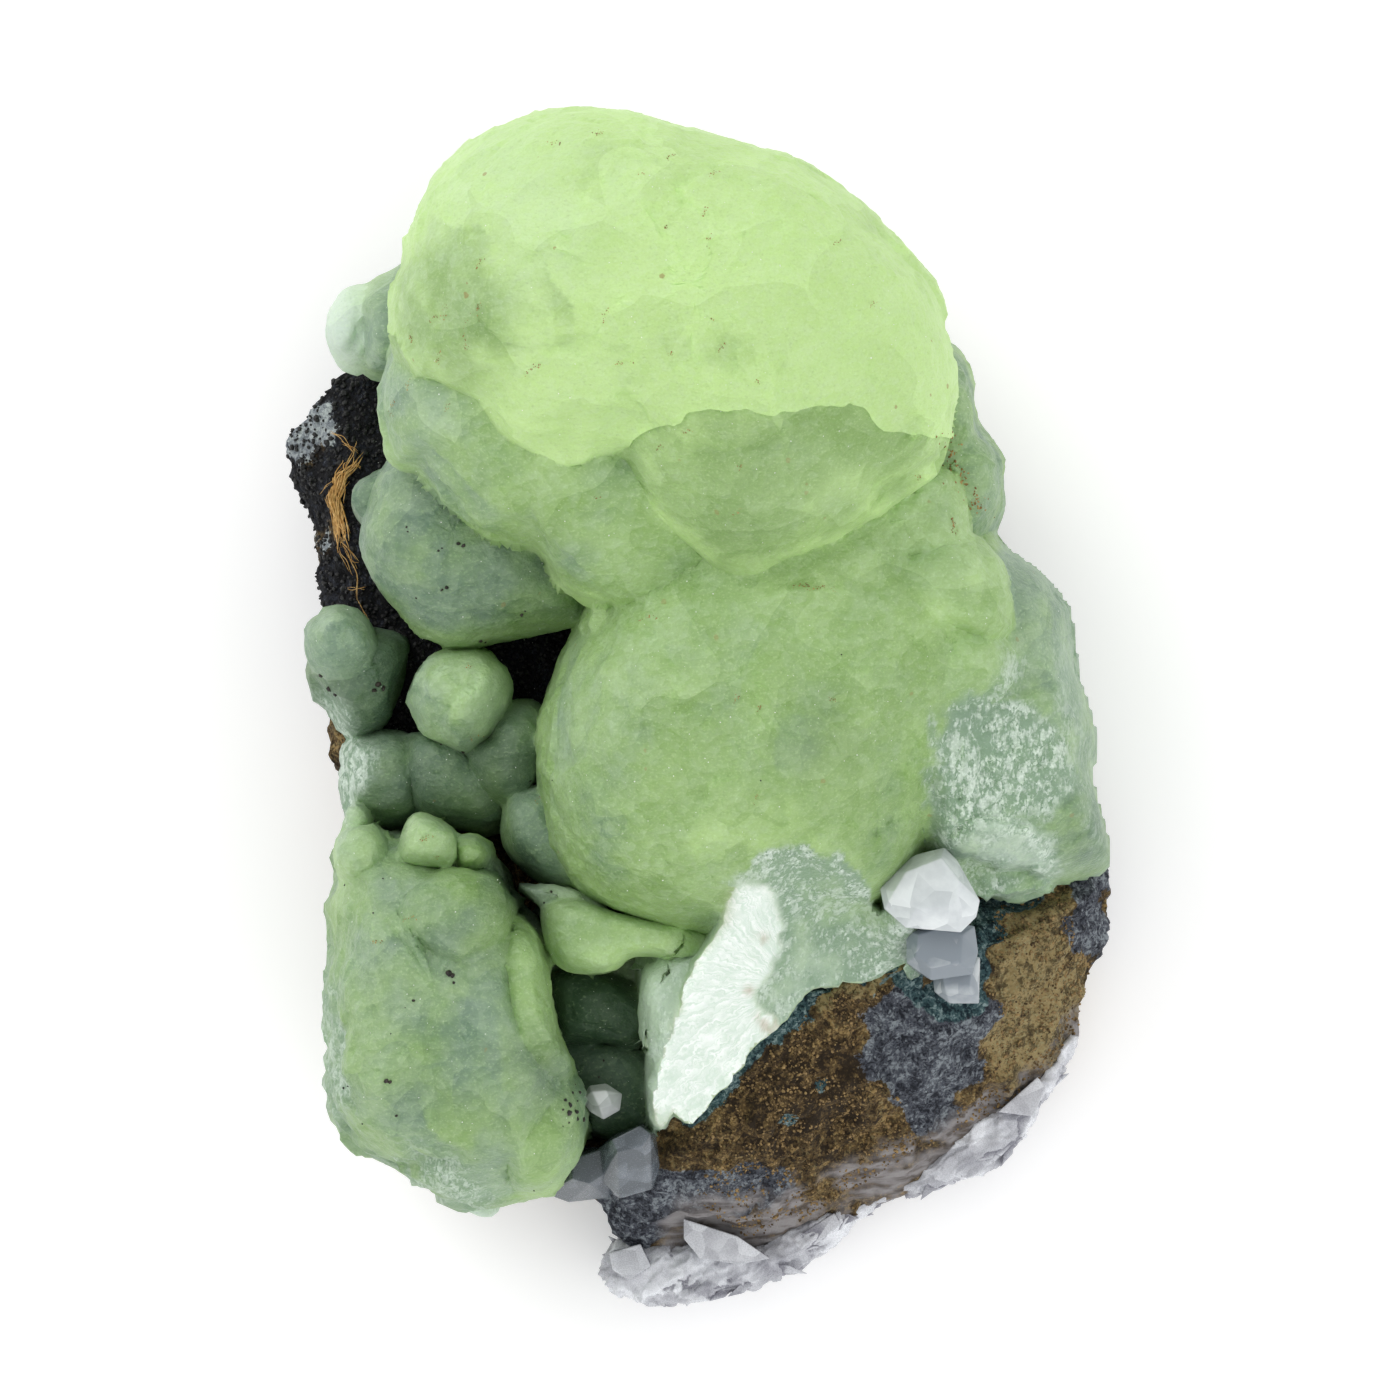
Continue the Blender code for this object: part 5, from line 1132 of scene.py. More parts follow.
# the broken ground at the lower right. Its floor climbs from the rock's edge line by a share of the way along the
# line and more and more away from it, and drops from the rim of the domes, with fibres fanning out of the rock and
# scalloped rough ground beside them. The crushed wall to the east follows the domes' own height
breakShape = dict(
    tip=(-1.4, -35.3), along=(0.70, 0.714), low=24.0, alongClimb=0.12, climb=0.80, bend=0.020, step=0.37, blend=1.3, lip=0.25,
    lensRim=[(21.5, -10.5), (23.6, -9.6), (25.7, -9.4), (27.6, -10.5), (29.2, -12.2),
        (30.0, -14.2)],
    wallGround=[(24.2, 19.9), (25.8, 14.0), (24.2, 9.7), (26.2, 5.5), (24.7, 1.2), (20.8, -0.6),
        (19.2, -7.3), (20.6, -12.4), (22.1, -18.3), (38.2, -18.3), (38.2, 19.9)],
    fan=(7.7, -23.8), mound=(17.3, -18.5), moundRise=4.0, saddle=(18.3, -15.1), saddleTop=28.5, footprint=[(-3.8, -36.6), (-5.1, -31.5), (-3.8, -25.1), (-2.4, -21.7), (-0.9, -17.9),
        (0.0, -14.9), (2.0, -12.4), (8.5, -9.8), (13.6, -9.8), (15.3, -7.3), (15.3, 1.2),
        (17.4, 7.2), (19.1, 13.1), (21.7, 18.2), (36.6, 18.2), (37.0, -17.0), (27.2, -17.5),
        (25.5, -21.7), (25.5, -27.7), (22.1, -30.2), (5.1, -37.0)],
    broken=[(-3.8, -36.6), (-5.1, -31.5), (-3.8, -25.1), (-2.4, -21.7), (-0.9, -17.9),
        (0.3, -15.6), (2.0, -14.8), (3.2, -13.9), (4.8, -12.8), (6.5, -12.4), (8.5, -12.0),
        (10.4, -12.5), (11.7, -13.0), (12.9, -14.1), (13.7, -14.9), (14.3, -16.1),
        (14.9, -17.0), (15.6, -17.8), (16.4, -16.0), (17.4, -14.2), (19.1, -13.4),
        (21.2, -12.9), (22.6, -13.0), (24.2, -13.4), (26.4, -13.6), (28.5, -14.4),
        (29.9, -15.3), (31.1, -15.9), (27.2, -17.9), (25.5, -21.7), (25.5, -27.7),
        (22.1, -30.2), (5.1, -37.0)],
    rim=[(-0.9, -17.9), (0.3, -15.6), (2.0, -14.8), (3.2, -13.9), (4.8, -12.8), (6.5, -12.4),
        (8.5, -12.0), (10.4, -12.5), (11.7, -13.0), (12.9, -14.1), (13.7, -14.9),
        (14.3, -16.1), (14.9, -17.0), (15.6, -18.3)],
    fanArea=[(1.4, -15.8), (2.4, -15.2), (3.8, -15.1), (5.1, -15.4), (6.1, -16.6), (6.7, -18.7),
        (6.5, -20.9), (5.4, -23.0), (4.6, -24.3), (4.8, -25.5), (6.4, -26.8), (6.6, -28.5),
        (4.7, -30.2), (0.0, -36.6), (-4.2, -36.6), (-5.1, -31.5), (-3.8, -25.1),
        (-2.4, -21.7), (-0.9, -19.2), (0.3, -17.0)],
    lens=[(21.6, -11.3), (21.9, -10.3), (23.0, -9.6), (24.7, -9.4), (25.9, -9.6),
        (27.4, -10.3), (28.6, -11.3), (29.4, -12.5), (29.9, -14.2), (28.9, -14.2),
        (27.2, -13.6), (25.5, -13.6), (23.8, -13.2), (22.5, -12.4)],
    low2=(-8.0, -42.0), high2=(37.5, 18.6))


def breakHeight(plan):
    shape = breakShape
    heart, wall = lobes["heart"], lobes["wall"]
    along = np.array(shape["along"])
    across = np.array((-along[1], along[0]))
    from0 = plan - shape["tip"]
    s, t = from0 @ along, from0 @ across
    floor = shape["low"] + shape["alongClimb"] * np.clip(s, 0, None) + shape["climb"] * t
    floor = floor + shape["bend"] * np.clip(t, 0, None) ** 2
    place = np.concatenate([plan, np.zeros((*plan.shape[:-1], 1))], axis=-1)
    bent = plan + 0.5 * np.stack([layeredNoise(place, 2.0, 3, k) for k in (38, 39)], axis=-1)
    heartTop, wallTop = lobeHeight(plan, heart), lobeHeight(plan, wall)
    domes = np.maximum(heartTop, wallTop) + shape["blend"] * np.log1p(
        np.exp(-np.abs(heartTop - wallTop) / shape["blend"]))
    toRim = distanceToPath(bent, shape["rim"])
    below = heartTop - 0.45 - 0.55 * toRim - 0.03 * toRim ** 2
    floor = np.maximum(floor, below) + np.log1p(np.exp(-np.abs(floor - below)))
    out = plan - shape["fan"]
    turn = np.arctan2(out[..., 1], out[..., 0]) + 0.04 * softNoise(place, 3.0, 31)
    far = np.linalg.norm(out, axis=-1)
    ray = np.stack([np.cos(turn) * 12, np.sin(turn) * 12, far * 0.22], axis=-1)
    fibres = 0.12 * softNoise(ray, 1.0, 33) + 0.10 * softNoise(ray * (2.6, 2.6, 1), 1.0, 34)
    fibres = fibres + 0.30 * layeredNoise(place, 2.2, 3, 48)
    near, after, number = cellDistance(place * (1, 0.8, 1) + 0.5 * layeredNoise(place, 2.5, 2, 42)[..., None], 3.2, 36)
    scallops = 0.9 * (number - 0.5) * smoothStep(after - near, 0.0, 0.25) + 0.8 * (near - 0.5)
    fineNear, fineAfter, fineNumber = cellDistance(place, 1.1, 40)
    rough = scallops + 0.30 * (fineNear - 0.5) + 0.22 * layeredNoise(place, 1.2, 3, 37)
    white = softInside(bent, shape["fanArea"], 0.7)
    steps = 0.30 * np.round(2.0 * layeredNoise(place * (1.0, 0.6, 1.0), 4.0, 2, 35)) / 2.0
    floor = floor + shape["moundRise"] * np.exp(-(np.linalg.norm(plan - shape["mound"], axis=-1) / 2.6) ** 2)
    floor = floor + white * (0.7 + fibres + steps) + (1 - white) * rough * smoothStep(toRim, 0.0, 1.2)
    tone = np.clip(0.72 + 0.8 * layeredNoise(place, 2.2, 3, 43) + 0.5 * (number - 0.5), 0, 1)
    lens = softInside(bent, shape["lens"], 0.25)
    points = np.concatenate([plan, domes[..., None]], axis=-1)
    even = np.ones(len(plan))
    marks = skinMarks(points)
    normal = ringNormals(points)
    toWall = smoothStep(wallTop - heartTop, -0.6, 0.6) * softInside(bent, shape["wallGround"], 0.8)
    tones = {}
    for lobe, share in ((heart, 1 - toWall), (wall, toWall)):
        full = dict(lobe, outlineMiddle=np.array(lobe["outline"]).mean(axis=0))
        for name, values in crustMask(points, normal, even, marks, full).items():
            tones[name] = tones.get(name, 0.0) + share * values
    sides = shape["footprint"]
    intoFootprint = np.where(insideLoop(plan, sides), distanceToPath(plan, [*sides, sides[0]]), 0.0)
    lip = shape["lip"] * (1.4 * smoothStep(1.2 - intoFootprint, 0.0, 1.2) - 1.0)
    skin = domes + skinRelief(points, even, marks, wall) + lip + 0.9 * lens
    broken = softInside(bent, shape["broken"], 0.35)
    height = skin * (1 - broken) + floor * broken
    height = np.maximum(height, shape["saddleTop"] - 0.2 * np.linalg.norm(plan - shape["saddle"], axis=-1) ** 2)
    return height, white * broken, tone, broken, lens, tones


def breakPiece():
    shape = breakShape
    step = shape["step"] * fine
    xs = np.arange(shape["low2"][0], shape["high2"][0], step)
    ys = np.arange(shape["low2"][1], shape["high2"][1], step)
    plan = np.stack(np.meshgrid(xs, ys, indexing="xy"), axis=-1)
    height, white, tone, broken, lens, tones = breakHeight(plan)
    rows, columns = height.shape
    under = np.concatenate([plan, height[..., None]], axis=-1).reshape(-1, 3)
    over = under.copy()
    over[:, 2] = 70.0
    index = np.arange(rows * columns).reshape(rows, columns)
    a, b, c, d = index[:-1, :-1].ravel(), index[:-1, 1:].ravel(), index[1:, 1:].ravel(), index[1:, :-1].ravel()
    shift = rows * columns
    lower = np.stack([a, d, c, b], axis=1)
    upper = np.stack([a, b, c, d], axis=1) + shift
    rim = np.concatenate([index[0, :], index[1:, -1], index[-1, -2::-1], index[-2:0:-1, 0]])
    after = np.roll(rim, -1)
    walls = np.stack([rim, after, after + shift, rim + shift], axis=1)
    faces = np.concatenate([lower, upper, walls]).tolist()
    place = np.concatenate([plan, np.zeros((rows, columns, 1))], axis=-1)
    rust = np.zeros(plan.shape[:-1])
    for spot, reach in (((5.2, -20.0), 0.5), ((5.8, -26.8), 0.9), ((4.1, -24.3), 0.4), ((11.2, -17.0), 0.3)):
        rust += np.exp(-(np.linalg.norm(plan - spot, axis=-1) / reach) ** 2)
    rust = np.clip(rust * (0.45 + 0.8 * softNoise(place, 0.6, 41)), 0, 0.6)
    nearFan = np.exp(-distanceToPath(plan, shape["fanArea"][:14]) / 3.0)
    nearRock = np.exp(-distanceToPath(plan, [(3.4, -30.5), (6.8, -27.9), (9.5, -23.9), (13.8, -23.2), (17.4, -21.3)]) / 3.6)
    lensRim = np.exp(-(distanceToPath(plan, shape["lensRim"]) / 0.6) ** 2) * (1 - broken)
    values = {
        "yellow": 0.34 * broken + tones["yellow"] * (1 - broken),
        "milk": (1 - white) * (0.5 * lensRim + broken * (0.02 + 0.3 * nearFan + 0.75 * nearRock) + (1 - broken) * (tones["milk"] + 0.4 * lens)),
        "shade": (1 - white) * tones["shade"] * (1 - broken),
        "rust": rust * broken + (1 - broken) * tones["rust"],
        "crush": (1 - white) * (broken * np.clip(0.25 + 0.75 * tone, 0, 1) + (1 - broken) * np.maximum(tones["crush"], lensRim)),
        "fan": white,
        "kind": 0 * white + 99,
    }
    masks = {name: np.tile(column.ravel(), 2) for name, column in values.items()}
    lid = makePiece("break", np.concatenate([under, over]), faces, masks, crustSkins)
    place = np.array(shape["footprint"])
    length = np.linalg.norm(np.roll(place, -1, axis=0) - place, axis=1).sum()
    loop = smoothLoop(place, int(length / 0.3))
    spots = np.column_stack([loop, np.zeros(len(loop))])
    loop = loop + 0.35 * np.stack([layeredNoise(spots, 1.2, 3, k) for k in (44, 45)], axis=1)
    return combined("break", lid, [prismPiece("breakSides", loop, 0.0, 80.0)], "INTERSECT")


# where two lobes meet, the groove between them is filled: a weight of 1 on the seam between lobes of one family and
# less between strangers falls off with the way walked along the mesh; where the mean of the neighbours lies outside
# the skin, a point is moved out to it by that weight, and the tones of both sides run together
def fillGrooves(piece):
    mesh = piece.data
    verts = pointsOf(piece)
    ends = np.zeros(len(mesh.edges) * 2, np.int32)
    mesh.edges.foreach_get("vertices", ends)
    first, second = ends.reshape(-1, 2).T
    flat = np.zeros(len(verts) * 3, np.float32)
    mesh.vertices.foreach_get("normal", flat)
    normal = flat.reshape(-1, 3).astype(float)
    values = {}
    for name in (*crustMasks, "kind"):
        column = np.zeros(len(verts), np.float32)
        mesh.attributes[name].data.foreach_get("value", column)
        values[name] = column.astype(float)
    kind = np.round(values.pop("kind"))
    for _ in range(grooves["repairs"]):
        found = (kind > 0).astype(float)
        known = np.maximum(np.bincount(first, found[second], len(verts))
                           + np.bincount(second, found[first], len(verts)), 0.5)
        for name in values:
            column = values[name] * found
            around = np.bincount(first, column[second], len(verts)) + np.bincount(second, column[first], len(verts))
            values[name] = np.where(kind > 0, values[name], around / known)
        nearKind = np.zeros(len(verts))
        np.maximum.at(nearKind, first, kind[second])
        np.maximum.at(nearKind, second, kind[first])
        kind = np.where(kind > 0, kind, nearKind)
    differ = kind[first] != kind[second]
    known = (kind[first] != 99) & (kind[second] != 99)
    close = kind[first] // 100 == kind[second] // 100
    strength = np.where(close, 1.0, grooves["strangers"]) * (differ & known)
    weight, reach = np.zeros(len(verts)), np.zeros(len(verts))
    for side in (first, second):
        np.maximum.at(weight, side, strength)
        np.maximum.at(reach, side, np.where(close, grooves["reach"], grooves["shortReach"]) * (strength > 0))
    length = np.linalg.norm(verts[first] - verts[second], axis=1)
    for _ in range(grooves["walks"]):
        for here, there in ((first, second), (second, first)):
            fall = np.exp(-length / np.maximum(reach[here], 0.05))
            np.maximum.at(weight, there, weight[here] * fall)
            np.maximum.at(reach, there, reach[here] * (weight[here] > 0.02))
    count = np.maximum(np.bincount(first, minlength=len(verts)) + np.bincount(second, minlength=len(verts)), 1)

    def mean(column):
        total = np.bincount(first, column[second], len(verts)) + np.bincount(second, column[first], len(verts))
        return total / count

    for _ in range(int(grooves["passes"] / fine**2)):
        middle = np.stack([mean(verts[:, k]) for k in range(3)], axis=1)
        out = np.maximum(((middle - verts) * normal).sum(axis=1), 0)
        verts = verts + normal * (0.95 * weight * out)[:, None]
        for name in values:
            values[name] += 0.8 * weight * (mean(values[name]) - values[name])
    mesh.vertices.foreach_set("co", (verts * mm).astype(np.float32).ravel())
    for name in values:
        mesh.attributes[name].data.foreach_set("value", values[name].astype(np.float32))
    mesh.attributes.remove(mesh.attributes["kind"])
    mesh.update()
    mesh.set_sharp_from_angle(angle=math.radians(grooves["sharp"]))


families = [("crown", "shoulder"), ("heart", "eastCrest", "eastDome", "eastLow", "fanLobe"), ("wall", "wallTop"),
            ("block", "blockLobe", "blockBack", "blockLow"), ("tongue", "tongueRim"),
            ("blockCrest", "blockCrestEast", "blockBud", "blockBudSmall")]
grooves = dict(strangers=0.5, reach=2.2, shortReach=0.5, walks=10, passes=17, sharp=62, repairs=6)


def makePrehnite():
    sunk = {"crown": -crownSkin["rise"]}
    pieces = {}
    for name, shape in lobes.items():
        crest, widest, underside = shape["heights"]
        taller = dict(shape, heights=(crest + shape.get("spare", 0.0), widest, underside))
        pieces[name] = lobePiece(name, taller, sunk.get(name, 0.0), kindOf(name))
    tone = dict(yellow=crownSkin["yellow"], milk=crownSkin["milk"], rust=1.0, glow=0.05)
    skin = lobePiece("skin", dict(lobes["crown"], **tone), 0.0, kindOf("crown"))
    edge = raggedEdge(crownSkin["edge"])
    around = np.concatenate([edge, crownSkin["around"]])
    skin = combined("skin", skin, [prismPiece("trim", around, -5.0, 80.0)], "INTERSECT")
    others = [pieces.pop(name) for name in ("fanLobe", "wall", "greenSlab", "tongue")]
    broken = combined("broken", pieces.pop("heart"), others)
    broken = combined("broken", broken, [breakPiece()], "DIFFERENCE")
    first = pieces.pop("crown")
    piece = combined("prehniteCrust", first, [skin, broken, *pieces.values()])
    fillGrooves(piece)
    return piece


prehnite = makePrehnite()
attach(prehnite, "root")
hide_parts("prehnite")
print("stage: prehnite joined,", sum(len(p.vertices) - 2 for p in prehnite.data.polygons), "triangles")


# the host rock
# one row for each direction, as (widest outline, its height, share of the way out and height where the side
# turns over, height nearer the middle)
rockRows = [
    ((35.2, -15.0), 8.0, 0.94, 15.0, 14.0), ((30.0, -3.0), 9.0, 0.80, 13.0, 14.0),
    ((28.0, 8.0), 9.0, 0.80, 13.0, 14.0), ((21.5, 20.0), 9.0, 0.80, 13.0, 14.0),
    ((16.5, 32.0), 9.0, 0.80, 13.0, 14.0), ((7.0, 41.0), 9.0, 0.80, 13.0, 14.0),
    ((-6.0, 44.0), 9.0, 0.80, 13.0, 14.0), ((-16.0, 41.5), 9.0, 0.80, 13.0, 14.0),
    ((-24.0, 33.0), 11.0, 0.80, 16.0, 15.0), ((-31.6, 27.4), 15.0, 0.86, 19.0, 18.0),
    ((-35.2, 20.6), 14.0, 0.86, 19.5, 19.5), ((-33.2, 15.0), 13.5, 0.88, 19.0, 19.5),
    ((-32.6, 9.0), 13.0, 0.88, 18.5, 19.5), ((-32.2, 1.0), 12.0, 0.86, 17.5, 19.0),
    ((-31.0, -8.0), 11.0, 0.82, 14.0, 16.0), ((-29.5, -18.0), 10.0, 0.82, 13.0, 14.0),
    ((-28.4, -29.0), 10.0, 0.82, 13.0, 14.0), ((-25.6, -37.4), 10.0, 0.82, 13.0, 14.0),
    ((-17.0, -40.4), 10.0, 0.82, 13.0, 14.0), ((-9.6, -43.0), 9.0, 0.80, 14.0, 14.0),
    ((-6.6, -46.2), 8.0, 0.76, 18.0, 14.0), ((0.6, -47.4), 7.0, 0.68, 21.5, 15.0),
    ((7.4, -46.6), 6.5, 0.58, 23.5, 16.0), ((14.0, -43.8), 6.0, 0.54, 24.0, 17.0),
    ((20.6, -41.2), 6.0, 0.55, 24.0, 17.0), ((26.6, -36.8), 6.0, 0.58, 24.0, 17.0),
    ((31.4, -30.8), 6.0, 0.66, 22.5, 16.0), ((34.2, -23.0), 7.0, 0.80, 19.5, 15.0),
]
rockShape = dict(
    centre=(0.0, -4.0), foot=0.9, inner=0.4, sides=620, ringsBetween=(7, 11, 34, 32, 24, 8, 3), brow=0.30,
    closeViews=[(-50.0, 42.0, 2.2), (170.0, 40.0, 1.2)])
tealLine = [(-1.4, -35.5), (0.0, -34.3), (1.7, -32.6), (3.4, -30.5), (5.1, -28.8), (6.8, -27.8),
        (8.5, -25.3), (9.5, -23.9), (13.8, -23.5), (17.3, -21.4), (17.5, -22.7),
        (18.5, -24.4), (20.8, -25.5), (23.5, -25.5), (24.3, -20.0), (23.5, -17.0),
        (25.5, -16.2), (28.1, -15.9)]
greyPatch = [(13.8, -26.0), (17.0, -23.8), (25.5, -25.5), (25.5, -27.7), (24.2, -29.4),
        (24.2, -31.9), (22.1, -33.6), (21.9, -36.2), (20.4, -37.2), (18.3, -36.6),
        (17.4, -34.0), (15.3, -32.3), (13.4, -31.1)]
cornerPatch = [(30.8, -14.2), (35.3, -12.4), (35.5, -21.7), (33.6, -22.1), (32.1, -20.9),
        (31.6, -17.0)]
footPatch = [(-9.4, -41.7), (-5.1, -40.8), (-0.9, -40.0), (5.1, -40.2), (8.5, -41.7),
        (7.7, -43.4), (0.0, -44.8), (-5.1, -47.4), (-8.5, -45.5)]
blackPatch = [(-36.1, 31.0), (-25.5, 31.0), (-25.5, 22.5), (-8.5, 12.3), (-8.5, -4.7),
        (-23.8, -4.7), (-31.0, -1.3), (-34.0, 5.5), (-36.6, 19.1)]
veilPatch = [(-0.9, -42.5), (5.1, -42.1), (11.1, -40.8), (15.3, -37.9), (19.6, -37.0),
        (25.5, -33.6), (29.8, -31.1), (32.7, -26.8), (34.4, -21.7), (36.6, -21.7),
        (35.7, -30.2), (29.8, -38.7), (17.0, -44.7), (5.1, -52.3), (-3.4, -53.2),
        (-3.4, -45.5)]
ochrePatch = [(24.2, -15.8), (30.6, -13.9), (32.3, -21.7), (34.0, -24.3), (32.3, -30.2),
        (25.5, -33.6), (24.7, -28.5), (25.5, -21.7)]
finger = [(10.2, -26.0), (12.8, -24.4), (15.3, -23.1), (17.2, -21.5)]
quartzPatch = [(-35.4, 25.9), (-32.1, 25.9), (-32.1, 22.5), (-34.0, 20.4), (-35.7, 21.6)]
quartzFoot = [(-34.2, 14.8), (-32.3, 14.8), (-32.1, 12.3), (-33.8, 11.9)]
umberPatch = [(3.0, -30.4), (6.0, -28.5), (12.8, -28.5), (14.6, -31.9), (12.3, -37.0),
        (5.1, -38.0), (1.5, -35.3)]


def rockMasks(grid):
    plan = grid[..., :2]
    rough = layeredNoise(grid, 3.5, 4, 51)
    bent = plan + 0.9 * np.stack([layeredNoise(grid, 2.4, 3, s) for s in (52, 53)], axis=-1)
    near = distanceToPath(bent, tealLine) + 0.35 * rough
    spots = np.minimum(np.linalg.norm(bent - (10.9, -32.9), axis=-1), np.linalg.norm(bent - (8.1, -35.3), axis=-1))
    teal = np.maximum(smoothStep(1.45 - near, 0, 0.6), 0.8 * smoothStep(0.9 - spots, 0, 0.4))
    onFinger = smoothStep(0.75 - distanceToPath(bent, finger), 0, 0.4)
    grey = np.maximum.reduce([
        softInside(bent, greyPatch, 0.8), softInside(bent, cornerPatch, 0.8), softInside(bent, footPatch, 0.8)])
    out = smoothStep(plan[..., 1] + 0.4 * plan[..., 0], 0, 6) * smoothStep(rough, -0.3, 0.2)
    veil = softInside(bent, veilPatch, 1.6) * smoothStep(rough, -0.75, -0.1)
    black = softInside(bent, blackPatch, 1.0)
    quartz = np.maximum(softInside(bent, quartzPatch, 0.8), 0.9 * softInside(bent, quartzFoot, 0.8))
    return {
        "teal": teal * (1 - onFinger), "grey": np.clip(grey + out, 0, 1) * (1 - onFinger), "black": black * (1 - quartz),
        "milk": quartz * smoothStep(rough, -0.6, 0.0), "veil": veil,
        "ochre": np.maximum(softInside(bent, ochrePatch, 1.6), onFinger) - 0.8 * softInside(bent, umberPatch, 3.0)}


# the rock: rings from the flat foot out to the widest outline, over the brow and the shelf to the middle, closer
# together where they are seen, broken up by blocks, crumbs and layered noise
def rockGrid():
    shape = rockShape
    sides = int(shape["sides"] / fine)
    rows = smoothLoop([[*plan, *rest] for plan, *rest in rockRows], 4000)
    centre = np.array(shape["centre"])
    turn = np.degrees(np.arctan2(rows[:, 1] - centre[1], rows[:, 0] - centre[0]))
    weight = np.ones(len(rows))
    for middle, spread, extra in shape["closeViews"]:
        off = (turn - middle + 180) % 360 - 180
        weight += extra * np.exp(-(off / spread) ** 2)
    walked = np.cumsum(weight) / weight.sum()
    rows = rows[np.searchsorted(walked, (np.arange(sides) + 0.5) / sides)]
    if (rows[:, 0] * np.roll(rows[:, 1], -1) - np.roll(rows[:, 0], -1) * rows[:, 1]).sum() < 0:
        rows = rows[::-1]
    reach = rows[:, :2] - centre
    widest, shelf, shelfHeight, innerHeight = rows[:, 2:].T
    flat = np.ones(sides)
    foot, inner = shape["foot"] * flat, shape["inner"] * flat
    browHeight = shelfHeight - shape["brow"] * (shelfHeight - widest)
    knots = [(foot, 0 * flat), ((foot + 1) / 2 + 0.012, 0.4 * widest), (flat, widest), ((1 + shelf) / 2, browHeight),
             (shelf, shelfHeight), ((shelf + inner) / 2, (shelfHeight + innerHeight) / 2), (inner, innerHeight),
             (inner / 6, innerHeight.mean() * flat)]
    shares = np.stack([k[0] for k in knots])
    heights = np.stack([k[1] for k in knots])
    counts = [max(2, int(n / fine)) for n in shape["ringsBetween"]]
    walked = np.concatenate([k + np.arange(n) / n for k, n in enumerate(counts)])
    index = walked.astype(int)
    t = (walked - index)[:, None]
    before, after = np.maximum(index - 1, 0), np.minimum(index + 2, len(knots) - 1)

    def blend(values):
        p0, p1, p2, p3 = values[before], values[index], values[index + 1], values[after]
        smooth = 0.5 * (2 * p1 + (p2 - p0) * t + (2 * p0 - 5 * p1 + 4 * p2 - p3) * t**2
                        + (3 * p1 - p0 - 3 * p2 + p3) * t**3)
        return 0.6 * smooth + 0.4 * (p1 * (1 - t) + p2 * t)

    share, height = blend(shares), np.maximum(blend(heights), 0)
    grid = np.concatenate([centre + reach[None] * share[..., None], height[..., None]], axis=2)
    masks = rockMasks(grid)
    keep = smoothStep(height, 0.0, 2.0)
    grid = grid + ringNormals(grid) * (rockRelief(grid, masks) * keep)[..., None]
    grid[..., 2] = np.maximum(grid[..., 2], 0)
    grid[0, :, 2] = 0
    return grid, masks


def rockRelief(grid, masks):
    warped = grid + 0.8 * np.stack([layeredNoise(grid, 2.5, 2, s) for s in (64, 65, 66)], axis=-1)
    near, after, number = cellDistance(warped, 5.0, 61)
    blocks = 1.1 * (number - 0.5) * smoothStep(after - near, 0.0, 0.3) + 0.6 * (near - 0.5)
    smallNear, smallAfter, smallNumber = cellDistance(warped, 1.6, 62)
    crumbs = 0.5 * (smallNumber - 0.5) * smoothStep(smallAfter - smallNear, 0.0, 0.25) + 0.3 * (0.5 - smallNear)
    grains = cellDistance(grid, 0.75, 67)[0]
    fineNoise = layeredNoise(grid, 2.0, 4, 63)
    smoothPart = 1 - 0.65 * masks["veil"]
    return (blocks + (crumbs + 0.30 * fineNoise + 0.30 * (0.5 - grains)) * smoothPart) - 0.45 + 0.3 * masks["milk"]


def makeRock():
    grid, masks = rockGrid()
    bottom = np.array([*rockShape["centre"], 0.0])
    verts = np.concatenate([grid.reshape(-1, 3), [bottom, grid[-1].mean(axis=0)]])
    return makePiece("hostRock", verts, ringFaces(*grid.shape[:2]), closedMasks(masks), [hostRock])


rock = makeRock()
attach(rock, "root")
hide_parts("matrix_rock")
print("stage: rock made,", sum(len(p.vertices) - 2 for p in rock.data.polygons), "triangles")
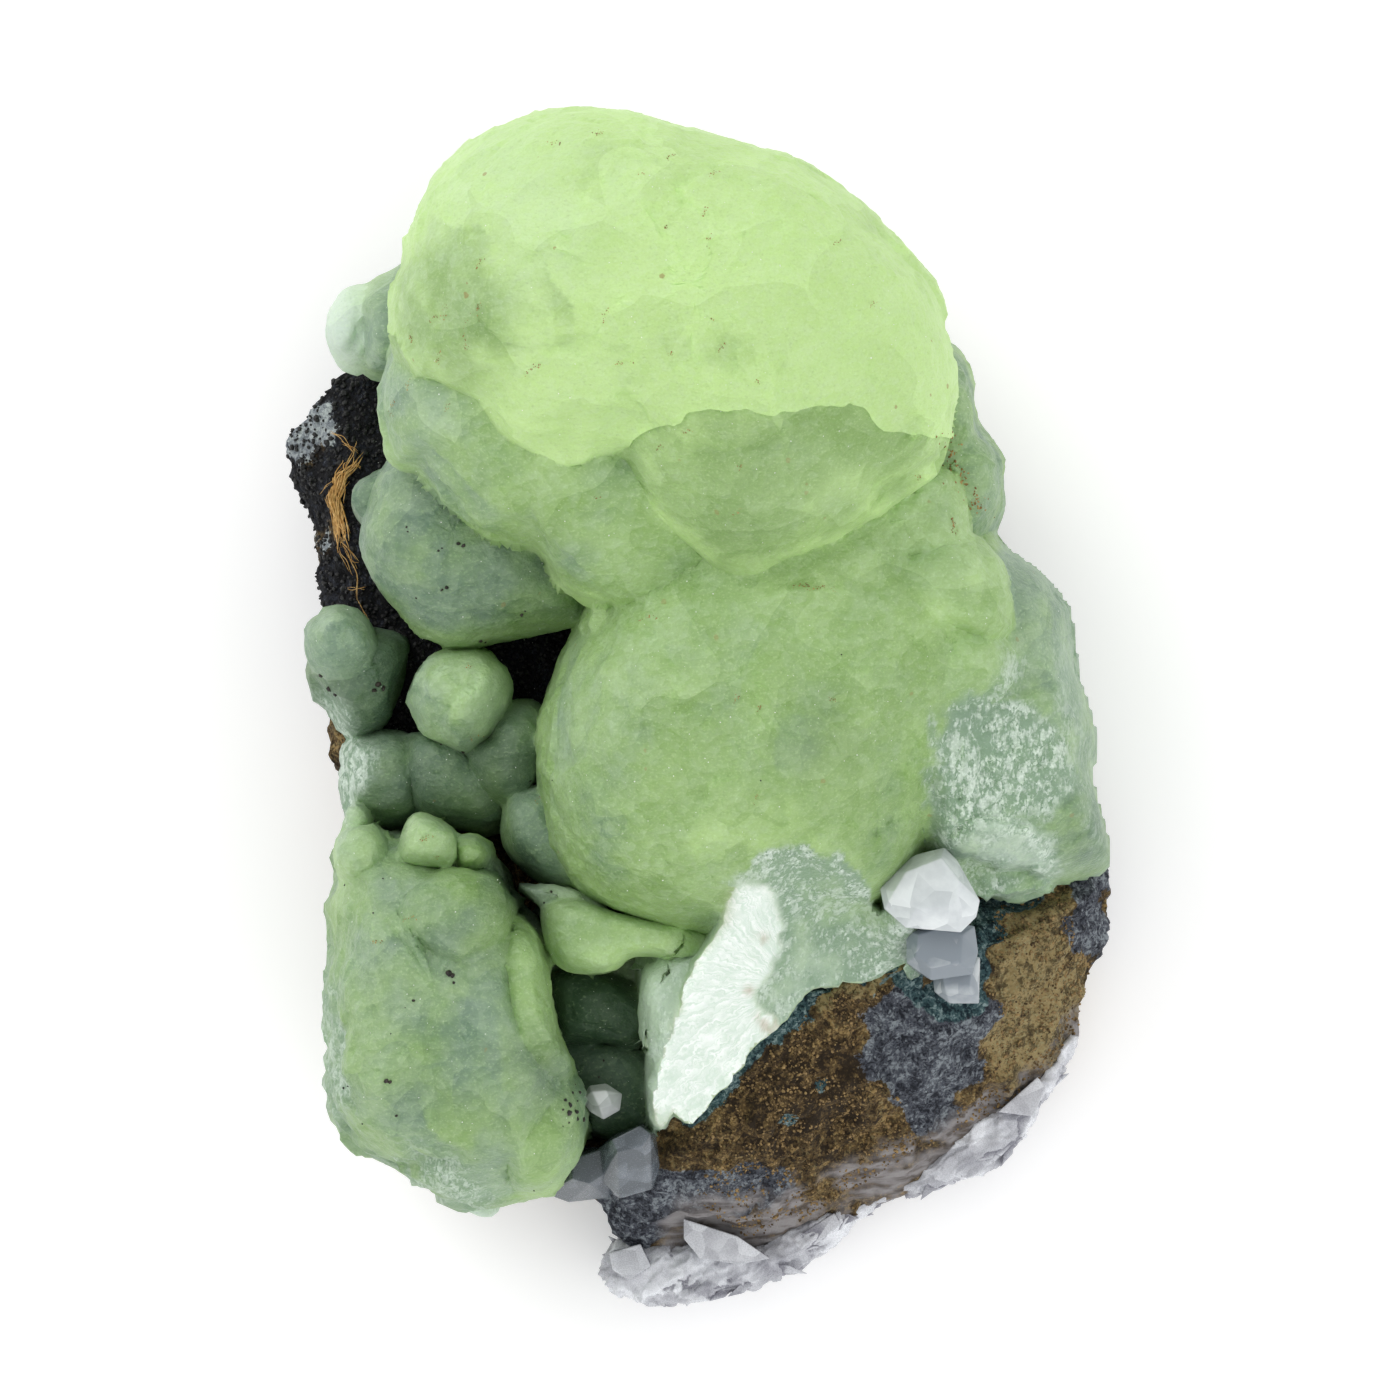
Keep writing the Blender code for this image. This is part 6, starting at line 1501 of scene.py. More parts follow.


# small crystals: blocks with cleaved faces, each the convex hull of its given rings of corner points

crystals = {
    "whiteCrystal": dict(
        node="white_crystal", slot="white_crystal", tint=(0.26, 0.30, 0.34), milky=(0.90, 0.945, 0.955),
        transmission=0.15, roughness=0.16, milk=(0.86, 0.03, 0.35),
        blocks=[
            [([(17.4, -14.2), (20.4, -13.0), (21.9, -14.9), (21.7, -16.9), (18.3, -17.3),
        (16.4, -15.9)], 33.6),
             ([(15.2, -15.4), (16.0, -14.1), (18.3, -12.7), (20.7, -12.1), (21.8, -13.2),
        (22.8, -14.9), (23.7, -16.6), (23.4, -18.0), (22.1, -19.3), (17.4, -18.9),
        (15.6, -17.3)], 31.6),
             ([(15.6, -17.1), (17.0, -13.7), (21.2, -13.2), (23.3, -17.0), (21.2, -19.0),
        (17.4, -18.8)], 22.5)],
            [([(18.5, -19.5), (20.4, -19.0), (22.3, -19.5), (22.1, -21.9), (19.6, -22.2),
        (18.3, -21.3)], 29.8),
             ([(17.5, -19.2), (20.4, -18.3), (23.3, -18.8), (23.6, -21.0), (23.1, -22.9),
        (19.6, -23.4), (17.5, -21.9)], 28.2),
             ([(17.7, -19.6), (23.3, -19.2), (23.1, -22.7), (18.0, -22.6)], 20.0)],
            [([(20.4, -21.9), (22.1, -21.3), (23.1, -22.4), (22.8, -24.3), (20.8, -24.1)], 27.6),
             ([(19.6, -21.7), (21.7, -20.7), (23.8, -21.5), (23.7, -25.4), (21.2, -25.4),
        (19.9, -24.4)], 25.8),
             ([(19.9, -21.7), (23.6, -21.9), (23.5, -25.1), (20.4, -24.9)], 19.0)],
        ]),
    "pocketCrystal": dict(
        node="pocket_crystal", slot="white_crystal", tint=(0.35, 0.38, 0.38), milky=(0.85, 0.88, 0.88),
        transmission=0.20, roughness=0.14, milk=(0.7,),
        blocks=[
            [([(-9.2, -32.9), (-8.0, -32.8), (-7.5, -34.0), (-8.5, -34.3)], 25.4),
             ([(-10.1, -33.6), (-9.4, -32.4), (-8.0, -32.2), (-6.6, -33.1), (-6.8, -34.5),
        (-8.2, -35.3), (-9.4, -34.6)], 23.6),
             ([(-9.7, -33.8), (-8.5, -32.8), (-7.0, -33.6), (-8.3, -34.8)], 20.3)],
        ]),
    "lilacCrystal": dict(
        node="lilac_crystal", slot="lilac_crystal", tint=(0.10, 0.12, 0.14), milky=(0.52, 0.58, 0.66),
        transmission=0.25, roughness=0.20, milk=(0.10, 0.0),
        blocks=[
            [([(-7.5, -37.0), (-5.1, -35.8), (-4.2, -36.5), (-4.9, -37.5), (-7.0, -38.0)], 25.0),
             ([(-8.8, -37.9), (-7.5, -36.7), (-4.8, -35.7), (-3.8, -36.5), (-3.4, -39.2),
        (-4.1, -41.3), (-6.8, -42.1), (-8.5, -40.4)], 19.5),
             ([(-8.5, -38.0), (-3.8, -37.4), (-3.8, -41.3), (-7.7, -41.8)], 11.5)],
            [([(-10.9, -38.7), (-8.5, -37.9), (-7.5, -39.6), (-9.4, -40.8), (-10.9, -40.4)], 20.5),
             ([(-13.1, -41.8), (-12.2, -39.2), (-9.8, -37.7), (-7.7, -37.9), (-6.6, -40.4),
        (-7.8, -42.1), (-11.2, -42.5)], 16.0),
             ([(-12.2, -41.4), (-11.1, -38.7), (-7.5, -38.5), (-7.5, -41.8)], 11.2)],
        ]),
}


# a convex block on its corner points, its edges broken by a small bevel
def crystalBlock(name, corners, material, milk=0.7):
    mesh = bpy.data.meshes.new(name)
    points = np.concatenate([np.column_stack([plan, np.full(len(plan), z)]) for plan, z in corners])
    tilt = np.array((0.05, -0.09)) * (points[:, 2:] > 22)
    points[:, 2] += (tilt * (points[:, :2] - points[:, :2].mean(axis=0))).sum(axis=1)
    mesh.from_pydata(points * mm, [], [])
    shape = bmesh.new()
    shape.from_mesh(mesh)
    hull = bmesh.ops.convex_hull(shape, input=shape.verts)
    spare = [item for item in hull["geom_interior"] if isinstance(item, bmesh.types.BMVert)]
    bmesh.ops.delete(shape, geom=spare, context="VERTS")
    bmesh.ops.dissolve_limit(shape, angle_limit=math.radians(6), verts=shape.verts, edges=shape.edges)
    bmesh.ops.recalc_face_normals(shape, faces=shape.faces)
    bmesh.ops.bevel(shape, geom=shape.edges[:], offset=0.12 * mm, segments=2, affect="EDGES", profile=0.6)
    bmesh.ops.triangulate(shape, faces=shape.faces)
    shape.to_mesh(mesh)
    shape.free()
    mesh.materials.append(material)
    mesh.attributes.new("milk", "FLOAT", "POINT").data.foreach_set("value", np.full(len(mesh.vertices), milk))
    block = bpy.data.objects.new(name, mesh)
    bpy.context.scene.collection.objects.link(block)
    return block


for name, shape in crystals.items():
    material = crystalMaterial(name + "Glass", shape["tint"], shape["transmission"], shape["roughness"], shape["milky"])
    blocks = [crystalBlock(name + str(k), corners, material, milk)
              for k, (corners, milk) in enumerate(zip(shape["blocks"], shape["milk"]))]
    crystal = combined(name, blocks[0], blocks[1:])
    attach(crystal, "root")
    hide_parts(shape["node"])
print("stage: crystals made")


# the white crust on the rock's lower edge: a closed band carried along the edge, flat, lumpy and jagged outside, with
# a row for each place on its path: middle, height, half width and half thickness
crustShape = dict(
    rows=[((-8.0, -46.9), 5.0, 1.0, 1.4), ((-6.6, -47.7), 5.0, 2.6, 2.8), ((-3.8, -48.2), 5.2, 3.1, 3.4),
          ((0.0, -48.6), 5.2, 2.6, 3.6), ((3.8, -48.2), 5.0, 1.9, 3.4), ((7.2, -46.9), 4.8, 1.7, 3.2),
          ((10.4, -45.0), 4.8, 1.4, 2.6), ((12.8, -43.3), 4.6, 0.7, 1.6), ((17.0, -41.4), 4.8, 0.7, 1.6),
          ((20.0, -40.1), 5.4, 1.4, 2.8), ((23.0, -38.4), 5.6, 2.1, 3.2), ((25.9, -36.2), 5.8, 2.1, 3.2),
          ((28.2, -33.6), 6.2, 1.0, 2.4), ((30.6, -30.9), 6.4, 0.6, 1.6), ((32.1, -28.5), 7.0, 0.4, 1.2)],
    lengths=420, sides=120)
# loose plates of the crust that stand out of its edge: outline, then heights of their top and underside
spurs = [
    ([(17.4, -40.2), (20.0, -39.7), (20.1, -41.1), (19.5, -42.1), (18.9, -40.9)], 6.4, 4.4),
    ([(20.2, -40.4), (23.4, -37.9), (25.5, -38.0), (24.2, -39.4), (21.9, -40.9)], 7.4, 5.0),
    ([(23.4, -37.9), (26.4, -34.6), (28.6, -34.5), (27.9, -36.5), (25.8, -38.7)], 8.6, 5.4),
    ([(25.5, -34.9), (28.9, -31.9), (29.6, -32.8), (28.6, -35.3)], 9.6, 6.6),
    ([(-7.8, -47.0), (-5.1, -46.2), (-4.2, -48.1), (-6.1, -49.3), (-7.5, -48.4)], 9.0, 3.0),
    ([(-4.2, -47.4), (-0.9, -46.8), (0.0, -49.8), (-2.7, -50.4), (-4.1, -49.6)], 8.4, 2.2),
    ([(-1.4, -44.0), (0.7, -44.8), (3.2, -45.5), (6.0, -47.4), (3.4, -47.9), (0.0, -47.4),
        (-1.4, -45.7)], 11.4, 6.0),
    ([(0.0, -48.9), (3.4, -48.6), (5.3, -47.9), (5.8, -48.9), (3.0, -50.1), (0.4, -50.5)], 7.4, 2.0),
    ([(8.5, -45.5), (11.5, -43.6), (12.1, -44.5), (9.8, -46.4)], 7.6, 4.2),
]


# the band: at each place a flattened ring square to the path, its skin broken into flat cells by the cell number
# and by the distance to the cell's middle
def crustBand(material):
    rows = np.array([[*plan, z, wide, thick] for plan, z, wide, thick in crustShape["rows"]])
    lengths, sides = int(crustShape["lengths"] / fine), int(crustShape["sides"] / fine)
    steps = np.linspace(0, len(rows) - 1, lengths)
    curve = np.stack([np.interp(steps, np.arange(len(rows)), rows[:, k]) for k in range(5)], axis=1)
    for _ in range(3):
        curve[1:-1] = (curve[:-2] + 2 * curve[1:-1] + curve[2:]) / 4
    way = np.gradient(curve[:, :3], axis=0)
    way /= np.linalg.norm(way, axis=1, keepdims=True)
    out = np.cross(way, (0.0, 0.0, 1.0))
    out /= np.linalg.norm(out, axis=1, keepdims=True)
    up = np.cross(out, way)
    angle = np.linspace(0, 2 * math.pi, sides, endpoint=False)
    round1 = np.sign(np.cos(angle)) * np.abs(np.cos(angle)) ** 0.8
    round2 = np.sign(np.sin(angle)) * np.abs(np.sin(angle)) ** 0.8
    grid = (curve[:, None, :3] + out[:, None] * (curve[:, 3, None] * round1)[..., None]
            + up[:, None] * (curve[:, 4, None] * round2)[..., None])
    normal = -ringNormals(grid)
    bladed = grid @ np.array(((0.86, -0.51, 0.0), (0.51, 0.86, 0.0), (0.0, 0.0, 1.0))) * (0.42, 1.5, 1.1)
    warped = bladed + 0.6 * np.stack([layeredNoise(grid, 2.0, 2, k) for k in (75, 76, 77)], axis=-1)
    bulge = 0.9 * facets(warped, 1.9, 71)[0] + 0.45 * facets(warped, 0.9, 72)[0]
    bulge = bulge + 0.35 * layeredNoise(grid, 2.4, 2, 78) + 0.10 * layeredNoise(grid, 0.9, 3, 73)
    ends = smoothStep(np.minimum(np.arange(lengths), np.arange(lengths)[::-1]) / lengths, 0.0, 0.02)
    grid = grid + normal * (bulge * ends[:, None])[..., None]
    grid[..., 2] = np.maximum(grid[..., 2], 0.6)
    grid = grid[:, ::-1]
    verts = np.concatenate([grid.reshape(-1, 3), [grid[0].mean(axis=0), grid[-1].mean(axis=0)]])
    milk = 0.68 + 0.45 * layeredNoise(verts, 3.0, 3, 74)
    return makePiece("crustBand", verts, ringFaces(lengths, sides), {"milk": milk}, [material])


crustWhite = crystalMaterial("sugaryCrust", (0.24, 0.24, 0.28), 0.12, 0.26, (0.84, 0.86, 0.90))
bladePieces = [crystalBlock("spur" + str(k), [(plan, top), (np.array(plan) * 0.97 + np.mean(plan, axis=0) * 0.03, low)],
                       crustWhite) for k, (plan, top, low) in enumerate(spurs)]
splinters = dict(count=64, length=(1.5, 4.2), width=(0.45, 1.1), lean=0.7, rise=(0.2, 1.0), deep=1.6, rows=(0.4, 13.2))


# a splinter: a pointed four-sided outline laid along the band and turned a little out of it, on the band's outer rim
def splinter(number, place, dice, material):
    rows = np.array([[*plan, z, wide, thick] for plan, z, wide, thick in crustShape["rows"]])
    x, y, z, wide, thick = (np.interp(place, np.arange(len(rows)), rows[:, k]) for k in range(5))
    ahead = [np.interp(place + 0.2, np.arange(len(rows)), rows[:, k]) for k in range(2)]
    turn = math.atan2(ahead[1] - y, ahead[0] - x) + dice.uniform(-splinters["lean"], splinters["lean"])
    long, broad = dice.uniform(*splinters["length"]), dice.uniform(*splinters["width"])
    outline = np.array(((-0.5, 0.1), (0.05, 0.5), (0.5, 0.0), (0.0, -0.5))) * (long, broad)
    side = np.array((math.cos(turn), math.sin(turn)))
    outline = outline[:, :1] * side + outline[:, 1:] * np.array((-side[1], side[0]))
    out = np.array((ahead[1] - y, x - ahead[0]))
    out = out / np.linalg.norm(out) * wide * dice.uniform(-0.5, 1.05)
    top = z + thick * dice.uniform(*splinters["rise"])
    plan = outline + (x, y) + out
    return crystalBlock("splinter" + str(number), [(plan, top), (plan, max(top - splinters["deep"], 0.8))], material,
                        dice.uniform(0.35, 0.95))


splinterDice = np.random.default_rng(17)
splinterPieces = [splinter(k, place, splinterDice, crustWhite)
                  for k, place in enumerate(np.linspace(*splinters["rows"], splinters["count"]))]
edgeCrust = combined("edgeCrust", crustBand(crustWhite), [*bladePieces, *splinterPieces])
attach(edgeCrust, "root")
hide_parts("edge_crust")
print("stage: edge crust made,", sum(len(p.vertices) - 2 for p in edgeCrust.data.polygons), "triangles")


# grains, specks and fibres that lie on the surface

dice = np.random.default_rng(8)


def treeOf(piece):
    verts = pointsOf(piece)
    return BVHTree.FromPolygons(verts.tolist(), [tuple(p.vertices) for p in piece.data.polygons])


crustTree, rockTree = treeOf(prehnite), treeOf(rock)


# where a ray straight down meets the specimen first, its outward direction there, and whether it is the rock
def touchDown(plan):
    places, ways, onRock = [], [], []
    for x, y in plan:
        hits = [tree.ray_cast(Vector((x, y, 90.0)), Vector((0, 0, -1))) for tree in (crustTree, rockTree)]
        heights = [hit[0].z if hit[0] is not None else -1.0 for hit in hits]
        best = int(heights[1] > heights[0])
        if heights[best] < 0:
            places.append((x, y, -1.0))
            ways.append((0, 0, 1))
        else:
            places.append(hits[best][0])
            ways.append(hits[best][1])
        onRock.append(best == 1)
    return np.array([tuple(p) for p in places]), np.array([tuple(w) for w in ways]), np.array(onRock)


# twenty-faced grains: the corners are the three golden rectangles, stretched and turned at random for each grain
def grainPiece(name, places, sizes, material):
    golden = (1 + 5**0.5) / 2
    corners = np.array([(0, a, b * golden) for a in (-1, 1) for b in (-1, 1)])
    corners = np.concatenate([corners, corners[:, [1, 2, 0]], corners[:, [2, 0, 1]]]) / (1 + golden**2) ** 0.5
    shape = bmesh.new()
    for corner in corners:
        shape.verts.new(corner)
    bmesh.ops.convex_hull(shape, input=shape.verts)
    shape.verts.index_update()
    base = np.array([v.co for v in shape.verts])
    faces = np.array([[v.index for v in f.verts] for f in shape.faces])
    shape.free()
    count = len(places)
    frames = np.linalg.qr(dice.normal(size=(count, 3, 3)))[0]
    frames *= np.where(np.linalg.det(frames) < 0, -1, 1)[:, None, None]
    stretch = dice.uniform(0.6, 1.25, (count, 1, 3))
    uneven = dice.uniform(0.8, 1.15, (count, len(base), 1))
    verts = np.einsum("nij,nkj->nki", frames, base[None] * stretch * uneven) * np.asarray(sizes)[:, None, None]
    verts = (verts + np.asarray(places)[:, None, :]).reshape(-1, 3)
    joined = (faces[None] + len(base) * np.arange(count)[:, None, None]).reshape(-1, 3)
    piece = makePiece(name, verts, joined.tolist(), {}, [material])
    piece.data.shade_flat()
    return piece


# a grain's skin: two tones by cloud and a little shine
def grainMaterial(name, first, second, roughness):
    material, tree, shader = newMaterial(name)
    place = addNode(tree, "ShaderNodeTexCoord").outputs["Object"]
    clouds = useGroup(tree, frost, {"Place": place, "Patch Size": 0.12, "Grain Size": 0.3})
    body = mixColours(tree, ramp(tree, clouds.outputs["Cloud"], 0.35, 0.65), first, second)
    tree.links.new(body, shader.inputs["Base Color"])
    tree.links.new(ramp(tree, clouds.outputs["Grain"], 0.3, 0.7, roughness - 0.1, roughness + 0.1),
                   shader.inputs["Roughness"])
    return material


def scatter(outline, count):
    outline = np.array(outline)
    spots = dice.uniform(outline.min(axis=0), outline.max(axis=0), (count * 3, 2))
    return spots[insideLoop(spots, outline)][:count]


grains = {
    "blackGrains": dict(area=blackPatch, count=5200, size=(0.10, 0.34), first=(0.003, 0.003, 0.003),
                        second=(0.016, 0.016, 0.016), roughness=0.6, slot="rock"),
    "earthGrains": dict(
        area=[(-0.9, -34.5), (8.5, -25.5), (17.0, -23.8), (24.2, -26.0), (24.2, -16.6),
        (30.6, -13.9), (34.7, -16.6), (33.6, -26.0), (28.9, -32.8), (17.0, -39.1),
        (5.1, -46.4), (-0.9, -42.1)],
        count=6200, size=(0.06, 0.20), first=(0.060, 0.036, 0.014), second=(0.360, 0.240, 0.100), roughness=0.85,
        slot="rock"),
}
for name, shape in grains.items():
    spots = scatter(shape["area"], shape["count"])
    places, ways, onRock = touchDown(spots)
    keep = onRock & (places[:, 2] > 1)
    sizes = dice.uniform(*shape["size"], len(spots)) * dice.uniform(0.5, 1.0, len(spots))
    if name == "earthGrains":
        patchy = layeredNoise(places, 2.5, 3, 81)
        inGrey = insideLoop(spots, greyPatch) | insideLoop(spots, cornerPatch)
        keep &= (patchy > -0.35) & ~inGrey & (distanceToPath(spots, tealLine) > 1.0)
    places = places + ways * (0.25 * sizes)[:, None]
    material = grainMaterial(name, shape["first"], shape["second"], shape["roughness"])
    piece = grainPiece(name, places[keep], sizes[keep], material)
    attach(piece, "root")

# dark specks on the crust: place and size
specksDark = [
    ((-20.4, 13.6), 0.30), ((-20.0, 13.4), 0.22), ((-21.4, 9.9), 0.26), ((-21.8, 9.7), 0.16), ((-22.1, 13.0), 0.12),
    ((-21.8, 13.2), 0.10), ((-15.1, 7.6), 0.18), ((-14.8, 7.9), 0.12), ((-24.8, 15.0), 0.10), ((-24.7, 14.6), 0.10),
    ((-24.0, 9.0), 0.11), ((-18.6, 5.4), 0.24), ((-18.2, 5.3), 0.16), ((-32.2, 2.5), 0.26), ((-31.5, 1.3), 0.24),
    ((-31.0, 0.9), 0.20), ((-27.4, 1.7), 0.34), ((-26.9, 1.4), 0.30), ((-27.7, 1.2), 0.22), ((-20.1, -4.0), 0.22),
    ((-22.0, -3.4), 0.15), ((-14.1, -6.8), 0.20), ((-14.4, -6.5), 0.12), ((-12.5, -6.4), 0.08), ((-21.2, -22.7), 0.36),
    ((-20.9, -22.9), 0.24), ((-20.8, -23.5), 0.14), ((-24.2, -25.0), 0.14), ((-26.5, -31.8), 0.26), ((-26.2, -31.9), 0.18),
    ((-30.2, -32.5), 0.11), ((-29.8, -32.3), 0.12), ((-25.7, -34.8), 0.16), ((-28.6, -35.5), 0.11), ((-26.8, -14.7), 0.11),
    ((-30.1, -15.3), 0.10), ((-27.6, -17.6), 0.10), ((-26.1, -27.8), 0.09), ((-24.9, -25.6), 0.07), ((-9.9, -38.9), 0.20),
    ((-14.1, -41.3), 0.13), ((-8.2, -30.3), 0.12), ((-8.6, -31.7), 0.14), ((-12.6, -15.9), 0.14), ((-13.2, -16.8), 0.10),
    ((-11.4, -33.5), 0.22), ((-11.0, -33.9), 0.30), ((-10.5, -34.5), 0.30), ((-10.4, -35.1), 0.20), ((-10.2, -32.9), 0.20),
    ((-11.1, -34.6), 0.26), ((-10.8, -32.9), 0.14), ((-9.9, -35.2), 0.22), ((-11.6, -34.3), 0.14), ((-10.6, -32.2), 0.10),
    ((-11.1, -35.4), 0.10), ((-11.6, -35.7), 0.08), ((-10.4, -33.6), 0.12), ((5.1, -6.4), 0.08), ((11.9, 4.2), 0.08),
]
# short arcs of rusty pits: middle, length and slope in degrees
arcs = [
    ((-18.4, 36.9), 1.2, 60), ((-19.4, 31.2), 3.2, 85), ((-21.4, 32.9), 1.4, 80), ((-21.8, 29.1), 1.4, 70),
    ((-18.4, 32.9), 1.8, 85), ((-24.1, 31.0), 1.2, 80), ((-22.4, 32.3), 0.9, 50), ((-14.0, 28.0), 1.6, 30),
    ((-6.4, 28.4), 1.8, 10), ((-7.8, 32.5), 1.4, 60), ((0.9, 38.8), 1.4, 80), ((0.4, 41.2), 0.8, 80),
    ((-8.8, 47.7), 1.6, 10), ((-12.3, 47.0), 1.2, 0), ((-2.8, 39.8), 0.5, 0), ((-2.4, 45.9), 0.8, 20),
    ((1.3, 44.4), 1.2, 5), ((-4.9, 44.4), 0.6, 0), ((1.9, 29.8), 1.0, 60), ((1.0, 32.2), 0.3, 0),
    ((-2.4, 29.2), 0.6, 0), ((4.7, 26.9), 0.5, 40), ((-1.1, 22.8), 1.0, 10), ((-3.4, 21.5), 0.7, 20),
    ((3.4, 19.9), 0.7, 60), ((11.5, 38.6), 1.0, 30), ((14.5, 33.5), 0.8, 60), ((-24.5, 26.9), 1.2, 80),
    ((-25.8, 25.0), 1.6, 75), ((-21.2, 24.9), 0.8, 70), ((3.2, 16.0), 1.0, 50), ((-8.5, 17.4), 0.6, 30),
    ((-25.5, 37.6), 0.6, 60), ((5.1, -0.3), 0.8, 60), ((4.8, -8.1), 1.2, 80), ((10.2, 9.6), 2.4, 5),
    ((8.5, 9.9), 1.6, 0), ((-4.4, 7.2), 1.6, 10), ((3.1, 0.4), 0.8, 70), ((11.1, 0.4), 0.6, 0),
    ((-23.1, -11.3), 1.2, 20), ((-22.3, -13.0), 0.8, 10), ((-24.5, -18.1), 1.2, 10), ((-27.4, -20.2), 1.2, 10),
    ((-19.6, 3.1), 0.8, 10), ((-18.9, -2.8), 1.4, 20), ((-13.6, -8.1), 1.0, 40), ((18.5, 19.1), 1.0, 40),
]
goldTrail = [(20.7, 22.7), (21.2, 21.2), (21.8, 19.9), (21.9, 18.7), (22.6, 17.6), (23.5, 17.0),
        (24.3, 16.4)]


def arcSpots():
    spots = []
    for middle, length, slope in arcs:
        count = int(5 + 7 * length)
        along = dice.uniform(-0.5, 0.5, count) * length
        bend = 0.12 * length * (1 - (2 * along / length) ** 2) + dice.normal(0, 0.10, count)
        way = np.array((math.cos(math.radians(slope)), math.sin(math.radians(slope))))
        spots.append(np.array(middle) + along[:, None] * way + bend[:, None] * np.array((-way[1], way[0])))
    return np.concatenate(spots)


def trailSpots(trail, count, spread):
    trail = np.array(trail)
    t = dice.uniform(0, len(trail) - 1.001, count)
    index = t.astype(int)
    spots = trail[index] + (t - index)[:, None] * (trail[index + 1] - trail[index])
    return spots + dice.normal(0, spread, (count, 2))


def layOn(name, spots, sizes, sink, material):
    places, ways, onRock = touchDown(spots)
    keep = places[:, 2] > 1
    places = places + ways * (sink * sizes)[:, None]
    piece = grainPiece(name, places[keep], sizes[keep], material)
    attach(piece, "root")


layOn("darkSpecks", np.array([place for place, size in specksDark]), np.array([size for place, size in specksDark]),
      0.0, grainMaterial("speckBlack", (0.006, 0.005, 0.004), (0.030, 0.022, 0.015), 0.5))
rustSpots = np.concatenate([arcSpots(), trailSpots(goldTrail, 90, 0.45), trailSpots([(21.1, 15.7), (21.8, 14.5)], 16, 0.2)])
layOn("rustPits", rustSpots, dice.uniform(0.035, 0.085, len(rustSpots)) * np.where(
    np.arange(len(rustSpots)) > len(rustSpots) - 106, 1.9, 1.0), -0.3,
      grainMaterial("rustyGrain", (0.170, 0.100, 0.030), (0.420, 0.270, 0.090), 0.7))
# sparkles: tiny white grains scattered over the specimen that stand in for glints, painted highlights
sparkleSpots = scatter([(-26.8, 42.9), (0.0, 48.8), (20.4, 31.8), (32.3, 7.2), (25.5, -13.2), (-11.9, -41.3),
        (-31.0, -36.2), (-30.6, -12.4), (-33.2, 5.5), (-28.1, 17.4)], 700)
layOn("sparkles", sparkleSpots, dice.uniform(0.025, 0.065, len(sparkleSpots)), 0.0,
      grainMaterial("sparkleWhite", (0.75, 0.82, 0.72), (0.95, 0.97, 0.93), 0.2))


# plant fibres: each a thin closed tube along a wandering line, five-sided, tapering at both ends
def fibrePiece(name, lines, radii, material):
    sides = 5
    verts, faces, first = [], [], 0
    for line, radius in zip(lines, radii):
        way = np.gradient(line, axis=0)
        way /= np.linalg.norm(way, axis=1, keepdims=True)
        across = np.cross(way, (0.13, 0.21, 0.97))
        across /= np.linalg.norm(across, axis=1, keepdims=True)
        above = np.cross(way, across)
        taper = radius * np.clip(np.sin(np.linspace(0.12, math.pi - 0.12, len(line))) * 2.2, 0.3, 1)
        angle = np.linspace(0, 2 * math.pi, sides, endpoint=False)
        rings = line[:, None] + taper[:, None, None] * (
            np.cos(angle)[None, :, None] * across[:, None] + np.sin(angle)[None, :, None] * above[:, None])
        verts += [rings.reshape(-1, 3), line[:1], line[-1:]]
        faces += [[first + v for v in face] for face in ringFaces(len(line), sides)]
        first += len(line) * sides + 2
    return makePiece(name, np.concatenate(verts), faces, {}, [material])


tuftPath = [(-29.4, 21.1), (-29.8, 20.3), (-30.6, 19.6), (-30.9, 18.6), (-31.3, 17.6),
        (-31.0, 16.4), (-30.7, 14.8), (-30.5, 13.6)]
strays = [
    [(-29.2, 21.5), (-29.8, 22.0), (-30.6, 22.3)], [(-31.3, 19.1), (-31.8, 18.6), (-32.3, 18.1)],
    [(-30.5, 13.6), (-29.8, 12.6), (-29.2, 11.0), (-29.2, 8.9)], [(-30.6, 14.0), (-29.6, 13.0), (-29.1, 12.3)],
    [(-30.4, 13.5), (-29.6, 12.1), (-29.2, 11.8)], [(-29.8, 19.9), (-29.2, 20.3), (-28.9, 19.9)],
    [(-30.8, 13.6), (-30.4, 12.6), (-29.6, 11.3)], [(-29.2, 8.9), (-28.7, 7.9), (-28.2, 7.2)],
    [(-30.2, 20.4), (-29.6, 21.6), (-29.2, 22.5)], [(-31.1, 17.4), (-31.5, 16.4), (-30.9, 15.3)],
    [(-30.2, 9.9), (-29.3, 9.8), (-28.7, 9.9)], [(-31.5, 23.3), (-30.4, 22.8), (-29.6, 21.6)],
]


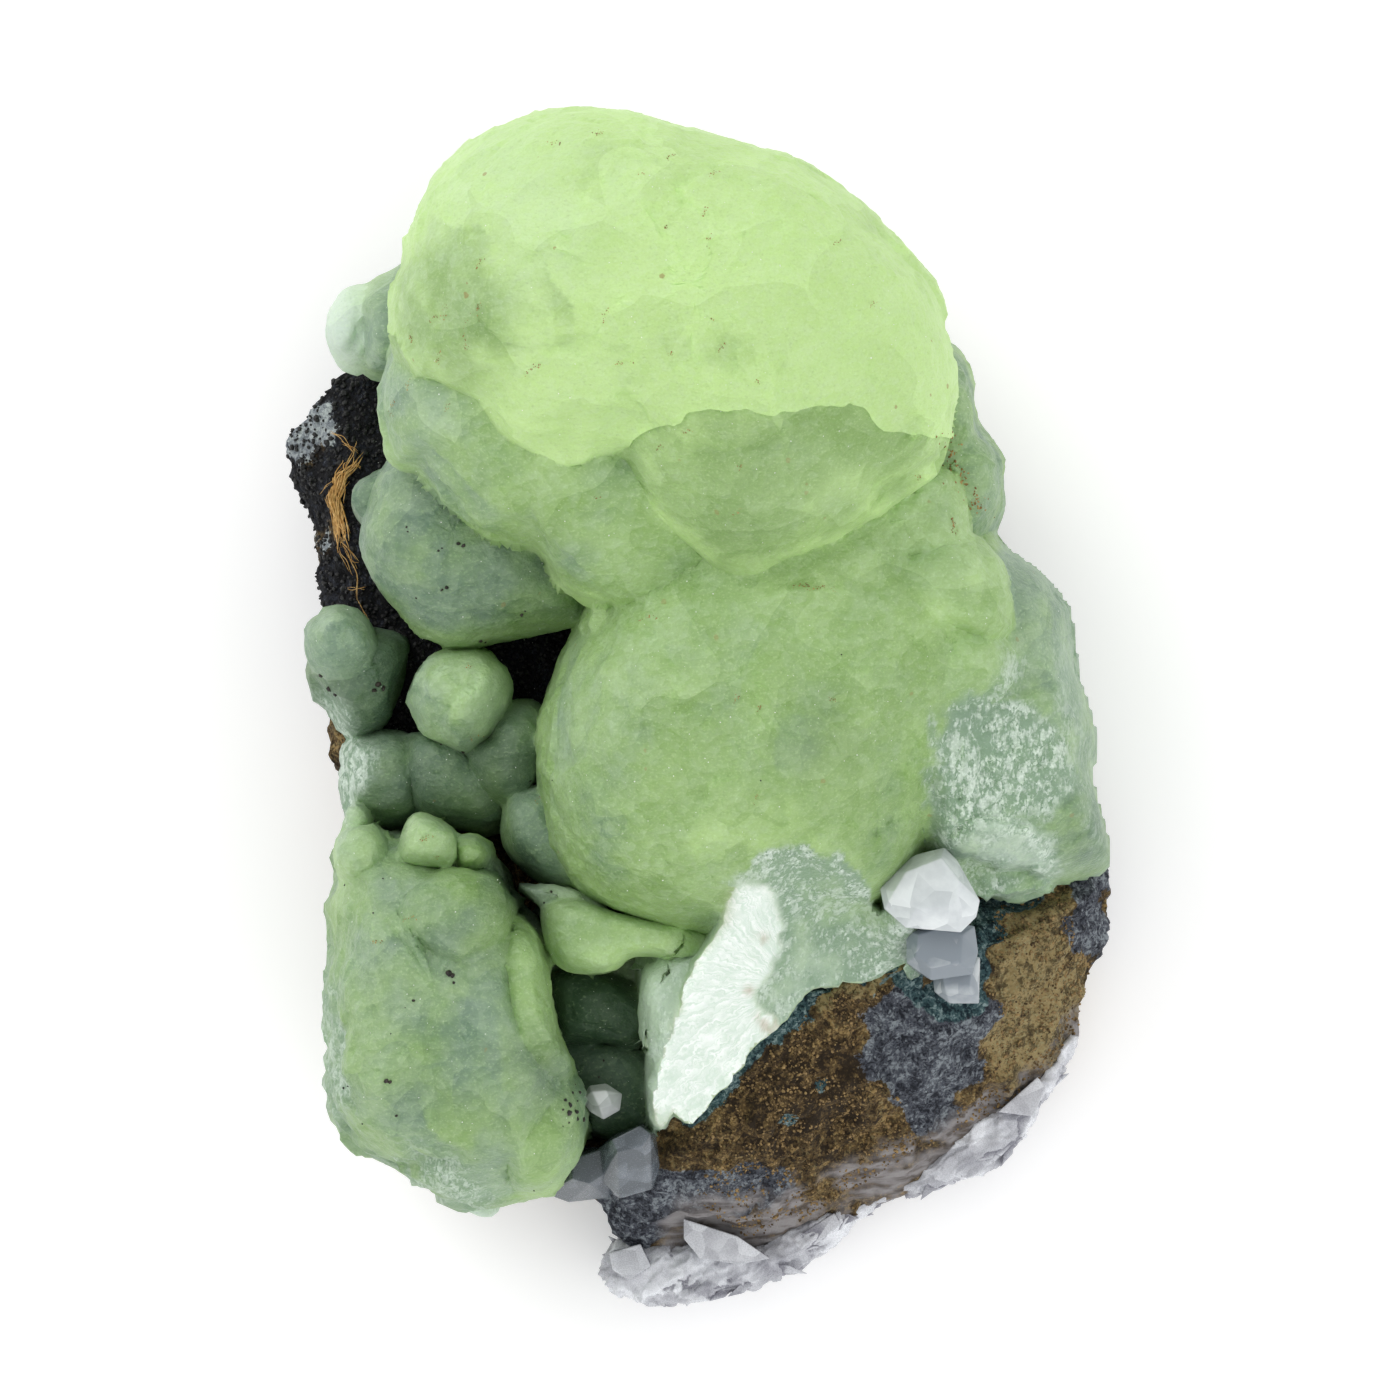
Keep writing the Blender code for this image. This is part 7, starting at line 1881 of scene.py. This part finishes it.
def makeFibres():
    lines, radii = [], []
    trail = np.array(tuftPath)
    for k in range(70):
        low = dice.uniform(0, len(trail) * 0.55)
        high = min(low + dice.uniform(2.0, 4.5), len(trail) - 1.001)
        t = np.linspace(low, high, 16)
        index = t.astype(int)
        line = trail[index] + (t - index)[:, None] * (trail[index + 1] - trail[index])
        wide = 0.34 if low < 4 else 0.22
        start, finish = dice.normal(0, wide, (2, 2))
        sway = np.linspace(0, 1, 16)[:, None]
        wave = 0.10 * np.sin(sway * dice.uniform(3, 9) + dice.uniform(0, 6)) * dice.normal(0, 1, (1, 2))
        lines.append(line + start * (1 - sway) + finish * sway + wave)
        radii.append(dice.uniform(0.025, 0.055))
    for stray in strays:
        stray = np.array(stray)
        for k in range(2):
            t = np.linspace(0, len(stray) - 1.001, 18)
            index = t.astype(int)
            line = stray[index] + (t - index)[:, None] * (stray[index + 1] - stray[index])
            for _ in range(4):
                line[1:-1] = (line[:-2] + 2 * line[1:-1] + line[2:]) / 4
            lines.append(line + dice.normal(0, 0.12, (1, 2)) + 0.06 * np.sin(t * 4)[:, None] * dice.normal(0, 1, (1, 2)))
            radii.append(dice.uniform(0.016, 0.028))
    raised = []
    for line in lines:
        places, ways, onRock = touchDown(line)
        height = places[:, 2]
        for _ in range(3):
            height = np.maximum(height, np.convolve(np.pad(height, 1, "edge"), (0.25, 0.5, 0.25), "valid"))
        raised.append(np.column_stack([line, height + dice.uniform(0.08, 0.75)]))
    fibre = grainMaterial("rootFibre", (0.480, 0.250, 0.060), (0.740, 0.480, 0.180), 0.7)
    return fibrePiece("rootFibres", raised, radii, fibre)


fibres = makeFibres()
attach(fibres, "root")
print("stage: grains, specks and fibres made")


# floor, light and camera

def makeStudio():
    mesh = bpy.data.meshes.new("floor")
    side = 1.6
    mesh.from_pydata([(-side, -side, 0), (side, -side, 0), (side, side, 0), (-side, side, 0)], [], [(0, 1, 2, 3)])
    floor = bpy.data.objects.new("floor", mesh)
    bpy.context.scene.collection.objects.link(floor)
    material, tree, shader = newMaterial("paleFloor")
    shader.inputs["Base Color"].default_value = (0.93, 0.93, 0.93, 1.0)
    shader.inputs["Roughness"].default_value = 0.9
    shader.inputs["Emission Color"].default_value = (1.0, 1.0, 1.0, 1.0)
    shader.inputs["Emission Strength"].default_value = 0.22
    mesh.materials.append(material)

    world = bpy.data.worlds.new("studio")
    bpy.context.scene.world = world
    world.use_nodes = True
    world.node_tree.nodes["Background"].inputs["Color"].default_value = (1.0, 1.0, 1.0, 1.0)
    world.node_tree.nodes["Background"].inputs["Strength"].default_value = 0.90

    lights = [("keyLight", (-0.45, 0.50, 0.62), 0.45, 2.0), ("fillLight", (0.50, -0.40, 0.40), 0.60, 0.9)]
    for name, place, size, power in lights:
        light = bpy.data.lights.new(name, "AREA")
        light.shape = "DISK"
        light.size = size
        light.energy = power
        lamp = bpy.data.objects.new(name, light)
        lamp.location = place
        lamp.rotation_euler = (Vector((0, 0, 0.02)) - Vector(place)).to_track_quat("-Z", "Y").to_euler()
        bpy.context.scene.collection.objects.link(lamp)


def makeCamera():
    lens, sensor, width, level = 600.0, 36.0, 119.0 * mm, 24.0 * mm
    camera = bpy.data.cameras.new("camera")
    camera.lens = lens
    camera.sensor_width = sensor
    camera.clip_start = 0.05
    camera.clip_end = 10.0
    rig = bpy.data.objects.new("camera", camera)
    rig.location = (0.0, 0.38 * mm, level + width * lens / sensor)
    bpy.context.scene.collection.objects.link(rig)
    bpy.context.scene.camera = rig


makeStudio()
makeCamera()
bpy.context.scene.view_settings.view_transform = "Standard"
print("stage: studio set")
